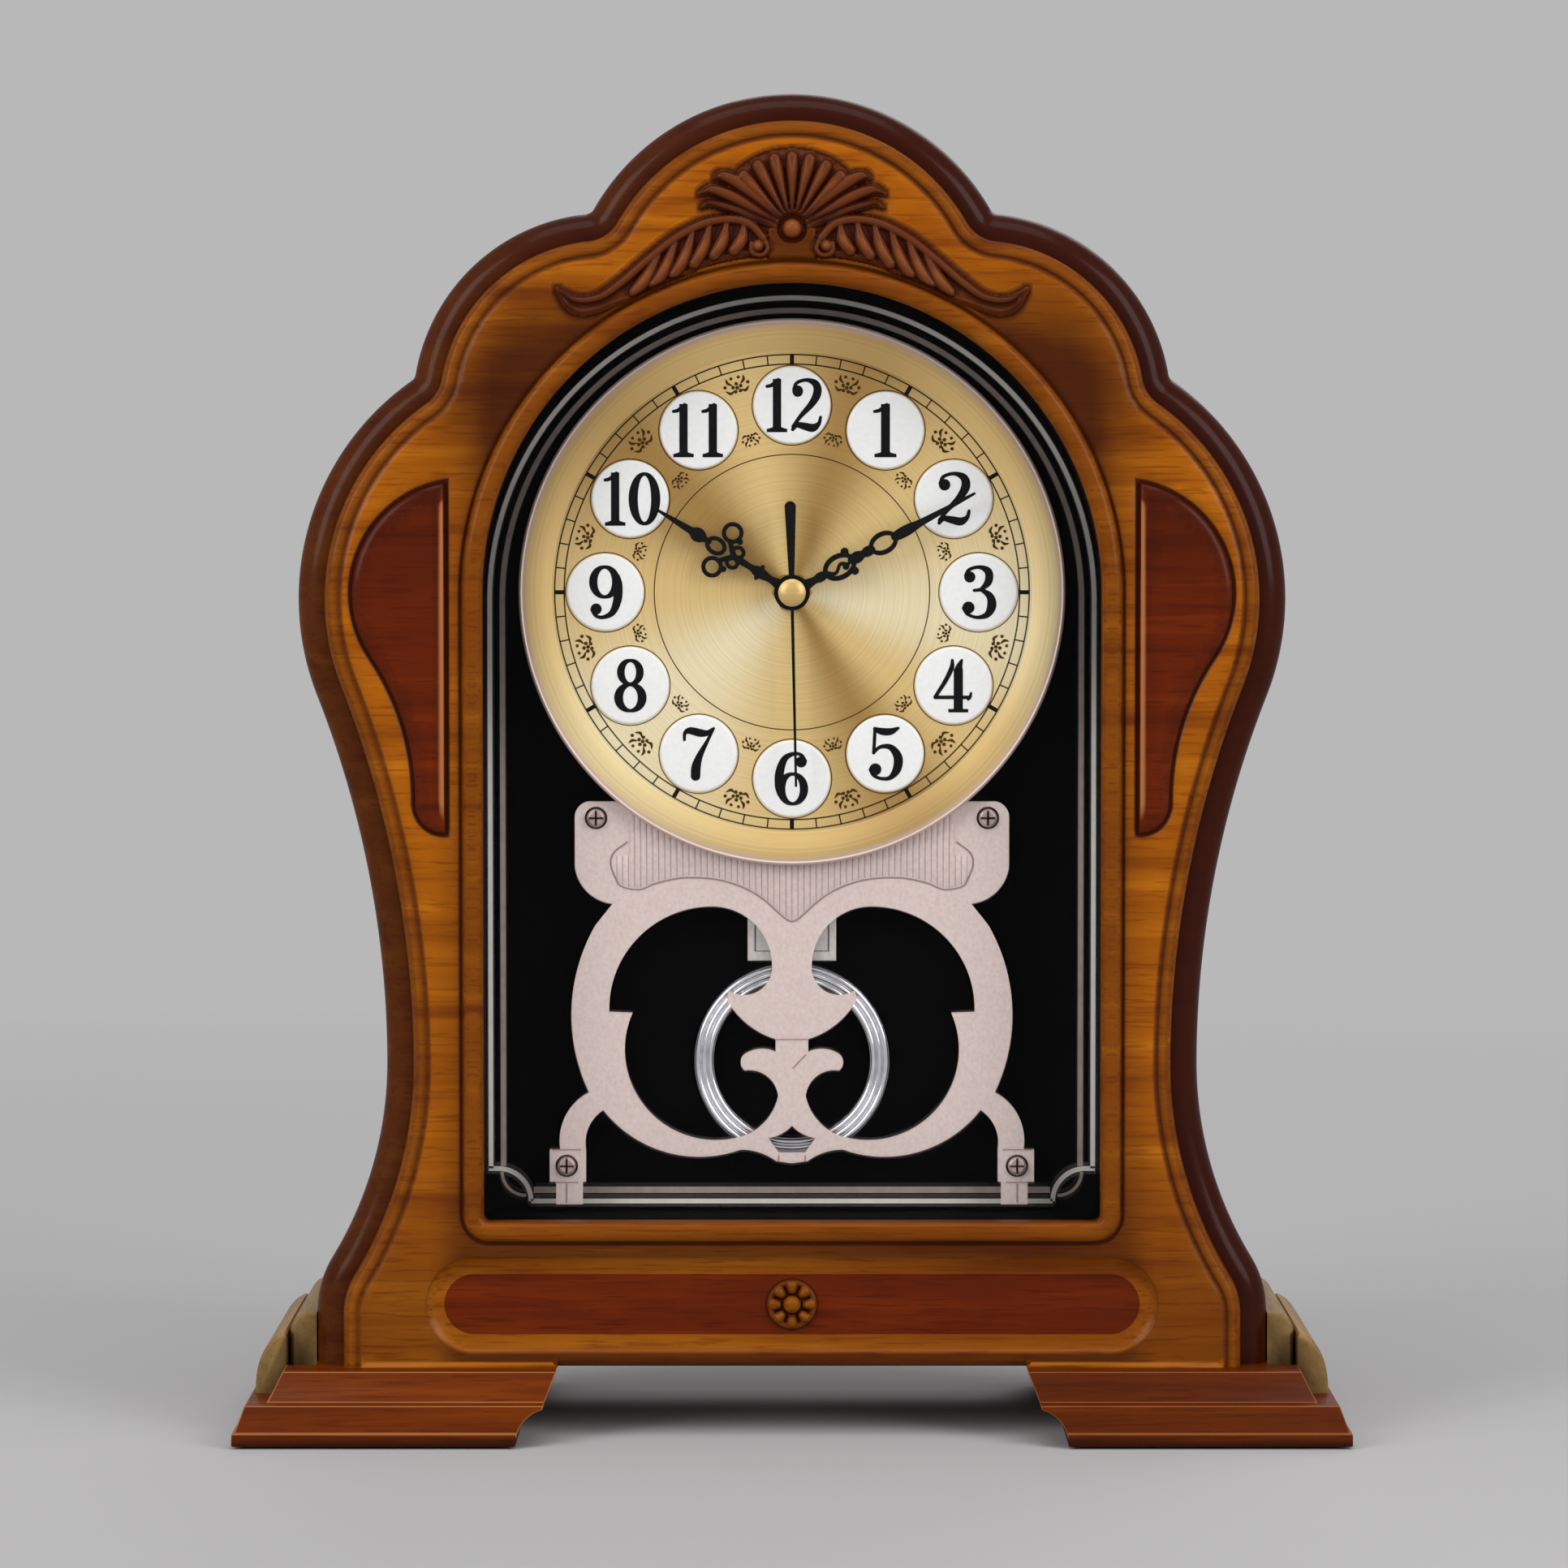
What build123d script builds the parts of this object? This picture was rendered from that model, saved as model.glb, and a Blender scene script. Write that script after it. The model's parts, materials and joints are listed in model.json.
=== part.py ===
from build123d import *
import os
from math import asin, cos, hypot, pi, radians, sin, sqrt

# Desk pendulum clock: a shaped wooden front with an arched window, a shallow case behind it with a
# rear door, a dial with a battery movement, a pierced ornament and a swinging ring pendulum.
# Millimetres. X runs to the right, the clock faces -Y and Z is up from the floor.

# Heights of the front from the floor up
FOOT_H = 22.0
SILL_H = 45.8
WINDOW_STRAIGHT_H = 196.5
WINDOW_R = 96.5
HEAD_H = 59.2

# Depths from the front of the feet to the back of the feet
FOOT_PROJECTION = 24.0
FRONT_T = 28.0
CASE_D = 70.0
REAR_PROJECTION = 18.0

# Outline of the front: crown, shoulders and cheeks are round lobes, the waist runs down to the hem
CROWN_R = 71.4
SHOULDER_R = 60.6
SHOULDER_W = 22.2
SHOULDER_RISE = 58.0
CHEEK_R = 83.3
CHEEK_W = 58.2
CHEEK_DROP = 2.0
WAIST_W = 30.9
WAIST_RISE = 95.0
WAIST_LOWER_R = 119.0
HEM_W = 53.1
HEM_R = 32.0
LOBE_NOTCH_R = 3.0

# Moulded edge of the front and the applied mouldings on its face
EDGE_ROUND = 8.0
EDGE_BAND = 9.5
EDGE_DROP = 7.0
EDGE_LIP_R = 1.8
APRON_ROUND = 4.0
WINDOW_CORNER_R = 2.0
BEAD_W = 6.5
BEAD_H = 2.4
BEAD_R = 2.0
FIELD_H = 2.0
FIELD_R = 1.5
FIELD_GAP = 5.0
FIELD_LOBE_R = 35.0
FIELD_LOBE_INSET = 6.0
FIELD_TAIL_R = 9.5
FIELD_TAIL_DROP = 65.3
FIELD_NECK_R = 80.0
APRON_FIELD_W = 229.0
APRON_FIELD_H = 30.0
APRON_COVE_W = 5.5
APRON_SINK = 2.4
APRON_FIELD_T = 1.5
ROSETTE_R = 8.1
ROSETTE_T = 2.0
ROSETTE_PETALS = 8
ROSETTE_BOSS_R = 3.0

# Carved crest: a ribbed shell over a pearl, with a leaf scroll to each side
CREST_T = 2.2
CREST_GAP = 0.5
SHELL_RISE = 16.7
SHELL_R = 25.5
SHELL_RIBS = 11
SHELL_SWEEP = 154.0
RIB_ROOT_R = 1.0
RIB_TIP_R = 3.4
PEARL_R = 3.4
VOLUTE_R = 3.0
LEAFLETS = 8
LEAFLET_ROOT_R = 1.0
LEAFLET_TIP_R = 3.0

# Window stack, from the lip of the front backwards
LIP_T = 6.0
REBATE_W = 5.0
GLASS_T = 3.0
SPACER_D = 25.0
SPACER_SET_BACK = 0.5
BOARD_T = 3.0
FIT_CLEAR = 0.2

# Case, base and feet
SIDE_T = 10.0
CASE_CLEAR = 0.3
BASE_T = 16.0
BASE_MARGIN = 0.4
FASCIA_H = 4.0
FASCIA_STEP = 0.8
LEAN_H = 8.2
LEAN_ANGLE = 20.0
LEDGE_W = 6.6
STEP_ANGLE = 26.0
FOOT_W = 24.0
FOOT_SPAN = 171.0
BRACKET_RISE = 11.7
BRACKET_LEAN = 8.0
BRACKET_TOP_LEAN = 4.0
FOOT_POCKET_W = 32.0
FOOT_RAIL_W = 38.0
MOULDING_W = 18.6
MOULDING_SET_BACK = 6.0
MOULDING_TOP_W = 4.0
MOULDING_BEAD_W = 3.4
MOULDING_BEAD_H = 3.5
MOULDING_FILLET_H = 1.4
MOULDING_FILLET_W = 1.6
PAD_R = 9.0
PAD_T = 2.0
PAD_PROUD = 0.8
PAD_INSET = 22.0

# Rear door with its two hinges, knob and magnet
DOOR_T = 6.0
DOOR_CLEAR = 0.5
HINGE_L = 24.0
HINGE_LEAF_W = 8.0
HINGE_LEAF_T = 1.0
KNUCKLE_R = 1.75
KNUCKLE_SPACE = 0.15
HINGE_PIN_R = 0.9
HINGE_RISE = 62.0
HINGE_SPACING = 130.0
DOOR_KNOB_R = 6.0
DOOR_KNOB_L = 12.0
DOOR_KNOB_NECK_R = 3.0
DOOR_KNOB_FOOT_R = 4.2
DOOR_KNOB_INSET = 14.0
MAGNET_W = 6.0
MAGNET_D = 8.0
MAGNET_H = 30.0
CLIP_T = 1.2
CLIP_ARM = 11.0
CLIP_H = 16.0
CLIP_RISE = 45.0
CLIP_SPACING = 130.0

# Dial and hands
DIAL_R = 86.0
DIAL_STANDOFF = 12.0
DIAL_T = 1.5
BEZEL_W = 10.0
BEZEL_H = 2.2
BEZEL_SKIRT_T = 1.0
DISC_R = 12.1
DISC_T = 0.5
DISC_RING_R = 58.7
DIAL_POST_R = 3.0
DIAL_POST_RING_R = 62.0
HAND_T = 0.6
HAND_PITCH = 2.0
HAND_CLEAR = 0.6
HOUR_L = 49.9
HOUR_ANGLE = 301.5
HOUR_BOSS_R = 5.2
MINUTE_L = 65.3
MINUTE_ANGLE = 61.5
MINUTE_BOSS_R = 5.6
SECOND_L = 61.0
SECOND_TAIL_L = 28.6
SECOND_ANGLE = 178.8
SECOND_BOSS_R = 4.6
CAP_R = 4.3
CAP_H = 2.2

# Pierced ornament on its four posts
ORNAMENT_RISE = 47.9
ORNAMENT_SIZE = 1.0135
ORNAMENT_T = 1.5
ORNAMENT_STANDOFF = 9.0
POST_R = 3.2
SCREW_SHANK_R = 1.4
SCREW_HEAD_R = 2.9
SCREW_HEAD_H = 1.8
SCREW_SLOT_W = 0.7
SCREW_SLOT_D = 0.7

# Pendulum under its bracket
PIVOT_RISE = 46.0
RING_R = 30.8
RING_W = 5.9
RING_T = 2.0
RIDGE_R = 0.9
RIDGES = 3
ROD_W = 4.0
ROD_T = 1.0
ROD_BOARD_GAP = 2.0
HUB_R = 3.0
HUB_L = 4.0
PIN_R = 1.0
BRACKET_HALF_W = 14.0
BRACKET_T = 1.0
BRACKET_DROP = 14.0
BRACKET_TOP = 28.0
BRACKET_LEG_RISE = 3.0
BRACKET_FLANGE_W = 8.0
BRACKET_DEPTH = 7.8
COUNTER_RISE = 13.0
COUNTER_R = 4.0
COUNTER_T = 1.2
DRIVE_W = 26.0
DRIVE_H = 18.0
DRIVE_D = 10.0
DRIVE_ROUND = 2.0

# Battery movement
MOVEMENT_W = 56.0
MOVEMENT_D = 16.0
MOVEMENT_WALL = 1.2
MOVEMENT_ROUND = 4.0
BAY_H = 14.6
RUN_CLEAR = 0.05
BUSH_R = 3.9
BUSH_FLANGE_R = 6.0
BUSH_FLANGE_T = 0.8
NUT_R = 6.4
NUT_T = 2.5
HOUR_TUBE_R = 2.5
MINUTE_TUBE_R = 1.6
ARBOR_R = 0.5
GEAR_T = 0.8
PINION_T = 1.2
LEVEL_START = 3.2
LEVEL_PITCH = 1.65
ADDENDUM = 0.8
DEDENDUM = 1.15
TOOTH_SHARE = 0.42
TIP_SHARE = 0.22
MOTION_DISTANCE = 12.8
MOTION_ANGLE = 90.0
CANNON_TEETH = 12
MINUTE_WHEEL_TEETH = 36
MINUTE_PINION_TEETH = 10
HOUR_WHEEL_TEETH = 40
SETTING_ANGLE = 30.0
SETTING_TEETH = 12
TRAIN_DISTANCE = 11.7
TRAIN_ANGLE = 160.0
CENTRE_WHEEL_TEETH = 64
THIRD_PINION_TEETH = 8
THIRD_WHEEL_TEETH = 60
SECOND_PINION_TEETH = 8
STEP_DISTANCE = 12.6
STEP_ANGLE_FROM_CENTRE = 20.0
SECOND_WHEEL_TEETH = 50
STEP_PINION_TEETH = 10
ROTOR_DISTANCE = 8.4
ROTOR_ANGLE = 80.0
STEP_WHEEL_TEETH = 48
ROTOR_PINION_TEETH = 8
ROTOR_R = 3.0
ROTOR_T = 1.8
STATOR_T = 0.8
STATOR_GAP = 0.4
STATOR_ARM_H = 8.0
COIL_R = 1.7
COIL_L = 18.0
COIL_INSET = 3.2
CORE_W = 1.6
SETTING_SHAFT_R = 1.5
SETTING_KNOB_R = 7.0
SETTING_KNOB_T = 3.0
SETTING_KNOB_NOTCHES = 20
BATTERY_R = 7.1
BATTERY_L = 49.5
BATTERY_NUB_R = 2.7
BATTERY_NUB_L = 1.0
CONTACT_T = 0.4
CONTACT_W = 11.0

# Places worked out from the sizes above
sill_z = FOOT_H + SILL_H
dial_z = sill_z + WINDOW_STRAIGHT_H
arch_top_z = dial_z + WINDOW_R
crown_top_z = arch_top_z + HEAD_H
depth = FOOT_PROJECTION + FRONT_T + CASE_D + REAR_PROJECTION
face_y = FOOT_PROJECTION - depth / 2
front_back_y = face_y + FRONT_T
case_back_y = front_back_y + CASE_D
glass_back_y = face_y + LIP_T + GLASS_T
board_y = glass_back_y + SPACER_D
board_back_y = board_y + BOARD_T
dial_back_y = board_y - DIAL_STANDOFF
dial_y = dial_back_y - DIAL_T
nut_y = dial_y - NUT_T
hour_y = nut_y - HAND_CLEAR - HAND_T
minute_y = hour_y - HAND_PITCH
second_y = minute_y - HAND_PITCH
case_in = WINDOW_R + REBATE_W + CASE_CLEAR
case_out = case_in + SIDE_T
base_top_z = FOOT_H + BASE_T
hem_x = WINDOW_R + HEM_W
base_x = hem_x + BASE_MARGIN
foot_x = hem_x + FOOT_W
ornament_z = sill_z + ORNAMENT_RISE
ornament_back_y = board_y - ORNAMENT_STANDOFF
pivot_z = ornament_z + PIVOT_RISE


os.makedirs("parts", exist_ok=True)


def front(y):
    """Plane at depth y facing the viewer, drawn in x and z; extrusions from it come forward."""
    return Plane.XZ.offset(-y)


def arbor(x, y, z, turn=0):
    """Plane across an arbor at (x, z) and depth y, turned counter-clockwise as the viewer sees it."""
    turned = radians(turn)
    return Plane(origin=(x, y, z), x_dir=(cos(turned), 0, sin(turned)), z_dir=(0, -1, 0))


def ring_axis(z):
    """Axis from front to back at height z in the middle of the clock."""
    return Axis((0, 0, z), (0, 1, 0))


def dome_middle(radius, height):
    """Half-way point of a spherical cap, as its distance from the axis and its rise above the rim."""
    sphere_r = (radius**2 + height**2) / (2 * height)
    half = asin(radius / sphere_r) / 2
    return sphere_r * sin(half), height - sphere_r * (1 - cos(half))


def grown(sketch, amount):
    """The outline of a sketch moved outwards by amount, or inwards if it is negative."""
    return offset(sketch, amount=amount, kind=Kind.ARC, mode=Mode.PRIVATE)


def save(piece, name):
    """Labels a finished piece and writes it as its own STEP file."""
    piece.part.label = name
    export_step(piece.part, f"parts/{name}.step")


# Outline of the front: the waist arc is tangent to the cheek, the hem arc to the lower waist arc
crown_z = crown_top_z - CROWN_R
shoulder_x = WINDOW_R + SHOULDER_W - SHOULDER_R
shoulder_z = dial_z + SHOULDER_RISE
cheek_x = WINDOW_R + CHEEK_W - CHEEK_R
cheek_z = dial_z - CHEEK_DROP
waist_x = WINDOW_R + WAIST_W
waist_z = FOOT_H + WAIST_RISE
cheek_dx = waist_x - cheek_x
cheek_dz = waist_z - cheek_z
waist_upper_r = (cheek_dx**2 + cheek_dz**2 - CHEEK_R**2) / (2 * (CHEEK_R - cheek_dx))
flare_dx = waist_x + WAIST_LOWER_R - (hem_x - HEM_R)
hem_z = waist_z - sqrt((WAIST_LOWER_R + HEM_R) ** 2 - flare_dx**2)


def between(start, end, distance):
    """The point on the way from start to end that lies at a distance from start."""
    share = distance / hypot(end[0] - start[0], end[1] - start[1])
    return start[0] + (end[0] - start[0]) * share, start[1] + (end[1] - start[1]) * share


def hollow_between(upper, upper_r, lower, lower_r, hollow_r):
    """Centre of the hollow that joins two lobes smoothly, to the right of both of them."""
    span = hypot(lower[0] - upper[0], lower[1] - upper[1])
    upper_reach = upper_r + hollow_r
    lower_reach = lower_r + hollow_r
    along = (span**2 + upper_reach**2 - lower_reach**2) / (2 * span)
    across = sqrt(upper_reach**2 - along**2)
    dx = (lower[0] - upper[0]) / span
    dz = (lower[1] - upper[1]) / span
    return upper[0] + along * dx - across * dz, upper[1] + along * dz + across * dx


crown = (0, crown_z)
shoulder_lobe = (shoulder_x, shoulder_z)
cheek_lobe = (cheek_x, cheek_z)
upper_notch = hollow_between(crown, CROWN_R, shoulder_lobe, SHOULDER_R, LOBE_NOTCH_R)
lower_notch = hollow_between(shoulder_lobe, SHOULDER_R, cheek_lobe, CHEEK_R, LOBE_NOTCH_R)


def case_outline(inset):
    """Outline of the front moved inwards by inset: a chain of tangent arcs from the crown to the hem."""
    crown_end = between(crown, upper_notch, CROWN_R - inset)
    shoulder_start = between(shoulder_lobe, upper_notch, SHOULDER_R - inset)
    shoulder_end = between(shoulder_lobe, lower_notch, SHOULDER_R - inset)
    cheek_start = between(cheek_lobe, lower_notch, CHEEK_R - inset)
    cheek_end = between(cheek_lobe, (waist_x + waist_upper_r, waist_z), CHEEK_R - inset)
    flare_start = between((hem_x - HEM_R, hem_z), (waist_x + WAIST_LOWER_R, waist_z), HEM_R - inset)
    flare_end = (hem_x - inset, hem_z)
    stops = [crown_end, shoulder_start, shoulder_end, cheek_start, cheek_end]
    stops += [(waist_x - inset, waist_z), flare_start, flare_end]
    with BuildSketch() as shape:
        with BuildLine():
            start = (0, crown_top_z - inset)
            heading = (1, 0)
            for stop in stops:
                stretch = TangentArc(start, stop, tangent=heading)
                start = stretch @ 1
                heading = stretch % 1
            hem = Line(start, (hem_x - inset, 0))
            Line(hem @ 1, (0, 0))
            mirror(about=Plane.YZ)
        make_face()
    return shape.sketch


apron_z = FOOT_H + (SILL_H - BEAD_W) / 2


def apron_field(inset):
    """Round-ended outline of the sunk apron field moved inwards by inset, as a sketch in x and z."""
    height = APRON_FIELD_H - 2 * inset
    with BuildSketch() as shape:
        with Locations((0, apron_z)):
            SlotOverall(APRON_FIELD_W - 2 * inset, height)
    return shape.sketch


with BuildSketch() as window:
    with Locations((0, dial_z)):
        Circle(WINDOW_R)
        Rectangle(2 * WINDOW_R, WINDOW_STRAIGHT_H, align=(Align.CENTER, Align.MAX))
    fillet(window.vertices().group_by(Axis.Y)[0], WINDOW_CORNER_R)

# Front board with its moulded edge, window, glass rebate, sunk apron field and rounded lower edge
with BuildPart() as front_panel:
    with BuildSketch(front(front_back_y)):
        add(case_outline(0))
    extrude(amount=FRONT_T - EDGE_DROP)
    fillet(front_panel.faces().sort_by(Axis.Y)[0].outer_wire().edges(), EDGE_ROUND)
    with BuildSketch(front(face_y + EDGE_DROP)):
        add(case_outline(EDGE_BAND))
    extrude(amount=EDGE_DROP)
    fillet(front_panel.faces().sort_by(Axis.Y)[0].outer_wire().edges(), EDGE_LIP_R)
    with BuildSketch(front(face_y)):
        add(window.sketch)
    extrude(amount=-FRONT_T, mode=Mode.SUBTRACT)
    with BuildSketch(front(face_y + LIP_T)):
        add(grown(window.sketch, REBATE_W))
    extrude(amount=-FRONT_T, mode=Mode.SUBTRACT)
    split(bisect_by=Plane.XY.offset(FOOT_H), keep=Keep.TOP)
    with BuildSketch(Plane.YZ.offset(-FOOT_SPAN / 2 + BRACKET_LEAN + BRACKET_TOP_LEAN)):
        with Locations((face_y, FOOT_H)):
            Rectangle(APRON_ROUND, APRON_ROUND, align=Align.MIN)
        with Locations((face_y + APRON_ROUND, FOOT_H + APRON_ROUND)):
            Circle(APRON_ROUND, mode=Mode.SUBTRACT)
    extrude(amount=FOOT_SPAN - 2 * (BRACKET_LEAN + BRACKET_TOP_LEAN), mode=Mode.SUBTRACT)
    with BuildSketch(front(face_y)):
        add(apron_field(0))
    with BuildSketch(front(face_y + APRON_SINK)):
        add(apron_field(APRON_COVE_W))
    loft(mode=Mode.SUBTRACT)
    with BuildSketch(front(face_y + APRON_SINK + APRON_FIELD_T)):
        add(apron_field(APRON_COVE_W))
    extrude(amount=APRON_FIELD_T, mode=Mode.SUBTRACT)
save(front_panel, "front_panel")

# Half-round bead planted round the window
with BuildPart() as window_bead:
    with BuildSketch(front(face_y)):
        add(grown(window.sketch, BEAD_W))
        add(window.sketch, mode=Mode.SUBTRACT)
    extrude(amount=BEAD_H)
    fillet(window_bead.faces().sort_by(Axis.Y)[0].edges(), BEAD_R)
save(window_bead, "window_bead")

# Raised fields planted on the cheeks, each a lobe that narrows through a hollow neck to a round tail
field_x = WINDOW_R + BEAD_W + FIELD_GAP
field_lobe = (field_x - FIELD_LOBE_INSET, dial_z)
field_tail = (field_x, dial_z - FIELD_TAIL_DROP)
field_neck = hollow_between(field_lobe, FIELD_LOBE_R, field_tail, FIELD_TAIL_R, FIELD_NECK_R)
field_top_z = dial_z + sqrt(FIELD_LOBE_R**2 - FIELD_LOBE_INSET**2)
with BuildPart() as side_panel_right:
    with BuildSketch(front(face_y)):
        with BuildLine():
            lobe_side = ThreePointArc(
                (field_x, field_top_z),
                (field_lobe[0] + FIELD_LOBE_R, dial_z),
                between(field_lobe, field_neck, FIELD_LOBE_R),
            )
            neck_side = TangentArc(
                lobe_side @ 1, between(field_tail, field_neck, FIELD_TAIL_R), tangent=lobe_side % 1
            )
            tail_side = TangentArc(
                neck_side @ 1, (field_x, field_tail[1] - FIELD_TAIL_R), tangent=neck_side % 1
            )
            Line(tail_side @ 1, lobe_side @ 0)
        make_face()
    extrude(amount=FIELD_H)
    fillet(side_panel_right.faces().sort_by(Axis.Y)[0].edges(), FIELD_R)
save(side_panel_right, "side_panel_right")

with BuildPart() as side_panel_left:
    mirror(side_panel_right.part, about=Plane.YZ)
save(side_panel_left, "side_panel_left")

with BuildPart() as apron_panel:
    with BuildSketch(front(face_y + APRON_SINK + APRON_FIELD_T)):
        add(apron_field(APRON_COVE_W + FIT_CLEAR))
    extrude(amount=APRON_FIELD_T)
save(apron_panel, "apron_panel")

# Rosette in the middle of the apron: petals round a boss on a thin disc
rosette_y = face_y + APRON_SINK
petal_ring_r = (ROSETTE_R + ROSETTE_BOSS_R) / 2
petal_r = petal_ring_r * sin(pi / ROSETTE_PETALS) - FIT_CLEAR
with BuildPart() as apron_rosette:
    with BuildSketch(front(rosette_y)):
        with Locations((0, apron_z)):
            Circle(ROSETTE_R)
    extrude(amount=ROSETTE_T / 2)
    petal_plane = arbor(0, rosette_y - ROSETTE_T / 2, apron_z)
    with BuildSketch(petal_plane):
        with PolarLocations(petal_ring_r, ROSETTE_PETALS):
            Circle(petal_r)
    extrude(amount=ROSETTE_T / 2)
    with Locations(petal_plane):
        Sphere(ROSETTE_BOSS_R)
    split(bisect_by=front(rosette_y), keep=Keep.TOP)
save(apron_rosette, "apron_rosette")

# Carved crest over the window: leaf grounds, leaflets, shell ribs, pearl and volute beads
leaf_top_z = arch_top_z + 21.7
crest_clear_r = WINDOW_R + BEAD_W + CREST_GAP
shell_z = arch_top_z + SHELL_RISE
with BuildPart() as crest_carving:
    with BuildSketch(front(face_y)):
        with BuildLine():
            tail = ThreePointArc(
                (73.4, arch_top_z - 0.8), (65.8, arch_top_z - 4.1), (53.6, arch_top_z + 1.7)
            )
            rise = ThreePointArc(tail @ 1, (43.0, arch_top_z + 12.0), (32.4, arch_top_z + 20.0))
            scroll = ThreePointArc(rise @ 1, (24.3, leaf_top_z), (13.7, arch_top_z + 19.6))
            volute = ThreePointArc(scroll @ 1, (8.0, arch_top_z + 13.0), (12.0, arch_top_z + 7.0))
            under = Line(volute @ 1, (20.0, arch_top_z - 6.0))
            back = Line(under @ 1, (70.0, arch_top_z - 14.0))
            Line(back @ 1, tail @ 0)
        make_face()
        mirror(about=Plane.YZ)
        with Locations((0, dial_z)):
            Circle(crest_clear_r, mode=Mode.SUBTRACT)
    extrude(amount=CREST_T)
    rib_step = SHELL_SWEEP / (SHELL_RIBS - 1)
    for rib in range(SHELL_RIBS):
        lean = radians(rib * rib_step - SHELL_SWEEP / 2)
        along = (sin(lean), 0, cos(lean))
        with Locations(Plane(origin=(0, face_y, shell_z), z_dir=along)):
            Cone(RIB_ROOT_R, RIB_TIP_R, SHELL_R - RIB_TIP_R, align=(Align.CENTER, Align.CENTER, Align.MIN))
        tip = SHELL_R - RIB_TIP_R
        with Locations((tip * along[0], face_y, shell_z + tip * along[2])):
            Sphere(RIB_TIP_R)
    for side in (-1, 1):
        for leaflet in range(LEAFLETS):
            share = leaflet / (LEAFLETS - 1)
            root = (side * (17.0 + 40.0 * share), arch_top_z + 18.0 - 18.0 * share**1.3)
            radius = crest_clear_r + LEAFLET_TIP_R + 0.6
            spread = radians(9.0 + 26.0 * share)
            tip = (side * radius * sin(spread), dial_z + radius * cos(spread))
            run = hypot(tip[0] - root[0], tip[1] - root[1])
            along = ((tip[0] - root[0]) / run, 0, (tip[1] - root[1]) / run)
            with Locations(Plane(origin=(root[0], face_y - CREST_T / 2, root[1]), z_dir=along)):
                Cone(LEAFLET_ROOT_R, LEAFLET_TIP_R, run, align=(Align.CENTER, Align.CENTER, Align.MIN))
    with Locations((-11.5, face_y - CREST_T, arch_top_z + 11.5), (11.5, face_y - CREST_T, arch_top_z + 11.5)):
        Sphere(VOLUTE_R)
    with Locations((0, face_y - CREST_T, shell_z)):
        Sphere(PEARL_R)
    with BuildSketch(front(face_y + crown_top_z)):
        with Locations((0, dial_z)):
            Circle(crest_clear_r)
    extrude(amount=2 * crown_top_z, mode=Mode.SUBTRACT)
    split(bisect_by=front(face_y), keep=Keep.TOP)
save(crest_carving, "crest_carving")

# Case behind the front: two sides, a bent arch and the base board
with BuildPart() as case_side_right:
    with BuildSketch(front(case_back_y)):
        with Locations((case_in, base_top_z)):
            Rectangle(SIDE_T, dial_z - base_top_z, align=Align.MIN)
    extrude(amount=CASE_D)
save(case_side_right, "case_side_right")

with BuildPart() as case_side_left:
    mirror(case_side_right.part, about=Plane.YZ)
save(case_side_left, "case_side_left")

with BuildPart() as case_arch:
    with BuildSketch(front(case_back_y)):
        with Locations((0, dial_z)):
            Circle(case_out)
            Circle(case_in, mode=Mode.SUBTRACT)
            Rectangle(2 * case_out, case_out, align=(Align.CENTER, Align.MAX), mode=Mode.SUBTRACT)
    extrude(amount=CASE_D)
save(case_arch, "case_arch")

with BuildPart() as base_board:
    with BuildSketch(Plane.XY.offset(FOOT_H)):
        with Locations((0, (front_back_y + case_back_y) / 2)):
            Rectangle(2 * base_x, CASE_D)
    extrude(amount=BASE_T)
save(base_board, "base_board")

# Feet: moulded corner brackets with a front return, a side rail and a rear return
lean_z = PAD_PROUD + FASCIA_H
ledge_z = lean_z + LEAN_H
ledge_inset = FASCIA_STEP + LEAN_H * sin(radians(LEAN_ANGLE)) / cos(radians(LEAN_ANGLE)) + LEDGE_W
gap_x = FOOT_SPAN / 2
pad_x = foot_x - PAD_INSET
pad_y = depth / 2 - PAD_INSET
with BuildPart() as foot_right:
    with BuildSketch(Plane.XY.offset(PAD_PROUD)):
        Rectangle(2 * foot_x, depth)
    extrude(amount=FASCIA_H)
    with BuildSketch(Plane.XY.offset(lean_z)):
        Rectangle(2 * (foot_x - FASCIA_STEP), depth - 2 * FASCIA_STEP)
    extrude(amount=LEAN_H, taper=LEAN_ANGLE)
    with BuildSketch(Plane.XY.offset(ledge_z)):
        Rectangle(2 * (foot_x - ledge_inset), depth - 2 * ledge_inset)
    extrude(amount=FOOT_H - ledge_z, taper=STEP_ANGLE)
    with BuildSketch(front(depth)):
        with BuildLine():
            floor = Line((0, 0), (gap_x, 0))
            toe = ThreePointArc(
                floor @ 1,
                (gap_x - BRACKET_LEAN / 4, BRACKET_RISE * 2 / 3),
                (gap_x - BRACKET_LEAN, BRACKET_RISE),
            )
            top = Line(toe @ 1, (gap_x - BRACKET_LEAN - BRACKET_TOP_LEAN, FOOT_H))
            over = Line(top @ 1, (0, FOOT_H))
            Line(over @ 1, floor @ 0)
        make_face()
    extrude(amount=2 * depth, mode=Mode.SUBTRACT)
    with BuildSketch(Plane.XY):
        Rectangle(2 * (foot_x - FOOT_RAIL_W), FOOT_POCKET_W)
    extrude(amount=FOOT_H, mode=Mode.SUBTRACT)
    with BuildSketch(Plane.XY.offset(ledge_z)):
        with Locations((base_x, (face_y + MOULDING_SET_BACK + case_back_y) / 2)):
            Rectangle(foot_x, case_back_y - face_y - MOULDING_SET_BACK, align=(Align.MIN, Align.CENTER))
    extrude(amount=FOOT_H, mode=Mode.SUBTRACT)
    with BuildSketch(Plane.XY.offset(PAD_T)):
        with Locations((pad_x, pad_y), (pad_x, -pad_y)):
            Circle(PAD_R + FIT_CLEAR)
    extrude(amount=-PAD_T, mode=Mode.SUBTRACT)
    split(bisect_by=Plane.YZ, keep=Keep.TOP)
save(foot_right, "foot_right")

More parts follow.
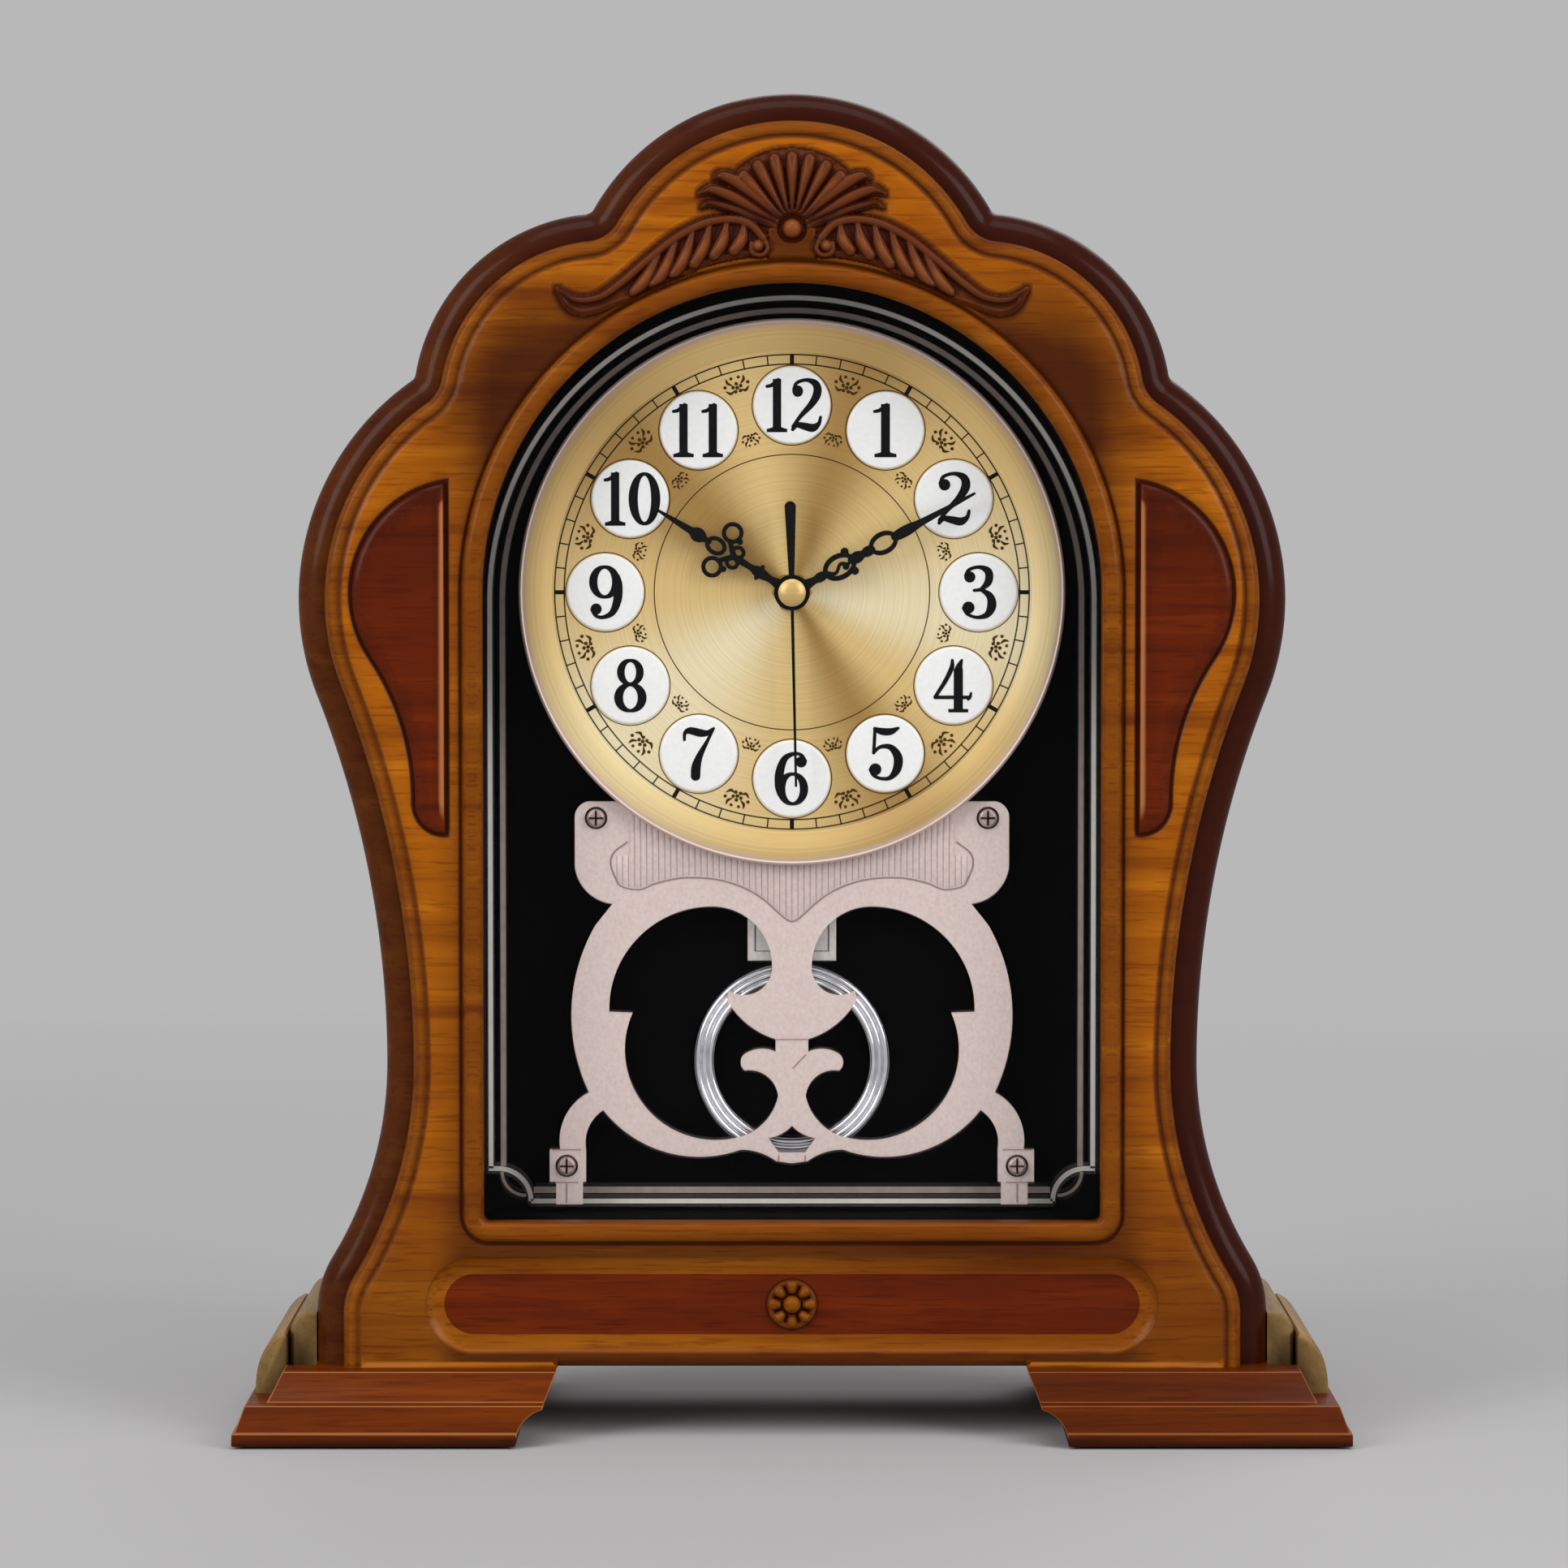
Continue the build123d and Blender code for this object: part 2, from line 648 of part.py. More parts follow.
with BuildPart() as foot_left:
    mirror(foot_right.part, about=Plane.YZ)
save(foot_left, "foot_left")

with BuildPart() as foot_pads:
    with BuildSketch(Plane.XY):
        with GridLocations(2 * pad_x, 2 * pad_y, 2, 2):
            Circle(PAD_R)
    extrude(amount=PAD_T)
save(foot_pads, "foot_pads")

# Side mouldings on the ends of the base board: a bead over a large ovolo
with BuildPart() as side_moulding_right:
    bead_x = base_x + MOULDING_TOP_W
    fillet_z = base_top_z - MOULDING_BEAD_H
    ovolo_x = bead_x + MOULDING_BEAD_W + MOULDING_FILLET_W
    ovolo_z = fillet_z - MOULDING_FILLET_H
    toe_x = base_x + MOULDING_W
    with BuildSketch(front(case_back_y)):
        with BuildLine():
            back_edge = Line((base_x, ledge_z), (base_x, base_top_z))
            top_edge = Line(back_edge @ 1, (bead_x, base_top_z))
            bead = ThreePointArc(
                top_edge @ 1,
                (bead_x + MOULDING_BEAD_W * 0.71, fillet_z + MOULDING_BEAD_H * 0.71),
                (bead_x + MOULDING_BEAD_W, fillet_z),
            )
            drop = Line(bead @ 1, (bead_x + MOULDING_BEAD_W, ovolo_z))
            shelf = Line(drop @ 1, (ovolo_x, ovolo_z))
            ovolo = ThreePointArc(
                shelf @ 1,
                (ovolo_x + (toe_x - ovolo_x) * 0.62, ledge_z + (ovolo_z - ledge_z) * 0.60),
                (toe_x, ledge_z),
            )
            Line(ovolo @ 1, back_edge @ 0)
        make_face()
    extrude(amount=case_back_y - face_y - MOULDING_SET_BACK)
save(side_moulding_right, "side_moulding_right")

with BuildPart() as side_moulding_left:
    mirror(side_moulding_right.part, about=Plane.YZ)
save(side_moulding_left, "side_moulding_left")

# Rear door, set in flush between the sides and under the arch
door_r = case_in - DOOR_CLEAR
with BuildPart() as rear_door:
    with BuildSketch(front(case_back_y)):
        with Locations((0, dial_z)):
            Circle(door_r)
            Rectangle(2 * door_r, dial_z - base_top_z - DOOR_CLEAR, align=(Align.CENTER, Align.MAX))
    extrude(amount=DOOR_T)
save(rear_door, "rear_door")

# Turned knob on the free edge of the door, drawn as a half section and revolved
knob_x = DOOR_KNOB_INSET - door_r
knob_z = (base_top_z + dial_z) / 2
knob_neck_l = DOOR_KNOB_L - DOOR_KNOB_R - sqrt(DOOR_KNOB_R**2 - DOOR_KNOB_NECK_R**2)
with BuildPart() as door_knob:
    with BuildSketch(Plane(origin=(knob_x, case_back_y, knob_z), x_dir=(1, 0, 0), z_dir=(0, 0, 1))):
        with BuildLine():
            foot_line = Line((0, 0), (DOOR_KNOB_FOOT_R, 0))
            neck = Line(foot_line @ 1, (DOOR_KNOB_NECK_R, knob_neck_l))
            head = ThreePointArc(neck @ 1, (DOOR_KNOB_R, DOOR_KNOB_L - DOOR_KNOB_R), (0, DOOR_KNOB_L))
            Line(head @ 1, foot_line @ 0)
        make_face()
    revolve(axis=Axis((knob_x, 0, knob_z), (0, 1, 0)))
save(door_knob, "door_knob")

# Two butt hinges on the right of the case: the case leaf has the end knuckles, the door leaf the middle one
hinge_x = case_in
hinge_y = case_back_y + KNUCKLE_R
hinge_zs = (base_top_z + HINGE_RISE, base_top_z + HINGE_RISE + HINGE_SPACING)
knuckle_l = HINGE_L / 3


def knuckle_and_leaf(z, low, high, side):
    """Adds a leaf at height z with a barrel from low to high, on the side given as 1 or -1."""
    leaf_inner = KNUCKLE_R + KNUCKLE_SPACE
    outwards = (Align.MIN if side > 0 else Align.MAX, Align.MIN)
    with BuildSketch(Plane.XY.offset(z - HINGE_L / 2)) as leaf:
        with Locations((hinge_x + side * leaf_inner, case_back_y)):
            Rectangle(HINGE_LEAF_W, HINGE_LEAF_T, align=outwards)
    extrude(leaf.sketch, amount=HINGE_L)
    with BuildSketch(Plane.XY.offset(z + low)) as barrel:
        with Locations((hinge_x, hinge_y)):
            Circle(KNUCKLE_R)
        with Locations((hinge_x, case_back_y)):
            Rectangle(leaf_inner + HINGE_LEAF_T, HINGE_LEAF_T, align=outwards)
    extrude(barrel.sketch, amount=high - low)


def hinge_bores():
    """Cuts the pin bore through the knuckles of both hinges."""
    with BuildSketch(Plane.XY) as bore:
        with Locations((hinge_x, hinge_y)):
            Circle(HINGE_PIN_R + RUN_CLEAR)
    extrude(bore.sketch, amount=crown_top_z, mode=Mode.SUBTRACT)


with BuildPart() as hinge_case_leaves:
    for hinge_z in hinge_zs:
        knuckle_and_leaf(hinge_z, -HINGE_L / 2, -knuckle_l / 2 - KNUCKLE_SPACE, 1)
        knuckle_and_leaf(hinge_z, knuckle_l / 2 + KNUCKLE_SPACE, HINGE_L / 2, 1)
    hinge_bores()
save(hinge_case_leaves, "hinge_case_leaves")

with BuildPart() as hinge_door_leaves:
    for hinge_z in hinge_zs:
        knuckle_and_leaf(hinge_z, -knuckle_l / 2, knuckle_l / 2, -1)
    hinge_bores()
save(hinge_door_leaves, "hinge_door_leaves")

with BuildPart() as hinge_pins:
    for hinge_z in hinge_zs:
        with BuildSketch(Plane.XY.offset(hinge_z - HINGE_L / 2)):
            with Locations((hinge_x, hinge_y)):
                Circle(HINGE_PIN_R)
        extrude(amount=HINGE_L)
save(hinge_pins, "hinge_pins")

# Magnet catch inside the case, which also stops the closed door
with BuildPart() as door_magnet:
    with BuildSketch(front(case_back_y - DOOR_T - FIT_CLEAR)):
        with Locations((-case_in, knob_z)):
            RectangleRounded(MAGNET_W, MAGNET_H, 1, align=(Align.MIN, Align.CENTER))
    extrude(amount=MAGNET_D)
save(door_magnet, "door_magnet")

# Window stack: pane, spacer frame and the board that carries the works, held by clips on the case sides
with BuildPart() as front_glass:
    with BuildSketch(front(glass_back_y)):
        add(grown(window.sketch, REBATE_W - FIT_CLEAR))
    extrude(amount=GLASS_T)
save(front_glass, "front_glass")

with BuildPart() as spacer_frame:
    with BuildSketch(front(board_y)):
        add(grown(window.sketch, REBATE_W - FIT_CLEAR))
        add(grown(window.sketch, SPACER_SET_BACK), mode=Mode.SUBTRACT)
    extrude(amount=SPACER_D)
save(spacer_frame, "spacer_frame")

ORNAMENT_TOP_HOLE = (61.0, 76.3)
ORNAMENT_LUG_HOLE = (70.3, -32.5)
ornament_holes = [
    (side * x * ORNAMENT_SIZE, ornament_z + z * ORNAMENT_SIZE)
    for side in (-1, 1)
    for x, z in (ORNAMENT_TOP_HOLE, ORNAMENT_LUG_HOLE)
]
with BuildPart() as dial_board:
    with BuildSketch(front(board_back_y)):
        add(grown(window.sketch, REBATE_W - FIT_CLEAR))
        with Locations((0, dial_z)):
            Circle(BUSH_R + FIT_CLEAR, mode=Mode.SUBTRACT)
        with Locations((0, pivot_z)):
            Circle(PIN_R + RUN_CLEAR, mode=Mode.SUBTRACT)
    extrude(amount=BOARD_T)
save(dial_board, "dial_board")

with BuildPart() as board_clips:
    for clip_z in (sill_z + CLIP_RISE, sill_z + CLIP_RISE + CLIP_SPACING):
        with BuildSketch(Plane.XY.offset(clip_z)):
            with Locations((case_in, board_back_y)):
                Rectangle(CLIP_T, CLIP_ARM, align=(Align.MAX, Align.MIN))
                Rectangle(CLIP_ARM, CLIP_T, align=(Align.MAX, Align.MIN))
        extrude(amount=CLIP_H)
    mirror(about=Plane.YZ)
save(board_clips, "board_clips")

# Dial plate, its rolled bezel, the number discs and the dial feet
with BuildPart() as dial_plate:
    with BuildSketch(front(dial_back_y)):
        with Locations((0, dial_z)):
            Circle(DIAL_R - BEZEL_SKIRT_T - RUN_CLEAR)
            Circle(BUSH_R + FIT_CLEAR, mode=Mode.SUBTRACT)
    extrude(amount=DIAL_T)
save(dial_plate, "dial_plate")

with BuildPart() as dial_bezel:
    with BuildSketch(Plane.XY.offset(dial_z)):
        with BuildLine():
            seat = Line((DIAL_R - BEZEL_SKIRT_T, dial_y), (DIAL_R - BEZEL_W, dial_y))
            crest = ThreePointArc(
                seat @ 1, (DIAL_R - BEZEL_W * 0.55, dial_y - BEZEL_H), (DIAL_R, dial_y - BEZEL_H * 0.2)
            )
            skirt = Line(crest @ 1, (DIAL_R, dial_back_y))
            hem_line = Line(skirt @ 1, (DIAL_R - BEZEL_SKIRT_T, dial_back_y))
            Line(hem_line @ 1, seat @ 0)
        make_face()
    revolve(axis=ring_axis(dial_z))
save(dial_bezel, "dial_bezel")

with BuildPart() as number_discs:
    with BuildSketch(arbor(0, dial_y, dial_z)):
        with PolarLocations(DISC_RING_R, 12):
            Circle(DISC_R)
    extrude(amount=DISC_T)
save(number_discs, "number_discs")

with BuildPart() as dial_posts:
    with BuildSketch(arbor(0, board_y, dial_z, 45)):
        with PolarLocations(DIAL_POST_RING_R, 4):
            Circle(DIAL_POST_R)
    extrude(amount=DIAL_STANDOFF)
save(dial_posts, "dial_posts")


# Hands, each drawn pointing up its own plane and pierced with open loops
def blade(root_w, tip_w, start, end):
    """Adds a tapering blade from start to end along the hand."""
    with BuildLine() as edge:
        Polyline(
            (-root_w / 2, start), (root_w / 2, start), (tip_w / 2, end), (-tip_w / 2, end), close=True
        )
    make_face(edge.edges())


def loops(x, y, outer, inner):
    """Adds a pair of open rings at x to each side of the hand, y along it."""
    with Locations((-x, y), (x, y)):
        Circle(outer)
        Circle(inner, mode=Mode.SUBTRACT)


with BuildPart() as hour_hand:
    with BuildSketch(arbor(0, hour_y + HAND_T, dial_z, -HOUR_ANGLE)):
        loops(5.6, HOUR_L * 0.55, 3.6, 2.5)
        loops(2.2, HOUR_L * 0.46, 2.6, 1.5)
        Circle(HOUR_BOSS_R)
        blade(2.4, 1.8, 0, HOUR_L * 0.4)
        blade(1.8, 3.6, HOUR_L * 0.6, HOUR_L * 0.7)
        blade(3.6, 0.4, HOUR_L * 0.7, HOUR_L)
        blade(1.6, 1.6, HOUR_L * 0.4, HOUR_L * 0.6)
        with Locations((0, HOUR_L * 0.25)):
            Ellipse(2.2, 3.4)
        Circle(HOUR_TUBE_R + RUN_CLEAR, mode=Mode.SUBTRACT)
    extrude(amount=HAND_T)
save(hour_hand, "hour_hand")

with BuildPart() as minute_hand:
    with BuildSketch(arbor(0, minute_y + HAND_T, dial_z, -MINUTE_ANGLE)):
        loops(2.6, MINUTE_L * 0.27, 3.4, 2.3)
        loops(2.6, MINUTE_L * 0.50, 3.4, 2.3)
        Circle(MINUTE_BOSS_R)
        blade(2.4, 1.6, 0, MINUTE_L * 0.6)
        blade(1.6, 3.2, MINUTE_L * 0.56, MINUTE_L * 0.64)
        blade(3.2, 0.4, MINUTE_L * 0.64, MINUTE_L)
        with Locations((0, MINUTE_L * 0.39)):
            Ellipse(2.0, 3.0)
        Circle(MINUTE_TUBE_R + RUN_CLEAR, mode=Mode.SUBTRACT)
    extrude(amount=HAND_T)
save(minute_hand, "minute_hand")

with BuildPart() as second_hand:
    with BuildSketch(arbor(0, second_y + HAND_T, dial_z, -SECOND_ANGLE)):
        Circle(SECOND_BOSS_R)
        blade(1.2, 0.5, 0, SECOND_L)
        blade(4.4, 2.0, -SECOND_TAIL_L, 0)
        Circle(ARBOR_R + RUN_CLEAR, mode=Mode.SUBTRACT)
    extrude(amount=HAND_T)
save(second_hand, "second_hand")

cap_rim_y = second_y - CAP_H / 3
cap_mid_r, cap_mid_h = dome_middle(CAP_R, CAP_H * 2 / 3)
with BuildPart() as hand_cap:
    with BuildSketch(Plane.XY.offset(dial_z)):
        with BuildLine():
            cap_seat = Line((0, second_y), (CAP_R, second_y))
            cap_edge = Line(cap_seat @ 1, (CAP_R, cap_rim_y))
            cap_dome = ThreePointArc(
                cap_edge @ 1, (cap_mid_r, cap_rim_y - cap_mid_h), (0, second_y - CAP_H)
            )
            Line(cap_dome @ 1, cap_seat @ 0)
        make_face()
    revolve(axis=ring_axis(dial_z))
save(hand_cap, "hand_cap")

# Pierced ornament: outer contour and two scroll openings drawn on the right and mirrored
with BuildSketch() as scroll_opening:
    with BuildLine():
        shoulder = ThreePointArc((57.0, 15.7), (47.7, 39.2), (24.7, 48.7))
        curl = ThreePointArc(shoulder @ 1, (11.2, 42.8), (6.2, 30.6))
        hook = ThreePointArc(curl @ 1, (9.0, 23.2), (19.7, 22.4))
        crescent_tip = Line(hook @ 1, (20.2, 19.4))
        crescent = ThreePointArc(crescent_tip @ 1, (13.0, 11.2), (5.1, 7.2))
        stub = Line(crescent @ 1, (5.1, 3.2))
        leaf_top = ThreePointArc(stub @ 1, (10.2, 4.1), (14.2, 2.8))
        leaf_tip = ThreePointArc(leaf_top @ 1, (16.0, 0.0), (14.7, -2.6))
        leaf_under = ThreePointArc(leaf_tip @ 1, (8.0, -4.2), (4.3, -10.7))
        stem = ThreePointArc(leaf_under @ 1, (7.3, -17.4), (14.2, -22.9))
        bowl = ThreePointArc(stem @ 1, (45.0, -15.0), (49.7, 15.4))
        Line(bowl @ 1, shoulder @ 0)
    make_face()
    mirror(about=Plane.YZ)

with BuildSketch() as diamond_opening:
    with BuildLine():
        upper = ThreePointArc((0, -19.9), (3.3, -22.5), (7.4, -23.8))
        Polyline(upper @ 1, (4.1, -28.4), (0, -28.4))
        mirror(about=Plane.YZ)
    make_face()

with BuildPart() as ornament_plate:
    with BuildSketch(arbor(0, ornament_back_y, ornament_z)):
        with BuildLine():
            lip = Line((0, -31.7), (4.9, -31.0))
            sway = ThreePointArc(lip @ 1, (10.5, -28.2), (15.9, -27.4))
            belly = ThreePointArc(sway @ 1, (36.0, -29.0), (58.9, -15.0))
            leg_in = ThreePointArc(belly @ 1, (63.0, -19.5), (64.3, -27.4))
            lug = Polyline(
                leg_in @ 1, (64.3, -37.5), (65.3, -37.5), (65.3, -44.6), (73.6, -44.6), (73.6, -37.5),
                (75.6, -37.5), (75.6, -27.4), (72.3, -27.4),
            )
            leg_out = ThreePointArc(lug @ 1, (70.5, -16.5), (63.3, -9.5))
            ring_side = ThreePointArc(leg_out @ 1, (68.6, 19.0), (61.3, 42.7))
            cusp = Line(ring_side @ 1, (55.9, 49.5))
            ear = ThreePointArc(cusp @ 1, (63.5, 53.0), (67.6, 61.0))
            ear_side = Line(ear @ 1, (67.6, 77.0))
            ear_top = ThreePointArc(ear_side @ 1, (66.0, 80.2), (62.0, 81.4))
            Line(ear_top @ 1, (0, 81.4))
            mirror(about=Plane.YZ)
        make_face()
        add(scroll_opening.sketch, mode=Mode.SUBTRACT)
        add(diamond_opening.sketch, mode=Mode.SUBTRACT)
        scale(by=ORNAMENT_SIZE)
    extrude(amount=ORNAMENT_T)
    with BuildSketch(front(ornament_back_y)):
        with Locations(*ornament_holes):
            Circle(SCREW_SHANK_R + FIT_CLEAR)
    extrude(amount=ORNAMENT_T, mode=Mode.SUBTRACT)
save(ornament_plate, "ornament_plate")

with BuildPart() as ornament_posts:
    with BuildSketch(front(board_y)):
        with Locations(*ornament_holes):
            Circle(POST_R)
    extrude(amount=ORNAMENT_STANDOFF)
    with BuildSketch(front(ornament_back_y)):
        with Locations(*ornament_holes):
            Circle(SCREW_SHANK_R + FIT_CLEAR)
    extrude(amount=-ORNAMENT_STANDOFF * 0.7, mode=Mode.SUBTRACT)
save(ornament_posts, "ornament_posts")

screw_seat_y = ornament_back_y - ORNAMENT_T
with BuildPart() as ornament_screws:
    with BuildSketch(front(screw_seat_y)):
        with Locations(*ornament_holes):
            Circle(SCREW_HEAD_R)
    extrude(amount=SCREW_HEAD_H)
    fillet(ornament_screws.faces().group_by(Axis.Y)[0].edges(), SCREW_HEAD_H * 0.6)
    with BuildSketch(front(screw_seat_y)):
        with Locations(*ornament_holes):
            Circle(SCREW_SHANK_R)
    extrude(amount=-ORNAMENT_T - ORNAMENT_STANDOFF / 2)
    with BuildSketch(front(screw_seat_y - SCREW_HEAD_H)):
        with Locations(*ornament_holes):
            Rectangle(3 * SCREW_HEAD_R, SCREW_SLOT_W)
            Rectangle(SCREW_SLOT_W, 3 * SCREW_HEAD_R)
    extrude(amount=-SCREW_SLOT_D, mode=Mode.SUBTRACT)
save(ornament_screws, "ornament_screws")

# Pendulum bracket: a bent plate standing off the board, with the pivot pin across it
bracket_y = board_y - BRACKET_DEPTH
with BuildPart() as pendulum_bracket:
    with BuildSketch(front(bracket_y + BRACKET_T)):
        with Locations((0, pivot_z - BRACKET_DROP)):
            Rectangle(
                2 * BRACKET_HALF_W, BRACKET_DROP + BRACKET_TOP, align=(Align.CENTER, Align.MIN)
            )
    extrude(amount=BRACKET_T)
    leg_x = BRACKET_HALF_W - BRACKET_T
    with BuildSketch(Plane.XY.offset(pivot_z + BRACKET_LEG_RISE)):
        with Locations((leg_x, bracket_y)):
            Rectangle(BRACKET_T, BRACKET_DEPTH, align=Align.MIN)
        with Locations((leg_x, board_y)):
            Rectangle(BRACKET_T + BRACKET_FLANGE_W, BRACKET_T, align=(Align.MIN, Align.MAX))
        mirror(about=Plane.YZ)
    extrude(amount=BRACKET_TOP - BRACKET_LEG_RISE)
    with BuildSketch(front(board_y)):
        with Locations((0, pivot_z)):
            Circle(PIN_R + RUN_CLEAR)
    extrude(amount=BRACKET_DEPTH, mode=Mode.SUBTRACT)
save(pendulum_bracket, "pendulum_bracket")

with BuildPart() as pendulum_pin:
    with BuildSketch(front(board_back_y)):
        with Locations((0, pivot_z)):
            Circle(PIN_R)
    extrude(amount=board_back_y - bracket_y)
save(pendulum_pin, "pendulum_pin")

# Pendulum: hub and flat rod behind the ridged ring, with the drive magnet on the short upper arm
rod_back_y = board_y - ROD_BOARD_GAP
rod_y = rod_back_y - ROD_T
with BuildPart() as pendulum_rod:
    with BuildSketch(front(rod_back_y)):
        with Locations((0, ornament_z + RING_R - RING_W)):
            Rectangle(
                ROD_W, PIVOT_RISE - RING_R + RING_W + COUNTER_RISE, align=(Align.CENTER, Align.MIN)
            )
        with Locations((0, pivot_z)):
            Circle(HUB_R)
    extrude(amount=ROD_T)
    with BuildSketch(front(rod_back_y)):
        with Locations((0, pivot_z)):
            Circle(HUB_R)
    extrude(amount=HUB_L)
    with BuildSketch(front(rod_back_y)):
        with Locations((0, pivot_z)):
            Circle(PIN_R + RUN_CLEAR)
    extrude(amount=HUB_L, mode=Mode.SUBTRACT)
save(pendulum_rod, "pendulum_rod")

with BuildPart() as pendulum_ring:
    with BuildSketch(Plane.XY.offset(ornament_z)):
        with Locations((RING_R, rod_y)):
            Rectangle(RING_W, RING_T, align=Align.MAX)
        ridge_pitch = RING_W / RIDGES
        for ridge in range(RIDGES):
            with Locations((RING_R - ridge_pitch * (ridge + 0.5), rod_y - RING_T)):
                Circle(RIDGE_R)
    revolve(axis=ring_axis(ornament_z))
save(pendulum_ring, "pendulum_ring")

with BuildPart() as pendulum_magnet:
    with BuildSketch(front(rod_back_y)):
        with Locations((0, pivot_z + COUNTER_RISE - ROD_W / 2)):
            Circle(COUNTER_R)
    extrude(amount=-COUNTER_T)
save(pendulum_magnet, "pendulum_magnet")

with BuildPart() as pendulum_drive:
    with BuildSketch(front(board_back_y + DRIVE_D)):
        with Locations((0, pivot_z + COUNTER_RISE)):
            RectangleRounded(DRIVE_W, DRIVE_H, DRIVE_ROUND)
    extrude(amount=DRIVE_D)
    fillet(pendulum_drive.faces().sort_by(Axis.Y)[-1].edges(), DRIVE_ROUND / 2)
save(pendulum_drive, "pendulum_drive")

# Movement: layout of the arbors, each a distance and an angle from the one that it meshes with
motion_x = MOTION_DISTANCE * cos(radians(MOTION_ANGLE))
motion_z = dial_z + MOTION_DISTANCE * sin(radians(MOTION_ANGLE))
setting_x = motion_x + MOTION_DISTANCE * cos(radians(SETTING_ANGLE))
setting_z = motion_z + MOTION_DISTANCE * sin(radians(SETTING_ANGLE))
third_x = TRAIN_DISTANCE * cos(radians(TRAIN_ANGLE))
third_z = dial_z + TRAIN_DISTANCE * sin(radians(TRAIN_ANGLE))
step_x = STEP_DISTANCE * cos(radians(STEP_ANGLE_FROM_CENTRE))
step_z = dial_z + STEP_DISTANCE * sin(radians(STEP_ANGLE_FROM_CENTRE))
rotor_x = step_x + ROTOR_DISTANCE * cos(radians(ROTOR_ANGLE))
rotor_z = step_z + ROTOR_DISTANCE * sin(radians(ROTOR_ANGLE))
movement_back_y = board_back_y + MOVEMENT_D
split_y = board_back_y + MOVEMENT_D / 2
wall_in_y = board_back_y + MOVEMENT_WALL
wall_back_y = movement_back_y - MOVEMENT_WALL
movement_in = MOVEMENT_W / 2 - MOVEMENT_WALL
bay_top = BAY_H - movement_in
works_low = bay_top + MOVEMENT_WALL
works_h = movement_in - works_low
levels = [board_back_y + LEVEL_START + LEVEL_PITCH * level for level in range(7)]
hour_level, motion_level, centre_level, third_level, second_level, step_level, rotor_level = levels
cannon_module = 2 * MOTION_DISTANCE / (CANNON_TEETH + MINUTE_WHEEL_TEETH)
hour_module = 2 * MOTION_DISTANCE / (MINUTE_PINION_TEETH + HOUR_WHEEL_TEETH)
centre_module = 2 * TRAIN_DISTANCE / (THIRD_PINION_TEETH + CENTRE_WHEEL_TEETH)
third_module = 2 * TRAIN_DISTANCE / (SECOND_PINION_TEETH + THIRD_WHEEL_TEETH)
second_module = 2 * STEP_DISTANCE / (STEP_PINION_TEETH + SECOND_WHEEL_TEETH)
step_module = 2 * ROTOR_DISTANCE / (ROTOR_PINION_TEETH + STEP_WHEEL_TEETH)
pivots = [(motion_x, motion_z), (third_x, third_z), (step_x, step_z), (rotor_x, rotor_z)]


def movement_cavity():
    """Draws the works and battery spaces of the movement in the sketch being drawn."""
    with Locations((0, dial_z + works_low)):
        Rectangle(2 * movement_in, works_h, align=(Align.CENTER, Align.MIN))
    with Locations((0, dial_z + bay_top)):
        Rectangle(2 * movement_in, BAY_H, align=(Align.CENTER, Align.MAX))


with BuildPart() as movement_front_shell:
    with BuildSketch(front(split_y)):
        with Locations((0, dial_z)):
            RectangleRounded(MOVEMENT_W, MOVEMENT_W, MOVEMENT_ROUND)
    extrude(amount=split_y - board_back_y)
    with BuildSketch(front(split_y)):
        movement_cavity()
    extrude(amount=split_y - wall_in_y, mode=Mode.SUBTRACT)
    with BuildSketch(front(split_y)):
        with Locations((0, dial_z)):
            Circle(BUSH_R + FIT_CLEAR)
        with Locations(*pivots, (setting_x, setting_z)):
            Circle(ARBOR_R + RUN_CLEAR)
    extrude(amount=split_y - board_back_y, mode=Mode.SUBTRACT)
save(movement_front_shell, "movement_front_shell")

with BuildPart() as movement_rear_shell:
    with BuildSketch(front(movement_back_y)):
        with Locations((0, dial_z)):
            RectangleRounded(MOVEMENT_W, MOVEMENT_W, MOVEMENT_ROUND)
    extrude(amount=movement_back_y - split_y)
    with BuildSketch(front(wall_back_y)):
        movement_cavity()
    extrude(amount=wall_back_y - split_y, mode=Mode.SUBTRACT)
    with BuildSketch(front(movement_back_y)):
        with Locations((0, dial_z + bay_top)):
            Rectangle(2 * movement_in, BAY_H, align=(Align.CENTER, Align.MAX))
        with Locations(*pivots, (0, dial_z)):
            Circle(ARBOR_R + RUN_CLEAR)
        with Locations((setting_x, setting_z)):
            Circle(SETTING_SHAFT_R + RUN_CLEAR)
    extrude(amount=MOVEMENT_WALL, mode=Mode.SUBTRACT)
save(movement_rear_shell, "movement_rear_shell")

# Threaded bush through board and dial, with its nut on the dial
with BuildPart() as movement_bush:
    with BuildSketch(front(wall_in_y + BUSH_FLANGE_T)):
        with Locations((0, dial_z)):
            Circle(BUSH_FLANGE_R)
    extrude(amount=BUSH_FLANGE_T)
    with BuildSketch(front(wall_in_y)):
        with Locations((0, dial_z)):
            Circle(BUSH_R)
    extrude(amount=wall_in_y - nut_y)
    with BuildSketch(front(wall_in_y + BUSH_FLANGE_T)):
        with Locations((0, dial_z)):
            Circle(HOUR_TUBE_R + RUN_CLEAR)
    extrude(amount=wall_in_y + BUSH_FLANGE_T - nut_y, mode=Mode.SUBTRACT)
save(movement_bush, "movement_bush")

with BuildPart() as bush_nut:
    with BuildSketch(front(dial_y)):
        with Locations((0, dial_z)):
            RegularPolygon(NUT_R, 6)
            Circle(BUSH_R + RUN_CLEAR, mode=Mode.SUBTRACT)
    extrude(amount=NUT_T)
save(bush_nut, "bush_nut")


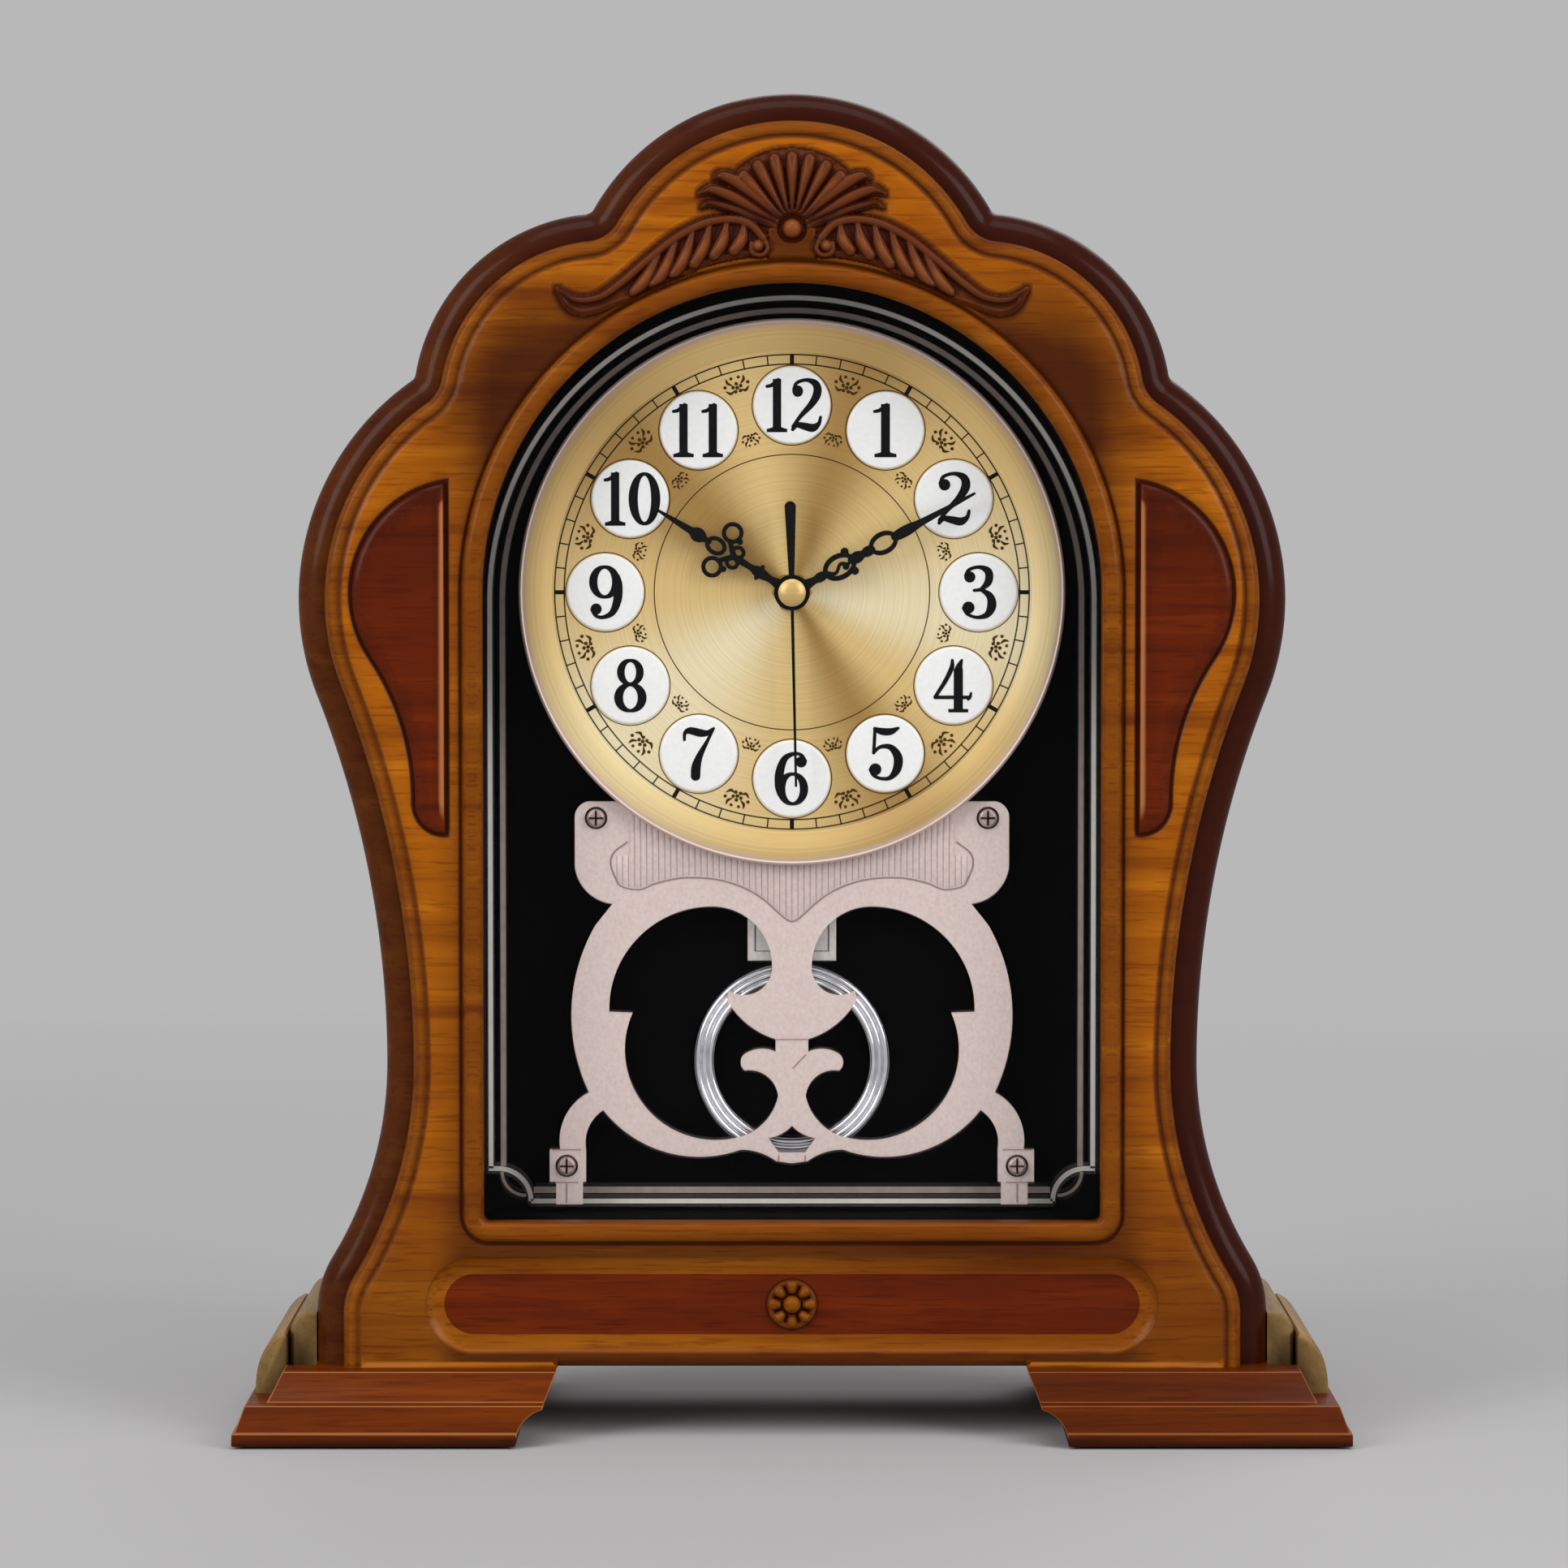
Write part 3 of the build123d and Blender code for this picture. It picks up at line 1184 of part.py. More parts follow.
def toothed(teeth, module):
    """Draws a gear with straight flanks and a tooth on the x axis in the sketch being drawn."""
    pitch_r = teeth * module / 2
    tip_r = pitch_r + ADDENDUM * module
    root_r = pitch_r - DEDENDUM * module
    pitch = 2 * pi / teeth
    at_pitch = TOOTH_SHARE * pitch / 2
    at_tip = TIP_SHARE * pitch / 2 * pitch_r / tip_r
    at_root = min(at_pitch + (at_pitch - at_tip) / 2, 0.47 * pitch)
    flank = [(root_r, -at_root), (pitch_r, -at_pitch), (tip_r, -at_tip)]
    flank += [(tip_r, at_tip), (pitch_r, at_pitch), (root_r, at_root)]
    points = [
        (r * cos(tooth * pitch + a), r * sin(tooth * pitch + a)) for tooth in range(teeth) for r, a in flank
    ]
    with BuildLine() as edge:
        Polyline(*points, close=True)
    make_face(edge.edges())


def mate(turn, teeth, other_teeth, angle):
    """Turn of a gear that meshes with one of the given turn and teeth, at an angle from it."""
    return angle + 180 - (turn - angle) * teeth / other_teeth - 180 / other_teeth


def wheel(x, z, level, thickness, teeth, module, turn):
    """Adds a gear to the part being built, centred on a level."""
    with BuildSketch(arbor(x, level + thickness / 2, z, turn)) as gear:
        toothed(teeth, module)
    extrude(gear.sketch, amount=thickness)


def spindle(x, z, radius, front_y, back_y, mode=Mode.ADD):
    """Adds a round arbor from front_y to back_y, or cuts a bore there."""
    with BuildSketch(front(back_y)) as section:
        with Locations((x, z)):
            Circle(radius)
    extrude(section.sketch, amount=back_y - front_y, mode=mode)


minute_bore = MINUTE_TUBE_R + RUN_CLEAR
second_bore = ARBOR_R + RUN_CLEAR
cannon_turn = MOTION_ANGLE
motion_turn = mate(cannon_turn, CANNON_TEETH, MINUTE_WHEEL_TEETH, MOTION_ANGLE)
setting_turn = mate(motion_turn, MINUTE_WHEEL_TEETH, SETTING_TEETH, SETTING_ANGLE)
hour_turn = MOTION_ANGLE
motion_pinion_turn = mate(hour_turn, HOUR_WHEEL_TEETH, MINUTE_PINION_TEETH, MOTION_ANGLE)
centre_turn = TRAIN_ANGLE
third_pinion_turn = mate(centre_turn, CENTRE_WHEEL_TEETH, THIRD_PINION_TEETH, TRAIN_ANGLE)
second_pinion_turn = TRAIN_ANGLE
third_turn = mate(second_pinion_turn, SECOND_PINION_TEETH, THIRD_WHEEL_TEETH, TRAIN_ANGLE)
second_turn = STEP_ANGLE_FROM_CENTRE
step_pinion_turn = mate(second_turn, SECOND_WHEEL_TEETH, STEP_PINION_TEETH, STEP_ANGLE_FROM_CENTRE)
step_turn = ROTOR_ANGLE
rotor_turn = mate(step_turn, STEP_WHEEL_TEETH, ROTOR_PINION_TEETH, ROTOR_ANGLE)

# Motion work: hour wheel and tube, cannon pinion on the minute arbor, minute wheel between them
with BuildPart() as hour_wheel:
    wheel(0, dial_z, hour_level, GEAR_T, HOUR_WHEEL_TEETH, hour_module, hour_turn)
    spindle(0, dial_z, HOUR_TUBE_R, hour_y, hour_level)
    spindle(0, dial_z, minute_bore, hour_y, movement_back_y, Mode.SUBTRACT)
save(hour_wheel, "hour_wheel")

with BuildPart() as minute_arbor:
    wheel(0, dial_z, motion_level, PINION_T, CANNON_TEETH, cannon_module, cannon_turn)
    spindle(0, dial_z, MINUTE_TUBE_R, minute_y, centre_level + PINION_T / 2)
    spindle(0, dial_z, second_bore, minute_y, movement_back_y, Mode.SUBTRACT)
save(minute_arbor, "minute_arbor")

with BuildPart() as minute_wheel:
    wheel(motion_x, motion_z, motion_level, GEAR_T, MINUTE_WHEEL_TEETH, cannon_module, motion_turn)
    wheel(motion_x, motion_z, hour_level, PINION_T, MINUTE_PINION_TEETH, hour_module, motion_pinion_turn)
    spindle(motion_x, motion_z, ARBOR_R, board_back_y, movement_back_y)
save(minute_wheel, "minute_wheel")

# Going train: centre wheel loose on the minute arbor, third wheel, second arbor, step wheel and rotor
with BuildPart() as centre_wheel:
    wheel(0, dial_z, centre_level, GEAR_T, CENTRE_WHEEL_TEETH, centre_module, centre_turn)
    spindle(0, dial_z, minute_bore, board_back_y, movement_back_y, Mode.SUBTRACT)
save(centre_wheel, "centre_wheel")

with BuildPart() as third_wheel:
    wheel(third_x, third_z, centre_level, PINION_T, THIRD_PINION_TEETH, centre_module, third_pinion_turn)
    wheel(third_x, third_z, third_level, GEAR_T, THIRD_WHEEL_TEETH, third_module, third_turn)
    spindle(third_x, third_z, ARBOR_R, board_back_y, movement_back_y)
save(third_wheel, "third_wheel")

with BuildPart() as second_arbor:
    wheel(0, dial_z, third_level, PINION_T, SECOND_PINION_TEETH, third_module, second_pinion_turn)
    wheel(0, dial_z, second_level, GEAR_T, SECOND_WHEEL_TEETH, second_module, second_turn)
    spindle(0, dial_z, ARBOR_R, second_y, movement_back_y)
save(second_arbor, "second_arbor")

with BuildPart() as step_wheel:
    wheel(step_x, step_z, second_level, PINION_T, STEP_PINION_TEETH, second_module, step_pinion_turn)
    wheel(step_x, step_z, step_level, GEAR_T, STEP_WHEEL_TEETH, step_module, step_turn)
    spindle(step_x, step_z, ARBOR_R, board_back_y, movement_back_y)
save(step_wheel, "step_wheel")

with BuildPart() as rotor:
    wheel(rotor_x, rotor_z, step_level, PINION_T, ROTOR_PINION_TEETH, step_module, rotor_turn)
    spindle(rotor_x, rotor_z, ROTOR_R, rotor_level - ROTOR_T / 2, rotor_level + ROTOR_T / 2)
    spindle(rotor_x, rotor_z, ARBOR_R, board_back_y, movement_back_y)
save(rotor, "rotor")

# Stator plate round the rotor with the coil on its core
coil_x = movement_in - COIL_INSET
coil_y = wall_back_y - COIL_R
coil_low_z = rotor_z - STATOR_ARM_H / 2 - COIL_L
stator_w = coil_x - rotor_x + CORE_W / 2 + STATOR_ARM_H / 2
with BuildPart() as stepper_stator:
    with BuildSketch(front(coil_y + STATOR_T / 2)):
        with Locations((coil_x + CORE_W / 2, rotor_z)):
            Rectangle(stator_w, STATOR_ARM_H, align=(Align.MAX, Align.CENTER))
        with Locations((coil_x, coil_low_z)):
            Rectangle(CORE_W, COIL_L + STATOR_ARM_H / 2, align=(Align.CENTER, Align.MIN))
        with Locations((rotor_x, rotor_z)):
            Circle(ROTOR_R + STATOR_GAP, mode=Mode.SUBTRACT)
    extrude(amount=STATOR_T)
save(stepper_stator, "stepper_stator")

with BuildPart() as stepper_coil:
    with BuildSketch(Plane.XY.offset(coil_low_z)):
        with Locations((coil_x, coil_y)):
            Circle(COIL_R)
            Rectangle(CORE_W + FIT_CLEAR, STATOR_T + FIT_CLEAR, mode=Mode.SUBTRACT)
    extrude(amount=COIL_L - FIT_CLEAR)
save(stepper_coil, "stepper_coil")

# Setting knob at the back, geared to the minute wheel
setting_knob_y = movement_back_y + FIT_CLEAR
with BuildPart() as setting_knob:
    wheel(setting_x, setting_z, motion_level, PINION_T, SETTING_TEETH, cannon_module, setting_turn)
    spindle(setting_x, setting_z, ARBOR_R, board_back_y, motion_level)
    spindle(setting_x, setting_z, SETTING_SHAFT_R, motion_level, setting_knob_y)
    with BuildSketch(arbor(setting_x, setting_knob_y + SETTING_KNOB_T, setting_z)):
        Circle(SETTING_KNOB_R)
        with PolarLocations(SETTING_KNOB_R, SETTING_KNOB_NOTCHES):
            Circle(pi * SETTING_KNOB_R / SETTING_KNOB_NOTCHES / 2, mode=Mode.SUBTRACT)
    extrude(amount=SETTING_KNOB_T)
save(setting_knob, "setting_knob")

# Battery in its bay between two sprung contacts
bay_z = dial_z + bay_top - BAY_H / 2
battery_y = wall_in_y + BATTERY_R + FIT_CLEAR / 2
contact_gap = movement_in - CONTACT_T - BATTERY_L / 2
with BuildPart() as battery:
    with BuildSketch(Plane.YZ.offset(-BATTERY_L / 2)):
        with Locations((battery_y, bay_z)):
            Circle(BATTERY_R)
    extrude(amount=BATTERY_L)
    with BuildSketch(Plane.YZ.offset(BATTERY_L / 2)):
        with Locations((battery_y, bay_z)):
            Circle(BATTERY_NUB_R)
    extrude(amount=BATTERY_NUB_L)
save(battery, "battery")

with BuildPart() as battery_contacts:
    for end, reach in ((-1, contact_gap), (1, contact_gap - BATTERY_NUB_L)):
        with BuildSketch(Plane.YZ.offset(end * movement_in)):
            with Locations((battery_y, bay_z)):
                Rectangle(CONTACT_W, CONTACT_W)
        extrude(amount=-end * CONTACT_T)
        with BuildSketch(Plane.YZ.offset(end * (movement_in - CONTACT_T))):
            with Locations((battery_y, bay_z)):
                Circle(BATTERY_NUB_R)
        extrude(amount=-end * reach)
save(battery_contacts, "battery_contacts")
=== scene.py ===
import json
import logging
import math
from dataclasses import dataclass
from enum import Enum
from functools import cache
from typing import Callable, Iterable, Iterator, Sequence

import bmesh
import bpy
import numpy as np
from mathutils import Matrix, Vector
from mathutils.geometry import delaunay_2d_cdt


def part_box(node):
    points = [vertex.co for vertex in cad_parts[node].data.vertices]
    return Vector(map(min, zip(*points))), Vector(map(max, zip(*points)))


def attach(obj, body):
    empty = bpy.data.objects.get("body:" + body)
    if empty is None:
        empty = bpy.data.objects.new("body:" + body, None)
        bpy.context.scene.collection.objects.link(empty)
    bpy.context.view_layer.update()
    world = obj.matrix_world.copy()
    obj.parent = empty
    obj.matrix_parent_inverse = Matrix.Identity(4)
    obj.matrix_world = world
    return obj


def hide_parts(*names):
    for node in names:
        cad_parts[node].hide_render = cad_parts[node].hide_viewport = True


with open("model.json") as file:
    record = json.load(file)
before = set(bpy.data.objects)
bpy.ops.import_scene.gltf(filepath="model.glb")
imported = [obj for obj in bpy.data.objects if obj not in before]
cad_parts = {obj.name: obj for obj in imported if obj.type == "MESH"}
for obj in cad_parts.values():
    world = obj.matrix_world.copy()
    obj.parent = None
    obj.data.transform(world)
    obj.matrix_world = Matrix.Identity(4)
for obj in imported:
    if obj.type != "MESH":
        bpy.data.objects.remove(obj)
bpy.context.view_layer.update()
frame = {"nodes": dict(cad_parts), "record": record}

LOG = logging.getLogger("desk_clock")
NODE_SLOTS: dict[str, str] = {part["node"]: part["material_slot"] for part in frame["record"]["subparts"]}
MM = 0.001
QUARTER, HALF, FULL = math.pi / 2, math.pi, 2 * math.pi
SIDES = (-1, 1)
HAIR = 1e-9  # keeps an arc of half a turn on its way round
TOUCH = 0.01  # millimetres

Colour = tuple[float, float, float, float]
Spot = tuple[float, float]
Line = tuple[float, float, float]
Socket = bpy.types.NodeSocket


def srgb(red: int, green: int, blue: int) -> Colour:
    """Turns a colour as seen on screen, with levels from 0 to 255, into linear light with full alpha."""
    levels = (level / 255 for level in (red, green, blue))
    return *(level / 12.92 if level <= 0.04045 else ((level + 0.055) / 1.055) ** 2.4 for level in levels), 1.0


def grey(level: float) -> Colour:
    """A grey of linear light."""
    return level, level, level, 1.0


def node_box(node: str) -> tuple[np.ndarray, np.ndarray]:
    """Lowest and highest corner of a solid of the frame, in millimetres."""
    low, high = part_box(node)
    return np.array(low) / MM, np.array(high) / MM


def ease(low: float, high: float, value: np.ndarray) -> np.ndarray:
    """Smooth rise from 0 at low to 1 at high."""
    share = np.clip((value - low) / (high - low), 0, 1)
    return share * share * (3 - 2 * share)


# ---------------------------------------------------------------- finishes


class NodeSheet:
    """Shader nodes of a material or of the world, added and wired by short calls."""

    MIDDLE = (0.25, 0.75)
    SEEN_RAYS = ("Is Camera Ray", "Is Glossy Ray", "Is Transmission Ray")

    def __init__(self, owner: bpy.types.Material | bpy.types.World, shader: str = "Principled BSDF") -> None:
        """Starts with the shader that its owner comes with.

        Args:
            owner: The material or world.
            shader: Name of that shader.
        """
        owner.use_nodes = True
        self.tree = owner.node_tree
        self.shader = self.tree.nodes[shader]

    def feed(self, node: bpy.types.Node, inputs: dict[str | int, object]) -> None:
        """Wires sockets to a node's inputs, and sets plain values on them.

        Args:
            node: The node.
            inputs: A socket or a value for each input.
        """
        for key, value in inputs.items():
            if isinstance(value, Socket):
                self.tree.links.new(value, node.inputs[key])
            else:
                node.inputs[key].default_value = value

    def add(
        self, kind: str, output: str, inputs: dict[str | int, object] | None = None, **settings: object
    ) -> Socket:
        """Adds a node.

        Args:
            kind: Blender's name of the node type.
            output: The output that is asked for.
            inputs: A socket or a value for each input.
            settings: Values for its properties.

        Returns:
            The output.
        """
        node = self.tree.nodes.new(kind)
        for key, value in settings.items():
            setattr(node, key, value)
        self.feed(node, inputs or {})
        return node.outputs[output]

    def surface(self, **values: Socket | Colour | float) -> None:
        """Wires or sets inputs of the shader, with _ for the spaces in their names."""
        self.feed(self.shader, {key.replace("_", " "): value for key, value in values.items()})

    def place(self) -> Socket:
        """The piece's own coordinates."""
        return self.add("ShaderNodeTexCoord", "Object")

    def reach(self, weights: Line = (1.0, 1.0, 1.0)) -> Socket:
        """Distance from the piece's own origin, with a weight for each axis."""
        flat = self.add("ShaderNodeVectorMath", "Vector", {0: self.place(), 1: weights}, operation="MULTIPLY")
        return self.add("ShaderNodeVectorMath", "Value", {0: flat}, operation="LENGTH")

    def noise(self, waves: Sequence[float], detail: float, warp: float = 0.0) -> Socket:
        """Noise around 0.5 in the piece's own coordinates.

        Args:
            waves: Waves per metre along x, y and z.
            detail: Octaves.
            warp: Distortion.

        Returns:
            The noise.
        """
        stretched = self.add("ShaderNodeMapping", "Vector", {"Vector": self.place(), "Scale": waves})
        inputs = {"Vector": stretched, "Scale": 1.0, "Detail": detail, "Distortion": warp}
        return self.add("ShaderNodeTexNoise", "Fac", inputs)

    def rings(self, waves: float) -> Socket:
        """Noise in rings round the piece's own y axis, with a number of waves per metre."""
        inputs = {"W": self.reach((1.0, 0.0, 1.0)), "Scale": waves}
        return self.add("ShaderNodeTexNoise", "Fac", inputs, noise_dimensions="1D")

    def turn(self) -> Socket:
        """Angle round the piece's own y axis.

        Returns:
            The angle, clockwise from 0 at the bottom to 1.
        """
        x, z = (self.add("ShaderNodeSeparateXYZ", axis, {"Vector": self.place()}) for axis in "XZ")
        flat = self.add("ShaderNodeCombineXYZ", "Vector", {"X": z, "Y": x})
        return self.add("ShaderNodeTexGradient", "Fac", {"Vector": flat}, gradient_type="RADIAL")

    def ramp(self, value: Socket, *stops: tuple[float, Colour]) -> Socket:
        """Colours a value.

        Args:
            value: The value to colour.
            stops: Positions and colours from low to high.

        Returns:
            The colour.
        """
        shown = self.add("ShaderNodeValToRGB", "Color", {"Fac": value})
        ramp = shown.node.color_ramp
        ramp.interpolation = "EASE"
        while len(ramp.elements) < len(stops):
            ramp.elements.new(0.5)
        for mark, (position, colour) in zip(ramp.elements, stops):
            mark.position = position
            mark.color = colour
        return shown

    def fit(self, value: Socket, start: Spot, end: Spot = (0.0, 1.0)) -> Socket:
        """Maps one range of a value to another, and holds it at the ends."""
        names = ("From Min", "From Max", "To Min", "To Max")
        return self.add("ShaderNodeMapRange", "Result", {"Value": value, **dict(zip(names, start + end))})

    def span(self, noise: Socket, low: float, high: float) -> Socket:
        """Maps the middle range of a noise to a range of numbers."""
        return self.fit(noise, self.MIDDLE, (low, high))

    def blend(self, share: Socket, under: Socket | Colour, over: Socket | Colour, mode: str = "MIX") -> Socket:
        """Mixes two colours by the share of the second one, in one of Blender's ways."""
        inputs = {"Factor": share, "A": under, "B": over}
        return self.add("ShaderNodeMix", "Result", inputs, data_type="RGBA", blend_type=mode)

    def tone(self) -> Socket:
        """The tone that the mesh carries: stain, painted shade or painted highlight."""
        return self.add("ShaderNodeAttribute", "Fac", attribute_name="tone")

    def bump(self, height: Socket, depth: float) -> Socket:
        """Normal of a surface that is rough by a value from 0 to 1 and a depth in metres."""
        return self.add("ShaderNodeBump", "Normal", {"Height": height, "Strength": 1.0, "Distance": depth})

    def seen(self) -> Socket:
        """Tells what is seen from what only gives light.

        Returns:
            1 where the surface is seen, straight or by gloss or glass, and otherwise 0.
        """
        camera, glossy, through = (self.add("ShaderNodeLightPath", ray) for ray in self.SEEN_RAYS)
        either = self.add("ShaderNodeMath", "Value", {0: camera, 1: glossy}, operation="MAXIMUM")
        return self.add("ShaderNodeMath", "Value", {0: either, 1: through}, operation="MAXIMUM")


class Grain(Enum):
    """Which way the grain runs, as the stretch of its noise along x, y and z."""

    ACROSS = (1.0, 16.0, 16.0)
    DEEP = (16.0, 1.0, 16.0)
    UPRIGHT = (16.0, 16.0, 1.0)

    def scaled(self, waves: float) -> tuple[float, ...]:
        """The stretch for a number of waves per metre along the grain."""
        return tuple(stretch * waves for stretch in self.value)


@dataclass(frozen=True)
class Wood:
    """Stained and lacquered wood whose mesh carries a tone: -1 is a painted highlight, 0 bare, 1 stained and 2
    a carved ridge.

    Args:
        name: Name of the material.
        pale: Colour of the light bands.
        body: Colour between the bands.
        dark: Colour of the dark bands, the figure and the pores.
        stain: Colour where the tone is full, as stain and as painted shade in hollows, quirks and grooves.
        grain: Way the grain runs.
        worn: Colour of the painted highlights on edges and ledges.
        ridge: Colour of carved ridges, partly the carving's own redder colour and partly a painted highlight on
            their tops.
        band_waves: Bands per metre along the grain.
        pore_waves: Pores per metre along the grain.
        figure_waves: Waves per metre of the cross figure along x, y and z.
        figure: Strength of the cross figure.
        pore_depth: Depth of the pores in metres.
        lacquer: Weight of the lacquer.
        gloss: Roughness of the lacquer.
    """

    name: str
    pale: Colour
    body: Colour
    dark: Colour
    stain: Colour
    grain: Grain = Grain.ACROSS
    worn: Colour = srgb(206, 138, 82)
    ridge: Colour = srgb(154, 84, 40)
    band_waves: float = 9.0
    pore_waves: float = 60.0
    figure_waves: Line = (30.0, 30.0, 50.0)
    figure: float = 0.3
    pore_depth: float = 0.00004
    lacquer: float = 0.13
    gloss: float = 0.16

    def dress(self, sheet: NodeSheet) -> None:
        """Builds the shader: grain bands, cross figure, pores, stain, painted highlights and lacquer.

        Args:
            sheet: Nodes of its material.
        """
        bands = sheet.noise(self.grain.scaled(self.band_waves), detail=5.0, warp=0.4)
        colour = sheet.ramp(bands, (0.22, self.dark), (0.5, self.body), (0.76, self.pale))
        figure = sheet.noise(self.figure_waves, detail=2.0, warp=1.0)
        colour = sheet.blend(sheet.span(figure, 0.0, self.figure), colour, self.dark)
        pores = sheet.noise(self.grain.scaled(self.pore_waves), detail=3.0)
        colour = sheet.blend(sheet.ramp(pores, (0.52, grey(0.0)), (0.68, grey(0.55))), colour, self.dark)
        tone = sheet.tone()
        # Tone blends to the stain up to 1, to the painted highlight below 0, and from the stain to the ridge
        # colour from 1 to 2.
        for span, over in (((0.0, 1.0), self.stain), ((0.0, -1.0), self.worn), ((1.0, 2.0), self.ridge)):
            colour = sheet.blend(sheet.fit(tone, span), colour, over)
        sheet.surface(
            Base_Color=colour, Roughness=sheet.span(pores, 0.34, 0.5),
            Normal=sheet.bump(pores, self.pore_depth),
            Coat_Weight=self.lacquer, Coat_Roughness=self.gloss, Specular_IOR_Level=0.03,
        )


@dataclass(frozen=True)
class Metal:
    """Metal with fine streaks or cloudiness; a spun face can carry painted reflections in light and dark rays.

    Args:
        name: Name of the material.
        colour: Colour of the metal.
        shade: Darker colour of its streaks, and where the tone is full.
        gloss: Roughness.
        streaks: Waves per metre of the streaks along x, y and z.
        turned: How strongly turning lines around the y axis stretch its reflections.
        pure: Share of bare metal; the rest is a lacquer of the same colour.
        bright: Colour of the light rays of a spun face, a painted reflection, if it has rays.
        dull: Colour of its dark rays, a painted dark reflection.
        turnings: Turning lines per metre.
        groove: What a turning line takes off the colour.
    """

    name: str
    colour: Colour
    shade: Colour
    gloss: float
    streaks: Line = (300.0, 300.0, 300.0)
    turned: float = 0.0
    pure: float = 1.0
    bright: Colour | None = None
    dull: Colour | None = None
    turnings: float = 1500.0
    groove: Colour = (0.9, 0.88, 0.84, 1.0)

    def dress(self, sheet: NodeSheet) -> None:
        """Builds the shader.

        Args:
            sheet: Nodes of its material.
        """
        cloud = sheet.rings(self.turnings) if self.turned else sheet.noise(self.streaks, detail=3.0)
        if self.bright and self.dull:
            lines = sheet.ramp(cloud, (0.3, self.groove), (0.7, grey(1.0)))
            share = sheet.ramp(cloud, (0.0, grey(0.8)), (1.0, grey(1.0)))
            # Painted reflections: light and dark rays round the spun face's axis.
            colour = sheet.blend(share, self.rays(sheet), lines, mode="MULTIPLY")
        else:
            colour = sheet.ramp(cloud, (0.1, self.shade), (0.75, self.colour))
        sheet.surface(
            Base_Color=sheet.blend(sheet.tone(), colour, self.shade),
            Roughness=sheet.span(cloud, self.gloss * 0.9, self.gloss * 1.12),
            Metallic=self.pure, Anisotropic=self.turned, Specular_IOR_Level=0.3,
        )
        if self.turned:
            sheet.surface(Tangent=sheet.add("ShaderNodeTangent", "Tangent", direction_type="RADIAL", axis="Y"))

    def rays(self, sheet: NodeSheet) -> Socket:
        """Light and dark rays of a spun face, painted reflections round its axis.

        Args:
            sheet: Material to add to.

        Returns:
            The colour round the axis.
        """
        plain, bright, dull = self.colour, self.bright, self.dull
        return sheet.ramp(
            sheet.turn(), (0.0, plain), (0.14, bright), (0.25, plain), (0.37, dull), (0.46, plain),
            (0.55, dull), (0.64, plain), (0.78, bright), (0.86, plain), (0.92, dull), (1.0, plain),
        )


@dataclass(frozen=True)
class Coating:
    """Paint, print, enamel, felt or moulded plastic with a faint mottle and grain.

    Args:
        name: Name of the material.
        colour: Main colour.
        shade: Colour of the mottle.
        gloss: Roughness.
        lump: Depth of its surface grain in metres.
        grit: Waves per metre of the mottle.
        coat: Weight of a clear coat.
        shine: Strength of its mirror reflection; 0.5 is plain plastic.
        seam: Colour where the mesh's tone is full.
    """

    name: str
    colour: Colour
    shade: Colour
    gloss: float
    lump: float = 0.000004
    grit: float = 900.0
    coat: float = 0.0
    shine: float = 0.4
    seam: Colour | None = None

    def dress(self, sheet: NodeSheet) -> None:
        """Builds the shader.

        Args:
            sheet: Nodes of its material.
        """
        mottle = sheet.noise((self.grit,) * 3, detail=3.0)
        colour = sheet.ramp(mottle, (0.2, self.shade), (0.75, self.colour))
        if self.seam:
            colour = sheet.blend(sheet.tone(), colour, self.seam)
        sheet.surface(
            Base_Color=colour, Roughness=sheet.span(mottle, self.gloss * 0.9, self.gloss * 1.1),
            Normal=sheet.bump(mottle, self.lump), Coat_Weight=self.coat, Specular_IOR_Level=self.shine,
        )


@dataclass(frozen=True)
class Glass:
    """Clear flat pane with a faint waviness.

    Args:
        name: Name of the material.
        alpha: How much of the pane's own gloss shows.
        waves: Waves per metre.
    """

    name: str
    alpha: float
    waves: Line = (9.0, 9.0, 9.0)

    def dress(self, sheet: NodeSheet) -> None:
        """Builds the shader.

        Args:
            sheet: Nodes of its material.
        """
        wave = sheet.noise(self.waves, detail=1.0)
        sheet.surface(
            Base_Color=sheet.ramp(wave, (0.3, srgb(246, 250, 248)), (0.7, srgb(252, 254, 253))),
            Roughness=sheet.span(wave, 0.0, 0.02), Transmission_Weight=1.0, Alpha=self.alpha, IOR=1.45,
        )


@dataclass(frozen=True)
class Paper:
    """Matt studio paper that keeps the clock's shadow near it and passes into an even grey further off.

    Args:
        name: Name of the material.
        floor: Colour of the floor near the clock.
        far: Even grey that the camera, metal and glass see further off.
        fade: Distances from the clock where the even grey starts and where it is full, in metres.
    """

    name: str
    floor: Colour
    far: Colour
    fade: Spot = (0.35, 1.5)

    def dress(self, sheet: NodeSheet) -> None:
        """Builds the shader.

        Args:
            sheet: Nodes of its material.
        """
        ends = {0: sheet.fit(sheet.reach(), self.fade), 1: sheet.seen()}
        off = sheet.add("ShaderNodeMath", "Value", ends, operation="MULTIPLY")
        sheet.surface(
            Base_Color=sheet.blend(off, self.floor, grey(0.0)), Emission_Strength=off, Emission_Color=self.far,
            Roughness=0.95, Specular_IOR_Level=0.0,
        )


Finish = Wood | Metal | Coating | Glass | Paper

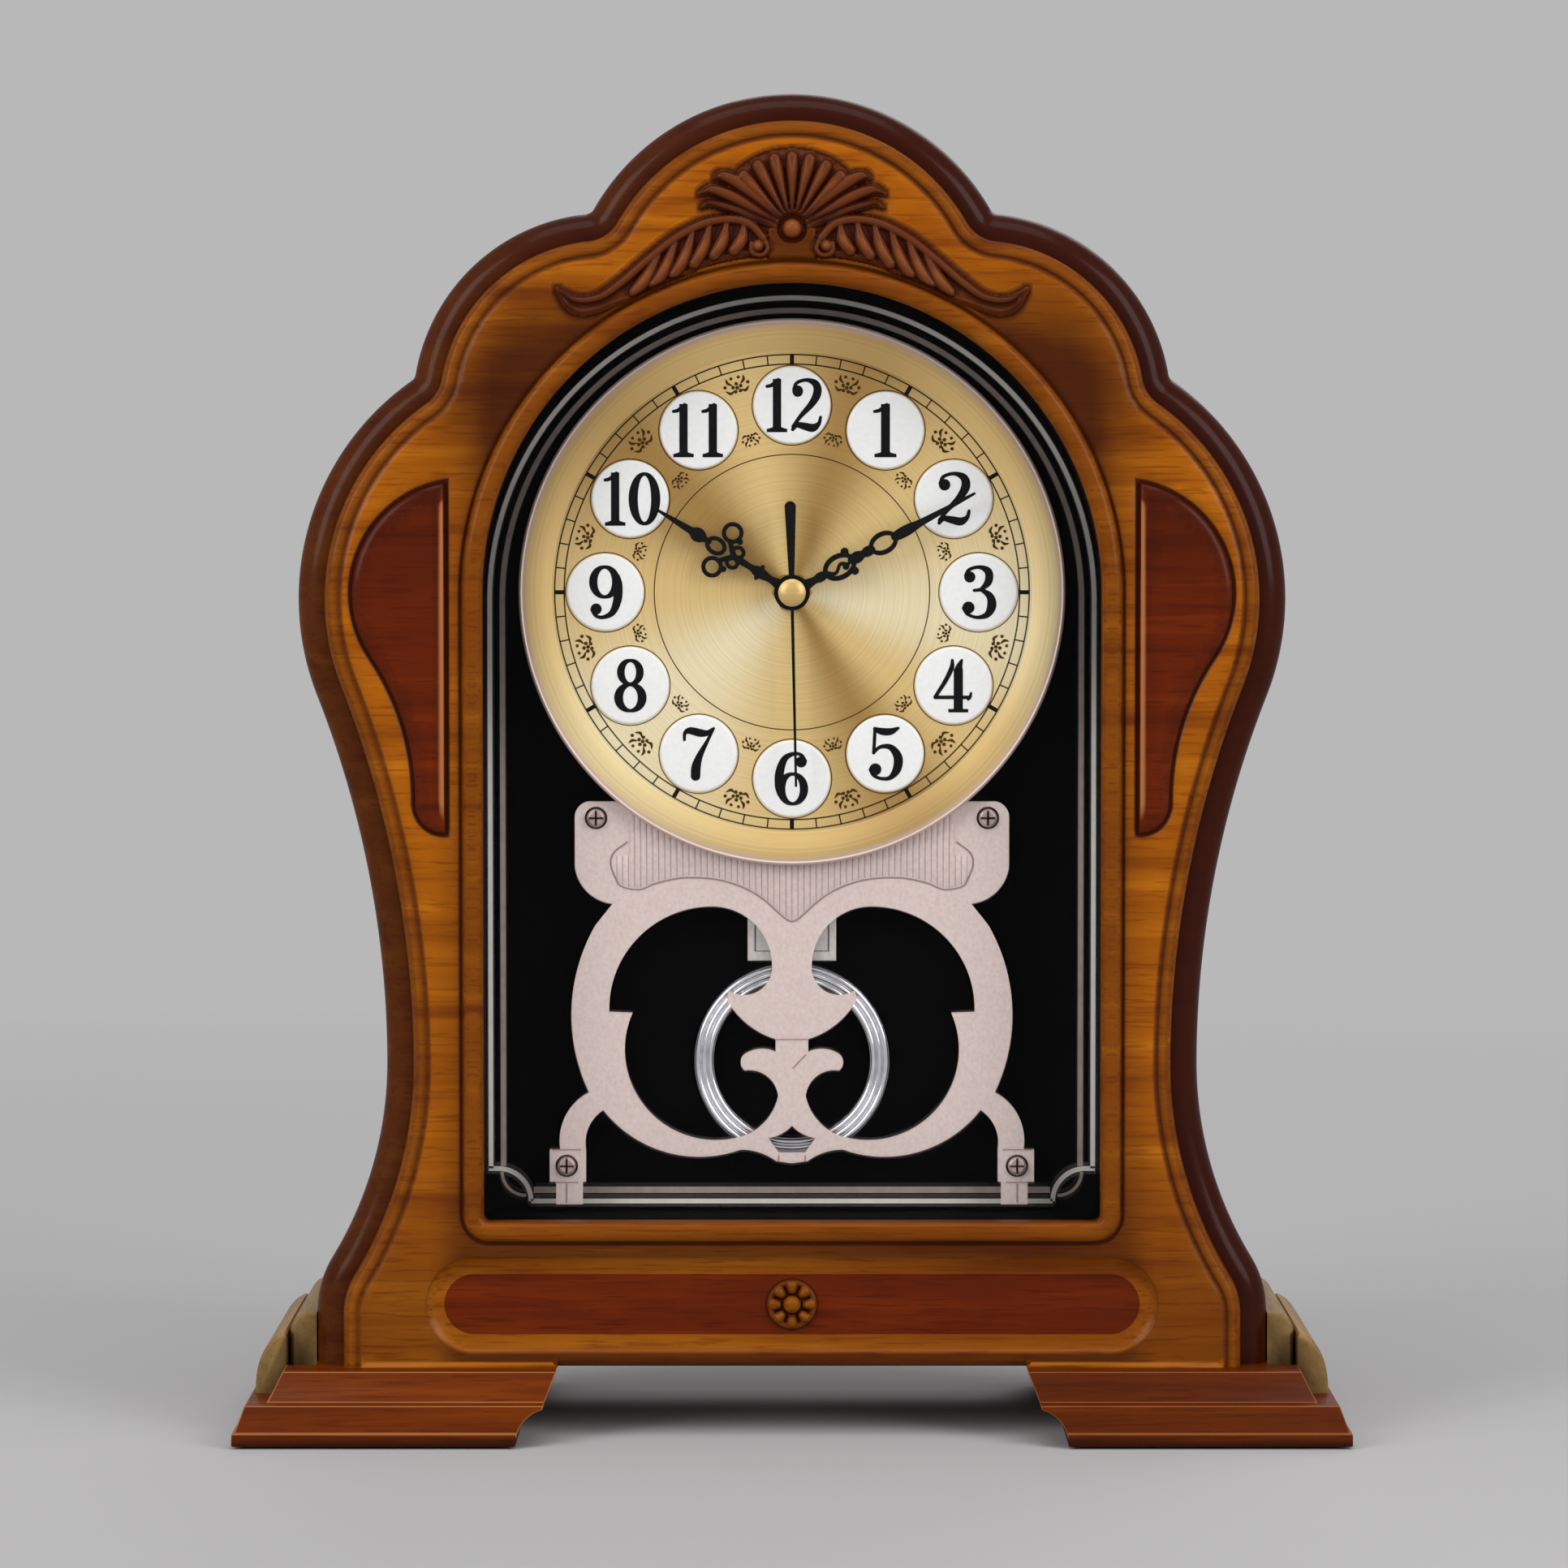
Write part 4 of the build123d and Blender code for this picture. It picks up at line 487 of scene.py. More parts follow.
AMBER_WOOD = Wood("amber_wood", srgb(198, 117, 18), srgb(168, 92, 7), srgb(118, 53, 4), srgb(52, 14, 4))
RED_WOOD = Wood("red_wood", srgb(126, 46, 5), srgb(104, 34, 3), srgb(74, 21, 3), srgb(36, 10, 4))
FOOT_WOOD = Wood("foot_wood", srgb(128, 58, 5), srgb(104, 42, 3), srgb(76, 27, 3), srgb(34, 10, 4))
SIDE_WOOD = Wood(
    "side_wood", srgb(128, 62, 14), srgb(104, 46, 9), srgb(76, 30, 6), srgb(46, 15, 5), grain=Grain.UPRIGHT
)
MOULDING_WOOD = Wood(
    "moulding_wood", srgb(158, 130, 84), srgb(142, 114, 70), srgb(122, 94, 54), srgb(58, 38, 16),
    grain=Grain.DEEP,
)
# Both golds carry painted reflections as light and dark rays.
GOLD = Metal(
    "spun_gold", srgb(238, 206, 140), srgb(226, 192, 124), 0.36, turned=0.5, pure=0.35,
    bright=srgb(255, 240, 198),
    dull=srgb(178, 140, 78),
)
RIM_GOLD = Metal(
    "rim_gold", srgb(232, 198, 132), srgb(222, 198, 190), 0.42, turned=0.4, pure=0.4,
    bright=srgb(248, 226, 172),
    dull=srgb(206, 170, 108),
)
BRASS = Metal("brass", srgb(218, 176, 98), srgb(176, 132, 62), 0.3)
STEEL = Metal("steel", srgb(196, 196, 198), srgb(150, 150, 154), 0.32)
CHROME = Metal("chrome", srgb(240, 240, 243), srgb(220, 220, 226), 0.16)
ROSE_SILVER = Coating(
    "rose_silver", srgb(226, 207, 201), srgb(212, 192, 187), 0.5, lump=0.000002, seam=srgb(112, 88, 84)
)
NICKEL = Coating("nickel", srgb(210, 205, 201), srgb(188, 184, 181), 0.4, seam=srgb(90, 84, 80))
COPPER = Metal("copper_wire", srgb(196, 106, 60), srgb(130, 60, 30), 0.3, streaks=(9000.0, 200.0, 200.0))
CELL_CASE = Metal("cell_case", srgb(190, 190, 186), srgb(130, 132, 136), 0.32)
BLACK_BOARD = Coating("black_board", srgb(5, 5, 6), srgb(2, 2, 3), 0.6, shine=0.02)
BLACK_PLASTIC = Coating("black_plastic", srgb(28, 28, 30), srgb(18, 18, 20), 0.5, lump=0.00002, shine=0.3)
GEAR_PLASTIC = Coating("gear_plastic", srgb(236, 232, 218), srgb(220, 214, 198), 0.45)
ENAMEL = Coating("white_enamel", srgb(248, 248, 247), srgb(242, 242, 240), 0.35, coat=0.2)
INK = Coating("black_ink", srgb(14, 14, 18), srgb(8, 8, 10), 0.5, shine=0.1)
BROWN_INK = Coating("brown_ink", srgb(80, 50, 18), srgb(58, 36, 12), 0.5, shine=0.1)
HAND_PAINT = Coating("hand_paint", srgb(10, 9, 9), srgb(5, 5, 5), 0.4, shine=0.15)
PALE_LINE = Metal("pale_line", srgb(255, 250, 242), srgb(248, 240, 230), 0.4, pure=0.1)
GREY_LINE = Metal("grey_line", srgb(188, 170, 160), srgb(168, 150, 140), 0.4, pure=0.2)
SCREW_METAL = Metal("screw_metal", srgb(206, 184, 178), srgb(158, 134, 128), 0.4, pure=0.6)
FELT = Coating("pad_felt", srgb(52, 46, 42), srgb(30, 26, 24), 0.95, lump=0.0003, grit=2500.0)
CLEAR_GLASS = Glass("clear_glass", alpha=0.06)

SLOT_FINISH: dict[str, Finish] = {
    "front_wood": AMBER_WOOD, "bead_wood": AMBER_WOOD, "panel_wood": RED_WOOD, "carved_wood": AMBER_WOOD,
    "case_wood": SIDE_WOOD, "foot_wood": FOOT_WOOD, "moulding_wood": MOULDING_WOOD, "door_wood": SIDE_WOOD,
    "brass": BRASS, "hinge_pin": BRASS, "catch": STEEL, "pad": FELT, "glass": CLEAR_GLASS,
    "spacer": BLACK_BOARD, "board": BLACK_BOARD, "clip": STEEL, "dial": GOLD, "bezel": GOLD, "disc": ENAMEL,
    "hand": HAND_PAINT, "ornament": ROSE_SILVER, "screw": SCREW_METAL, "bracket": NICKEL, "steel": STEEL,
    "ring": CHROME, "magnet": STEEL, "black_plastic": BLACK_PLASTIC, "gear": GEAR_PLASTIC, "copper": COPPER,
    "battery": CELL_CASE,
}


@cache
def material_of(finish: Finish) -> bpy.types.Material:
    """The material of a finish, made when first asked for.

    Args:
        finish: The finish.

    Returns:
        Its material.
    """
    material = bpy.data.materials.new(finish.name)
    finish.dress(NodeSheet(material))
    return material


# ---------------------------------------------------------------- meshes


def new_object(name: str, data: bpy.types.ID) -> bpy.types.Object:
    """Puts a mesh, a lamp or a camera into the scene.

    Args:
        name: Name of the object.
        data: What it shows.

    Returns:
        The new object.
    """
    item = bpy.data.objects.new(name, data)
    bpy.context.scene.collection.objects.link(item)
    return item


def at_depth(flat: np.ndarray, y: float | np.ndarray) -> np.ndarray:
    """Puts points drawn in x and z at a depth."""
    return np.column_stack((flat[:, 0], np.broadcast_to(y, (len(flat),)), flat[:, 1]))


class MeshDraft:
    """Collects the points, faces and tones of one piece, in millimetres; the tones carry stain and painted
    light.
    """

    def __init__(self) -> None:
        """Starts empty."""
        self.points: list[np.ndarray] = []
        self.tones: list[np.ndarray] = []
        self.faces: list[tuple[int, ...]] = []
        self.count = 0

    def add(self, points: np.ndarray, tone: float | np.ndarray = 0.0) -> np.ndarray:
        """Adds points.

        Args:
            points: Rows of x, y and z.
            tone: One tone for all, or one each.

        Returns:
            The indices of the new points.
        """
        points = np.asarray(points, float)
        self.points.append(points)
        self.tones.append(np.broadcast_to(np.asarray(tone, float), (len(points),)))
        self.count += len(points)
        return np.arange(self.count - len(points), self.count)

    def face(self, corners: Iterable[int]) -> None:
        """Adds one face from the indices of its corners, each taken once."""
        self.faces.append(tuple(dict.fromkeys(int(corner) for corner in corners)))

    def skin(self, rows: Sequence[np.ndarray], closed: bool = False) -> None:
        """Joins rows of points with four-sided faces.

        Args:
            rows: Indices of the points of each row.
            closed: Whether the rows run round to their first point.
        """
        for first, second in zip(rows, rows[1:]):
            for at in range(len(first) if closed else len(first) - 1):
                after = (at + 1) % len(first)
                self.face((first[at], first[after], second[after], second[at]))

    def triangles(self, flat: np.ndarray, corners: np.ndarray, y: float, tone: float | np.ndarray) -> None:
        """Adds flat triangles at a depth.

        Args:
            flat: Points in x and z.
            corners: Triangles as rows of indices.
            y: The depth.
            tone: One tone for all points, or one each.
        """
        start = self.add(at_depth(flat, y), tone)[0]
        for triangle in corners:
            self.face(triangle + start)

    def slab(self, loop: np.ndarray, front_y: float, back_y: float, tone: float = 0.0) -> None:
        """Adds a flat plate.

        Args:
            loop: Its outline in x and z.
            front_y: Depth of its front.
            back_y: Depth of its back.
            tone: Its stain tone.
        """
        front, back = (self.add(at_depth(loop, y), tone) for y in (front_y, back_y))
        self.face(front)
        self.face(back[::-1])
        self.skin((front, back), closed=True)

    def mesh(self, name: str, centre: Line = (0.0, 0.0, 0.0)) -> bpy.types.Mesh:
        """Makes the mesh.

        Args:
            name: Its name.
            centre: Place of its own origin.

        Returns:
            The new mesh.
        """
        mesh = bpy.data.meshes.new(name)
        mesh.from_pydata(((np.concatenate(self.points) - centre) * MM).tolist(), [], self.faces)
        return mesh

    def piece(
        self,
        name: str,
        body: str,
        slot: str,
        finish: Finish | None = None,
        replaced: Sequence[str] = (),
        weld: float = 0.0,
        crease: float = 35.0,
        centre: Line = (0.0, 0.0, 0.0),
    ) -> None:
        """Makes the piece and hangs it on its body.

        Args:
            name: Name of the piece.
            body: Body that carries it.
            slot: Material slot of the record.
            finish: Its finish, or the slot's own one.
            replaced: Solids that it stands for.
            weld: Distance in millimetres under which points merge.
            crease: Angle in degrees over which an edge is sharp.
            centre: Place of the piece's own origin.
        """
        mesh = self.mesh(name, centre)
        tones = mesh.attributes.new("tone", "FLOAT", "POINT")
        tones.data.foreach_set("value", np.concatenate(self.tones).astype(np.float32))
        shape = bmesh.new()
        shape.from_mesh(mesh)
        if weld:
            bmesh.ops.remove_doubles(shape, verts=shape.verts, dist=weld * MM)
        bmesh.ops.recalc_face_normals(shape, faces=shape.faces)
        shape.to_mesh(mesh)
        shape.free()
        piece = new_object(name, mesh)
        piece.location = Vector(centre) * MM
        dress(piece, body, slot, finish, replaced, crease)


def dress(
    piece: bpy.types.Object,
    body: str,
    slot: str,
    finish: Finish | None,
    replaced: Sequence[str],
    crease: float,
) -> None:
    """Gives a piece its finish, shading and body.

    Args:
        piece: The object.
        body: Body that carries it.
        slot: Material slot of the record.
        finish: Its finish, or the slot's own one.
        replaced: Solids that it stands for.
        crease: Angle in degrees over which an edge is sharp.
    """
    piece.data.shade_smooth()
    piece.data.set_sharp_from_angle(angle=math.radians(crease))
    piece.data.materials.clear()
    piece.data.materials.append(material_of(finish or SLOT_FINISH[slot]))
    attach(piece, body)
    if replaced:
        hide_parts(*replaced)
    LOG.info("%s on %s, %d faces", piece.name, body, len(piece.data.polygons))


def arc(
    centre: Spot, radius: float, start: float, end: float, count: int, hollow: bool = False
) -> tuple[np.ndarray, np.ndarray]:
    """Points along an arc with their outward normals.

    Args:
        centre: Centre of the arc.
        radius: Radius.
        start: Angle of its first point.
        end: Angle of its last point; the arc takes the short way there.
        count: Number of points.
        hollow: Whether the outside is on the side of the centre.

    Returns:
        Points and normals, as rows of x and z.
    """
    turn = (end - start + HALF) % FULL - HALF
    angles = np.linspace(start, start + turn, count)
    spokes = np.column_stack((np.cos(angles), np.sin(angles)))
    return np.asarray(centre) + radius * spokes, -spokes if hollow else spokes


def arch(radius: float, spring_z: float, count: int) -> np.ndarray:
    """Half round from right to left over the middle of the clock."""
    return arc((0.0, spring_z), radius, 0.0, HALF - HAIR, count)[0]


def bearing(start: Spot, end: Spot) -> float:
    """Angle of the way from one point to another."""
    return math.atan2(end[1] - start[1], end[0] - start[0])


def heading(turn: float) -> tuple[np.ndarray, np.ndarray]:
    """Directions outwards and across, clockwise, at an angle from the top."""
    out = np.array((math.sin(turn), math.cos(turn)))
    return out, np.array((out[1], -out[0]))


def mirrored(flat: np.ndarray, side: int) -> np.ndarray:
    """Points in x and z as drawn for the right (1), or turned over for the left (-1)."""
    return flat * np.array((side, 1.0))


def lattice(xs: np.ndarray, zs: np.ndarray) -> np.ndarray:
    """All points of a grid, as rows of x and z."""
    return np.stack(np.meshgrid(xs, zs), axis=-1).reshape(-1, 2)


def inside(loop: np.ndarray, spots: np.ndarray) -> np.ndarray:
    """Tells which points lie within a closed loop.

    Args:
        loop: Points of the loop in x and z.
        spots: Points to test.

    Returns:
        True for each one within.
    """
    x, z = spots[:, 0], spots[:, 1]
    within = np.zeros(len(spots), bool)
    for (x0, z0), (x1, z1) in zip(loop, np.roll(loop, -1, axis=0)):
        if z0 != z1:
            within ^= ((z0 > z) != (z1 > z)) & (x < (x1 - x0) * (z - z0) / (z1 - z0) + x0)
    return within


def fill(
    loops: Sequence[np.ndarray], keep: Callable[[np.ndarray], np.ndarray], extra: Sequence[Spot] = ()
) -> tuple[np.ndarray, np.ndarray]:
    """Fills the room between loops with triangles.

    Args:
        loops: Closed loops of points in x and z.
        keep: Tells which triangle centres are in the room.
        extra: Points to use inside the room.

    Returns:
        Points, and triangles as rows of indices.
    """
    spots, edges = [], []
    for loop in loops:
        start, size = len(spots), len(loop)
        spots += [Vector(spot) for spot in loop]
        edges += [(start + at, start + (at + 1) % size) for at in range(size)]
    spots += [Vector(spot) for spot in extra]
    found = delaunay_2d_cdt(spots, edges, [], 0, 1e-5)
    points = np.array([spot[:] for spot in found[0]])
    corners = np.array(found[2])
    return points, corners[keep(points[corners].mean(axis=1))]


def turn_section(draft: MeshDraft, lines: Sequence[Line], centre: Spot, spokes: int) -> None:
    """Turns a section round an axis that runs from front to back.

    Args:
        draft: Mesh to add to.
        lines: Radius, depth and tone of the section's points.
        centre: Place of the axis in x and z.
        spokes: Number of steps round the axis.
    """
    angles = np.linspace(0, FULL, spokes, endpoint=False)
    ways = np.column_stack((np.cos(angles), np.sin(angles)))
    rows = []
    for radius, y, tone in lines:
        if radius == 0:
            rows.append(np.repeat(draft.add(np.array(((centre[0], y, centre[1]),)), tone), spokes))
        else:
            rows.append(draft.add(at_depth(np.asarray(centre) + radius * ways, y), tone))
    draft.skin(rows, closed=True)


def ribbon(
    draft: MeshDraft, path: Sequence[Spot], width: float, front_y: float, back_y: float, tone: float = 0.0
) -> None:
    """Adds a thin flat strip along an open path.

    Args:
        draft: Mesh to add to.
        path: Points in x and z.
        width: Width of the strip.
        front_y: Depth of its front.
        back_y: Depth of its back.
        tone: Its tone.
    """
    path = np.asarray(path, float)
    along = np.gradient(path, axis=0)
    along /= np.linalg.norm(along, axis=1)[:, None]
    across = np.column_stack((-along[:, 1], along[:, 0])) * width / 2
    edges = ((-1, back_y), (-1, front_y), (1, front_y), (1, back_y))
    rows = [draft.add(at_depth(path + sign * across, y), tone) for sign, y in edges]
    draft.skin(rows + rows[:1])
    draft.face([row[0] for row in rows])
    draft.face([row[-1] for row in rows][::-1])


# ---------------------------------------------------------------- front board


def hollow_between(upper: Spot, upper_r: float, lower: Spot, lower_r: float, hollow_r: float) -> Spot:
    """Centre of the hollow that joins two lobes smoothly on their right.

    Args:
        upper: Centre of the upper lobe.
        upper_r: Its radius.
        lower: Centre of the lower lobe.
        lower_r: Its radius.
        hollow_r: Radius of the hollow.

    Returns:
        The centre.
    """
    span = math.dist(upper, lower)
    upper_reach, lower_reach = upper_r + hollow_r, lower_r + hollow_r
    along = (span**2 + upper_reach**2 - lower_reach**2) / (2 * span)
    across = math.sqrt(upper_reach**2 - along**2)
    dx, dz = (lower[0] - upper[0]) / span, (lower[1] - upper[1]) / span
    return upper[0] + along * dx - across * dz, upper[1] + along * dz + across * dx


def sunk(lines: Sequence[Line], y: float) -> list[Line]:
    """Section lines whose depths are counted from a depth."""
    return [(inset, y + depth, tone) for inset, depth, tone in lines]


@dataclass
class FrontBoard:
    """Shaped front with its moulded edge, window bead, raised cheek fields and sunk apron field.

    Sections hold the inset, depth and tone of lines, the tone being stain, painted shade or painted highlight.
    Stains hold where they start and end, and how strong they are.
    """

    crown_r: float = 71.4
    shoulder_r: float = 60.6
    shoulder_w: float = 22.2
    shoulder_rise: float = 58.0
    cheek_r: float = 83.3
    cheek_w: float = 58.2
    cheek_drop: float = 2.0
    waist_w: float = 30.9
    waist_rise: float = 95.0
    waist_lower_r: float = 119.0
    hem_r: float = 32.0
    hem_w: float = 53.1
    notch_r: float = 3.0
    edge_round: float = 8.0
    edge_drop: float = 7.0
    edge_tone: float = 0.9
    # Painted shade: the edge's dark lines darken at the top and on the right and lighten on the left.
    edge_lean: Spot = (0.08, 0.1)
    edge_riser: tuple[Line, ...] = ((8.6, 0.0, 0.95), (8.9, -0.6, 0.7), (9.1, -4.6, 0.6))
    nosing: Spot = (1.5, 1.9)
    nosing_sink: float = 2.4
    nosing_tone: float = 0.5
    # The quirk's darker lines are painted shade.
    edge_quirk: tuple[Line, ...] = (
        (11.4, 0.35, 0.38), (12.6, 0.2, 0.55), (13.3, 0.7, 0.8), (14.1, 0.75, 0.7), (15.0, 0.0, 0.3),
    )
    window_corner_r: float = 2.0
    rebate_w: float = 5.0
    lip_t: float = 6.0
    bead_w: float = 6.5
    bead_x: float = 3.1
    bead_round: Spot = (2.9, 1.9)
    bead_lift: float = 0.5
    bead_tone: float = 0.45
    # The quirk's darker lines are painted shade.
    bead_quirk: tuple[Line, ...] = ((6.5, 0.7, 0.9), (7.1, 0.7, 0.9), (7.7, 0.0, 0.2), (8.8, 0.0, 0.15))
    field_lobe_r: float = 35.0
    field_lobe_inset: float = 6.0
    field_tail_r: float = 9.5
    field_tail_drop: float = 65.3
    field_neck_r: float = 80.0
    # The groove round each cheek field and its foot are darker: painted shade.
    field_groove: tuple[Line, ...] = ((-1.6, 0.0, 0.3), (-1.0, 0.6, 0.9), (-0.2, 0.7, 1.0))
    field_foot: tuple[Line, ...] = ((0.0, 0.7, 0.9), (0.0, -0.1, 0.8))
    field_round: Spot = (4.2, 1.8)
    field_lift: float = 0.1
    field_edge_tone: float = 0.15
    # Painted shade: the cheek fields darken towards their top.
    field_stains: tuple[Line, ...] = ((-10.0, 34.0, 0.4), (-76.0, -20.0, 0.1))
    # Strength of the painted highlight along the straight edge.
    field_wear: float = 0.62
    apron_round: float = 4.0
    apron_gap: float = 73.5
    apron_lip: tuple[Line, ...] = ((-0.6, 0.0, 0.5), (0.0, 0.25, 0.6))
    cove_w: float = 5.5
    cove_sink: float = 0.3
    cove_tone: float = 0.35
    floor_t: float = 1.2
    fit: float = 0.2
    grid: float = 3.0
    grid_half: float = 150.0
    low_grid: float = 1.5
    low_rises: Line = (1.2, 2.0, 4.6)
    window_stain: Line = (6.0, 18.0, 0.35)
    shoulder_stain: Line = (14.0, 46.0, 0.95)
    shoulder_turn: Spot = (52.0, 17.0)
    foot_stain: Line = (14.0, 90.0, 0.5)
    most_stain: float = 0.9
    back_stain: float = 0.95
    # Painted highlight line along the face's lower edge over the feet.
    rub_h: float = 1.4
    rub_tone: float = -0.35
    weld: float = 0.002

    def __post_init__(self) -> None:
        """Takes the places of the board from the frame."""
        low, high = node_box("front_panel")
        bead_low, bead_high = node_box("window_bead")
        apron_low, apron_high = node_box("apron_panel")
        self.foot_z, self.top_z = low[2], high[2]
        self.face_y, self.back_y = low[1], high[1]
        self.bead_r = bead_high[0]
        self.window_r = self.bead_r - self.bead_w
        self.arch_z = bead_high[2] - self.bead_w
        self.sill_z = bead_low[2] + self.bead_w
        self.dial_z = bead_high[2] - self.bead_r
        self.hem_x = self.window_r + self.hem_w
        self.field_x = node_box("side_panel_right")[0][0]
        self.apron_floor_y = apron_low[1]
        self.apron_z = (apron_low[2] + apron_high[2]) / 2
        self.apron_r = (apron_high[2] - apron_low[2]) / 2 + self.fit + self.cove_w
        self.apron_x = apron_high[0] + self.fit + self.cove_w - self.apron_r
        self.edge_points, self.edge_normals = self.edge()

    def edge(self) -> tuple[np.ndarray, np.ndarray]:
        """Outline of the board from the left foot over the crown to the right foot.

        Returns:
            Points and outward normals.
        """
        crown = (0.0, self.top_z - self.crown_r)
        shoulder = (self.window_r + self.shoulder_w - self.shoulder_r, self.dial_z + self.shoulder_rise)
        cheek = (self.window_r + self.cheek_w - self.cheek_r, self.dial_z - self.cheek_drop)
        waist = (self.window_r + self.waist_w, self.foot_z + self.waist_rise)
        dx, dz = waist[0] - cheek[0], waist[1] - cheek[1]
        upper_r = (dx**2 + dz**2 - self.cheek_r**2) / (2 * (self.cheek_r - dx))
        upper_waist = (waist[0] + upper_r, waist[1])
        lower_waist = (waist[0] + self.waist_lower_r, waist[1])
        run = lower_waist[0] - (self.hem_x - self.hem_r)
        hem = (self.hem_x - self.hem_r, waist[1] - math.sqrt((self.waist_lower_r + self.hem_r) ** 2 - run**2))
        top_notch = hollow_between(crown, self.crown_r, shoulder, self.shoulder_r, self.notch_r)
        side_notch = hollow_between(shoulder, self.shoulder_r, cheek, self.cheek_r, self.notch_r)
        drop = np.linspace(hem[1], self.foot_z, 6)
        runs = [
            arc(crown, self.crown_r, QUARTER, bearing(crown, top_notch), 60),
            arc(top_notch, self.notch_r, bearing(top_notch, crown), bearing(top_notch, shoulder), 18, True),
            arc(shoulder, self.shoulder_r, bearing(shoulder, top_notch), bearing(shoulder, side_notch), 50),
            arc(side_notch, self.notch_r, bearing(side_notch, shoulder), bearing(side_notch, cheek), 18, True),
            arc(cheek, self.cheek_r, bearing(cheek, side_notch), bearing(cheek, upper_waist), 80),
            arc(upper_waist, upper_r, bearing(upper_waist, cheek), HALF, 50, True),
            arc(lower_waist, self.waist_lower_r, HALF, bearing(lower_waist, hem), 40, True),
            arc(hem, self.hem_r, bearing(hem, lower_waist), 0.0, 24),
            (np.column_stack((np.full(6, self.hem_x), drop)), np.tile((1.0, 0.0), (6, 1))),
        ]
        both = []
        for kind in (0, 1):
            right = np.concatenate([runs[0][kind]] + [stretch[kind][1:] for stretch in runs[1:]])
            both.append(np.concatenate((mirrored(right, -1)[:0:-1], right)))
        return both[0], both[1]

    def rim(self, inset: float) -> np.ndarray:
        """Outline of the board moved inwards."""
        return self.edge_points - inset * self.edge_normals

    def edge_profile(self) -> list[Line]:
        """Section of the moulded edge from the back to the face.

        Returns:
            Inset, depth and tone of each line along the edge; the quirk's tone is painted shade.
        """
        band_y = self.face_y + self.edge_drop
        side_y = band_y + self.edge_round
        lines = [(0.0, self.back_y, self.back_stain), (0.0, side_y, self.back_stain)]
        for turn in np.linspace(0, QUARTER, 12)[1:]:
            inset = self.edge_round * (1 - math.cos(turn))
            lines.append((inset, side_y - self.edge_round * math.sin(turn), self.edge_tone))
        lines += sunk(self.edge_riser, band_y)
        start, (width, height) = self.edge_riser[-1][0], self.nosing
        for turn in np.linspace(0, QUARTER, 6)[1:]:
            lift = math.sin(turn)
            depth = self.face_y + self.nosing_sink - height * lift
            lines.append((start + width * lift**1.2, depth, self.nosing_tone))
        return lines + sunk(self.edge_quirk, self.face_y)

    def window(self, grow: float) -> np.ndarray:
        """Loop of the window moved outwards.

        Args:
            grow: Distance outwards.

        Returns:
            Points of the closed loop.
        """
        radius = self.window_r + grow
        corner = self.window_corner_r + max(grow, 0.0)
        corner_x, corner_z = self.window_r - self.window_corner_r, self.sill_z + self.window_corner_r
        left, _ = arc((-corner_x, corner_z), corner, HALF, HALF + QUARTER, 10)
        right, _ = arc((corner_x, corner_z), corner, -QUARTER, 0.0, 10)
        down = np.linspace(self.dial_z, corner_z, 40)[1:-1]
        across = np.linspace(-corner_x, corner_x, 40)[1:-1]
        left_side = np.column_stack((np.full(38, -radius), down))
        bottom = np.column_stack((across, np.full(38, corner_z - corner)))
        right_side = np.column_stack((np.full(38, radius), down[::-1]))
        return np.concatenate((arch(radius, self.dial_z, 120), left_side, left, bottom, right, right_side))

    def window_profile(self) -> list[Line]:
        """Section of the window's rebate, lip and bead from the back to the face.

        Returns:
            Distance from the window's edge, depth and tone of each line; the quirk's tone is painted shade.
        """
        face, (half, height) = self.face_y, self.bead_round
        lip = face + self.lip_t
        lines = [(self.rebate_w, self.back_y, self.back_stain), (self.rebate_w, lip, 0.9), (0.0, lip, 0.8)]
        lines.append((0.0, face - 0.4, 0.6))
        for turn in np.linspace(0, HALF, 13):
            rise = face - self.bead_lift - height * math.sin(turn)
            lines.append((self.bead_x - half * math.cos(turn), rise, self.bead_tone))
        return lines + sunk(self.bead_quirk, face)

    def field(self, inset: float, side: int) -> np.ndarray:
        """Loop of a cheek field moved inwards.

        Args:
            inset: Distance inwards.
            side: 1 for the right cheek, -1 for the left one.

        Returns:
            Points of the closed loop.
        """
        lobe = (self.field_x - self.field_lobe_inset, self.dial_z)
        tail = (self.field_x, self.dial_z - self.field_tail_drop)
        neck = hollow_between(lobe, self.field_lobe_r, tail, self.field_tail_r, self.field_neck_r)
        edge_x = self.field_x + inset
        lobe_r, tail_r = self.field_lobe_r - inset, self.field_tail_r - inset
        top_z = lobe[1] + math.sqrt(lobe_r**2 - (edge_x - lobe[0]) ** 2)
        bottom_z = tail[1] - math.sqrt(max(tail_r**2 - inset**2, 0.0))
        runs = [
            arc(lobe, lobe_r, bearing(lobe, (edge_x, top_z)), bearing(lobe, neck), 60)[0],
            arc(neck, self.field_neck_r + inset, bearing(neck, lobe), bearing(neck, tail), 30)[0][1:],
            arc(tail, tail_r, bearing(tail, neck), bearing(tail, (edge_x, bottom_z)), 20)[0][1:],
            np.column_stack((np.full(38, edge_x), np.linspace(bottom_z, top_z, 40)[1:-1])),
        ]
        return mirrored(np.concatenate(runs), side)

    def field_profile(self) -> list[Line]:
        """Section of a cheek field from the floor of its groove to its flat top.

        Returns:
            Inset, depth and tone of each line; the groove's tone is painted shade.
        """
        width, height = self.field_round
        lines = sunk(self.field_foot, self.face_y)
        for turn in np.linspace(0.15, QUARTER, 8):
            rise = self.face_y - self.field_lift - height * math.sin(turn)
            lines.append((width * (1 - math.cos(turn)), rise, self.field_edge_tone))
        return lines

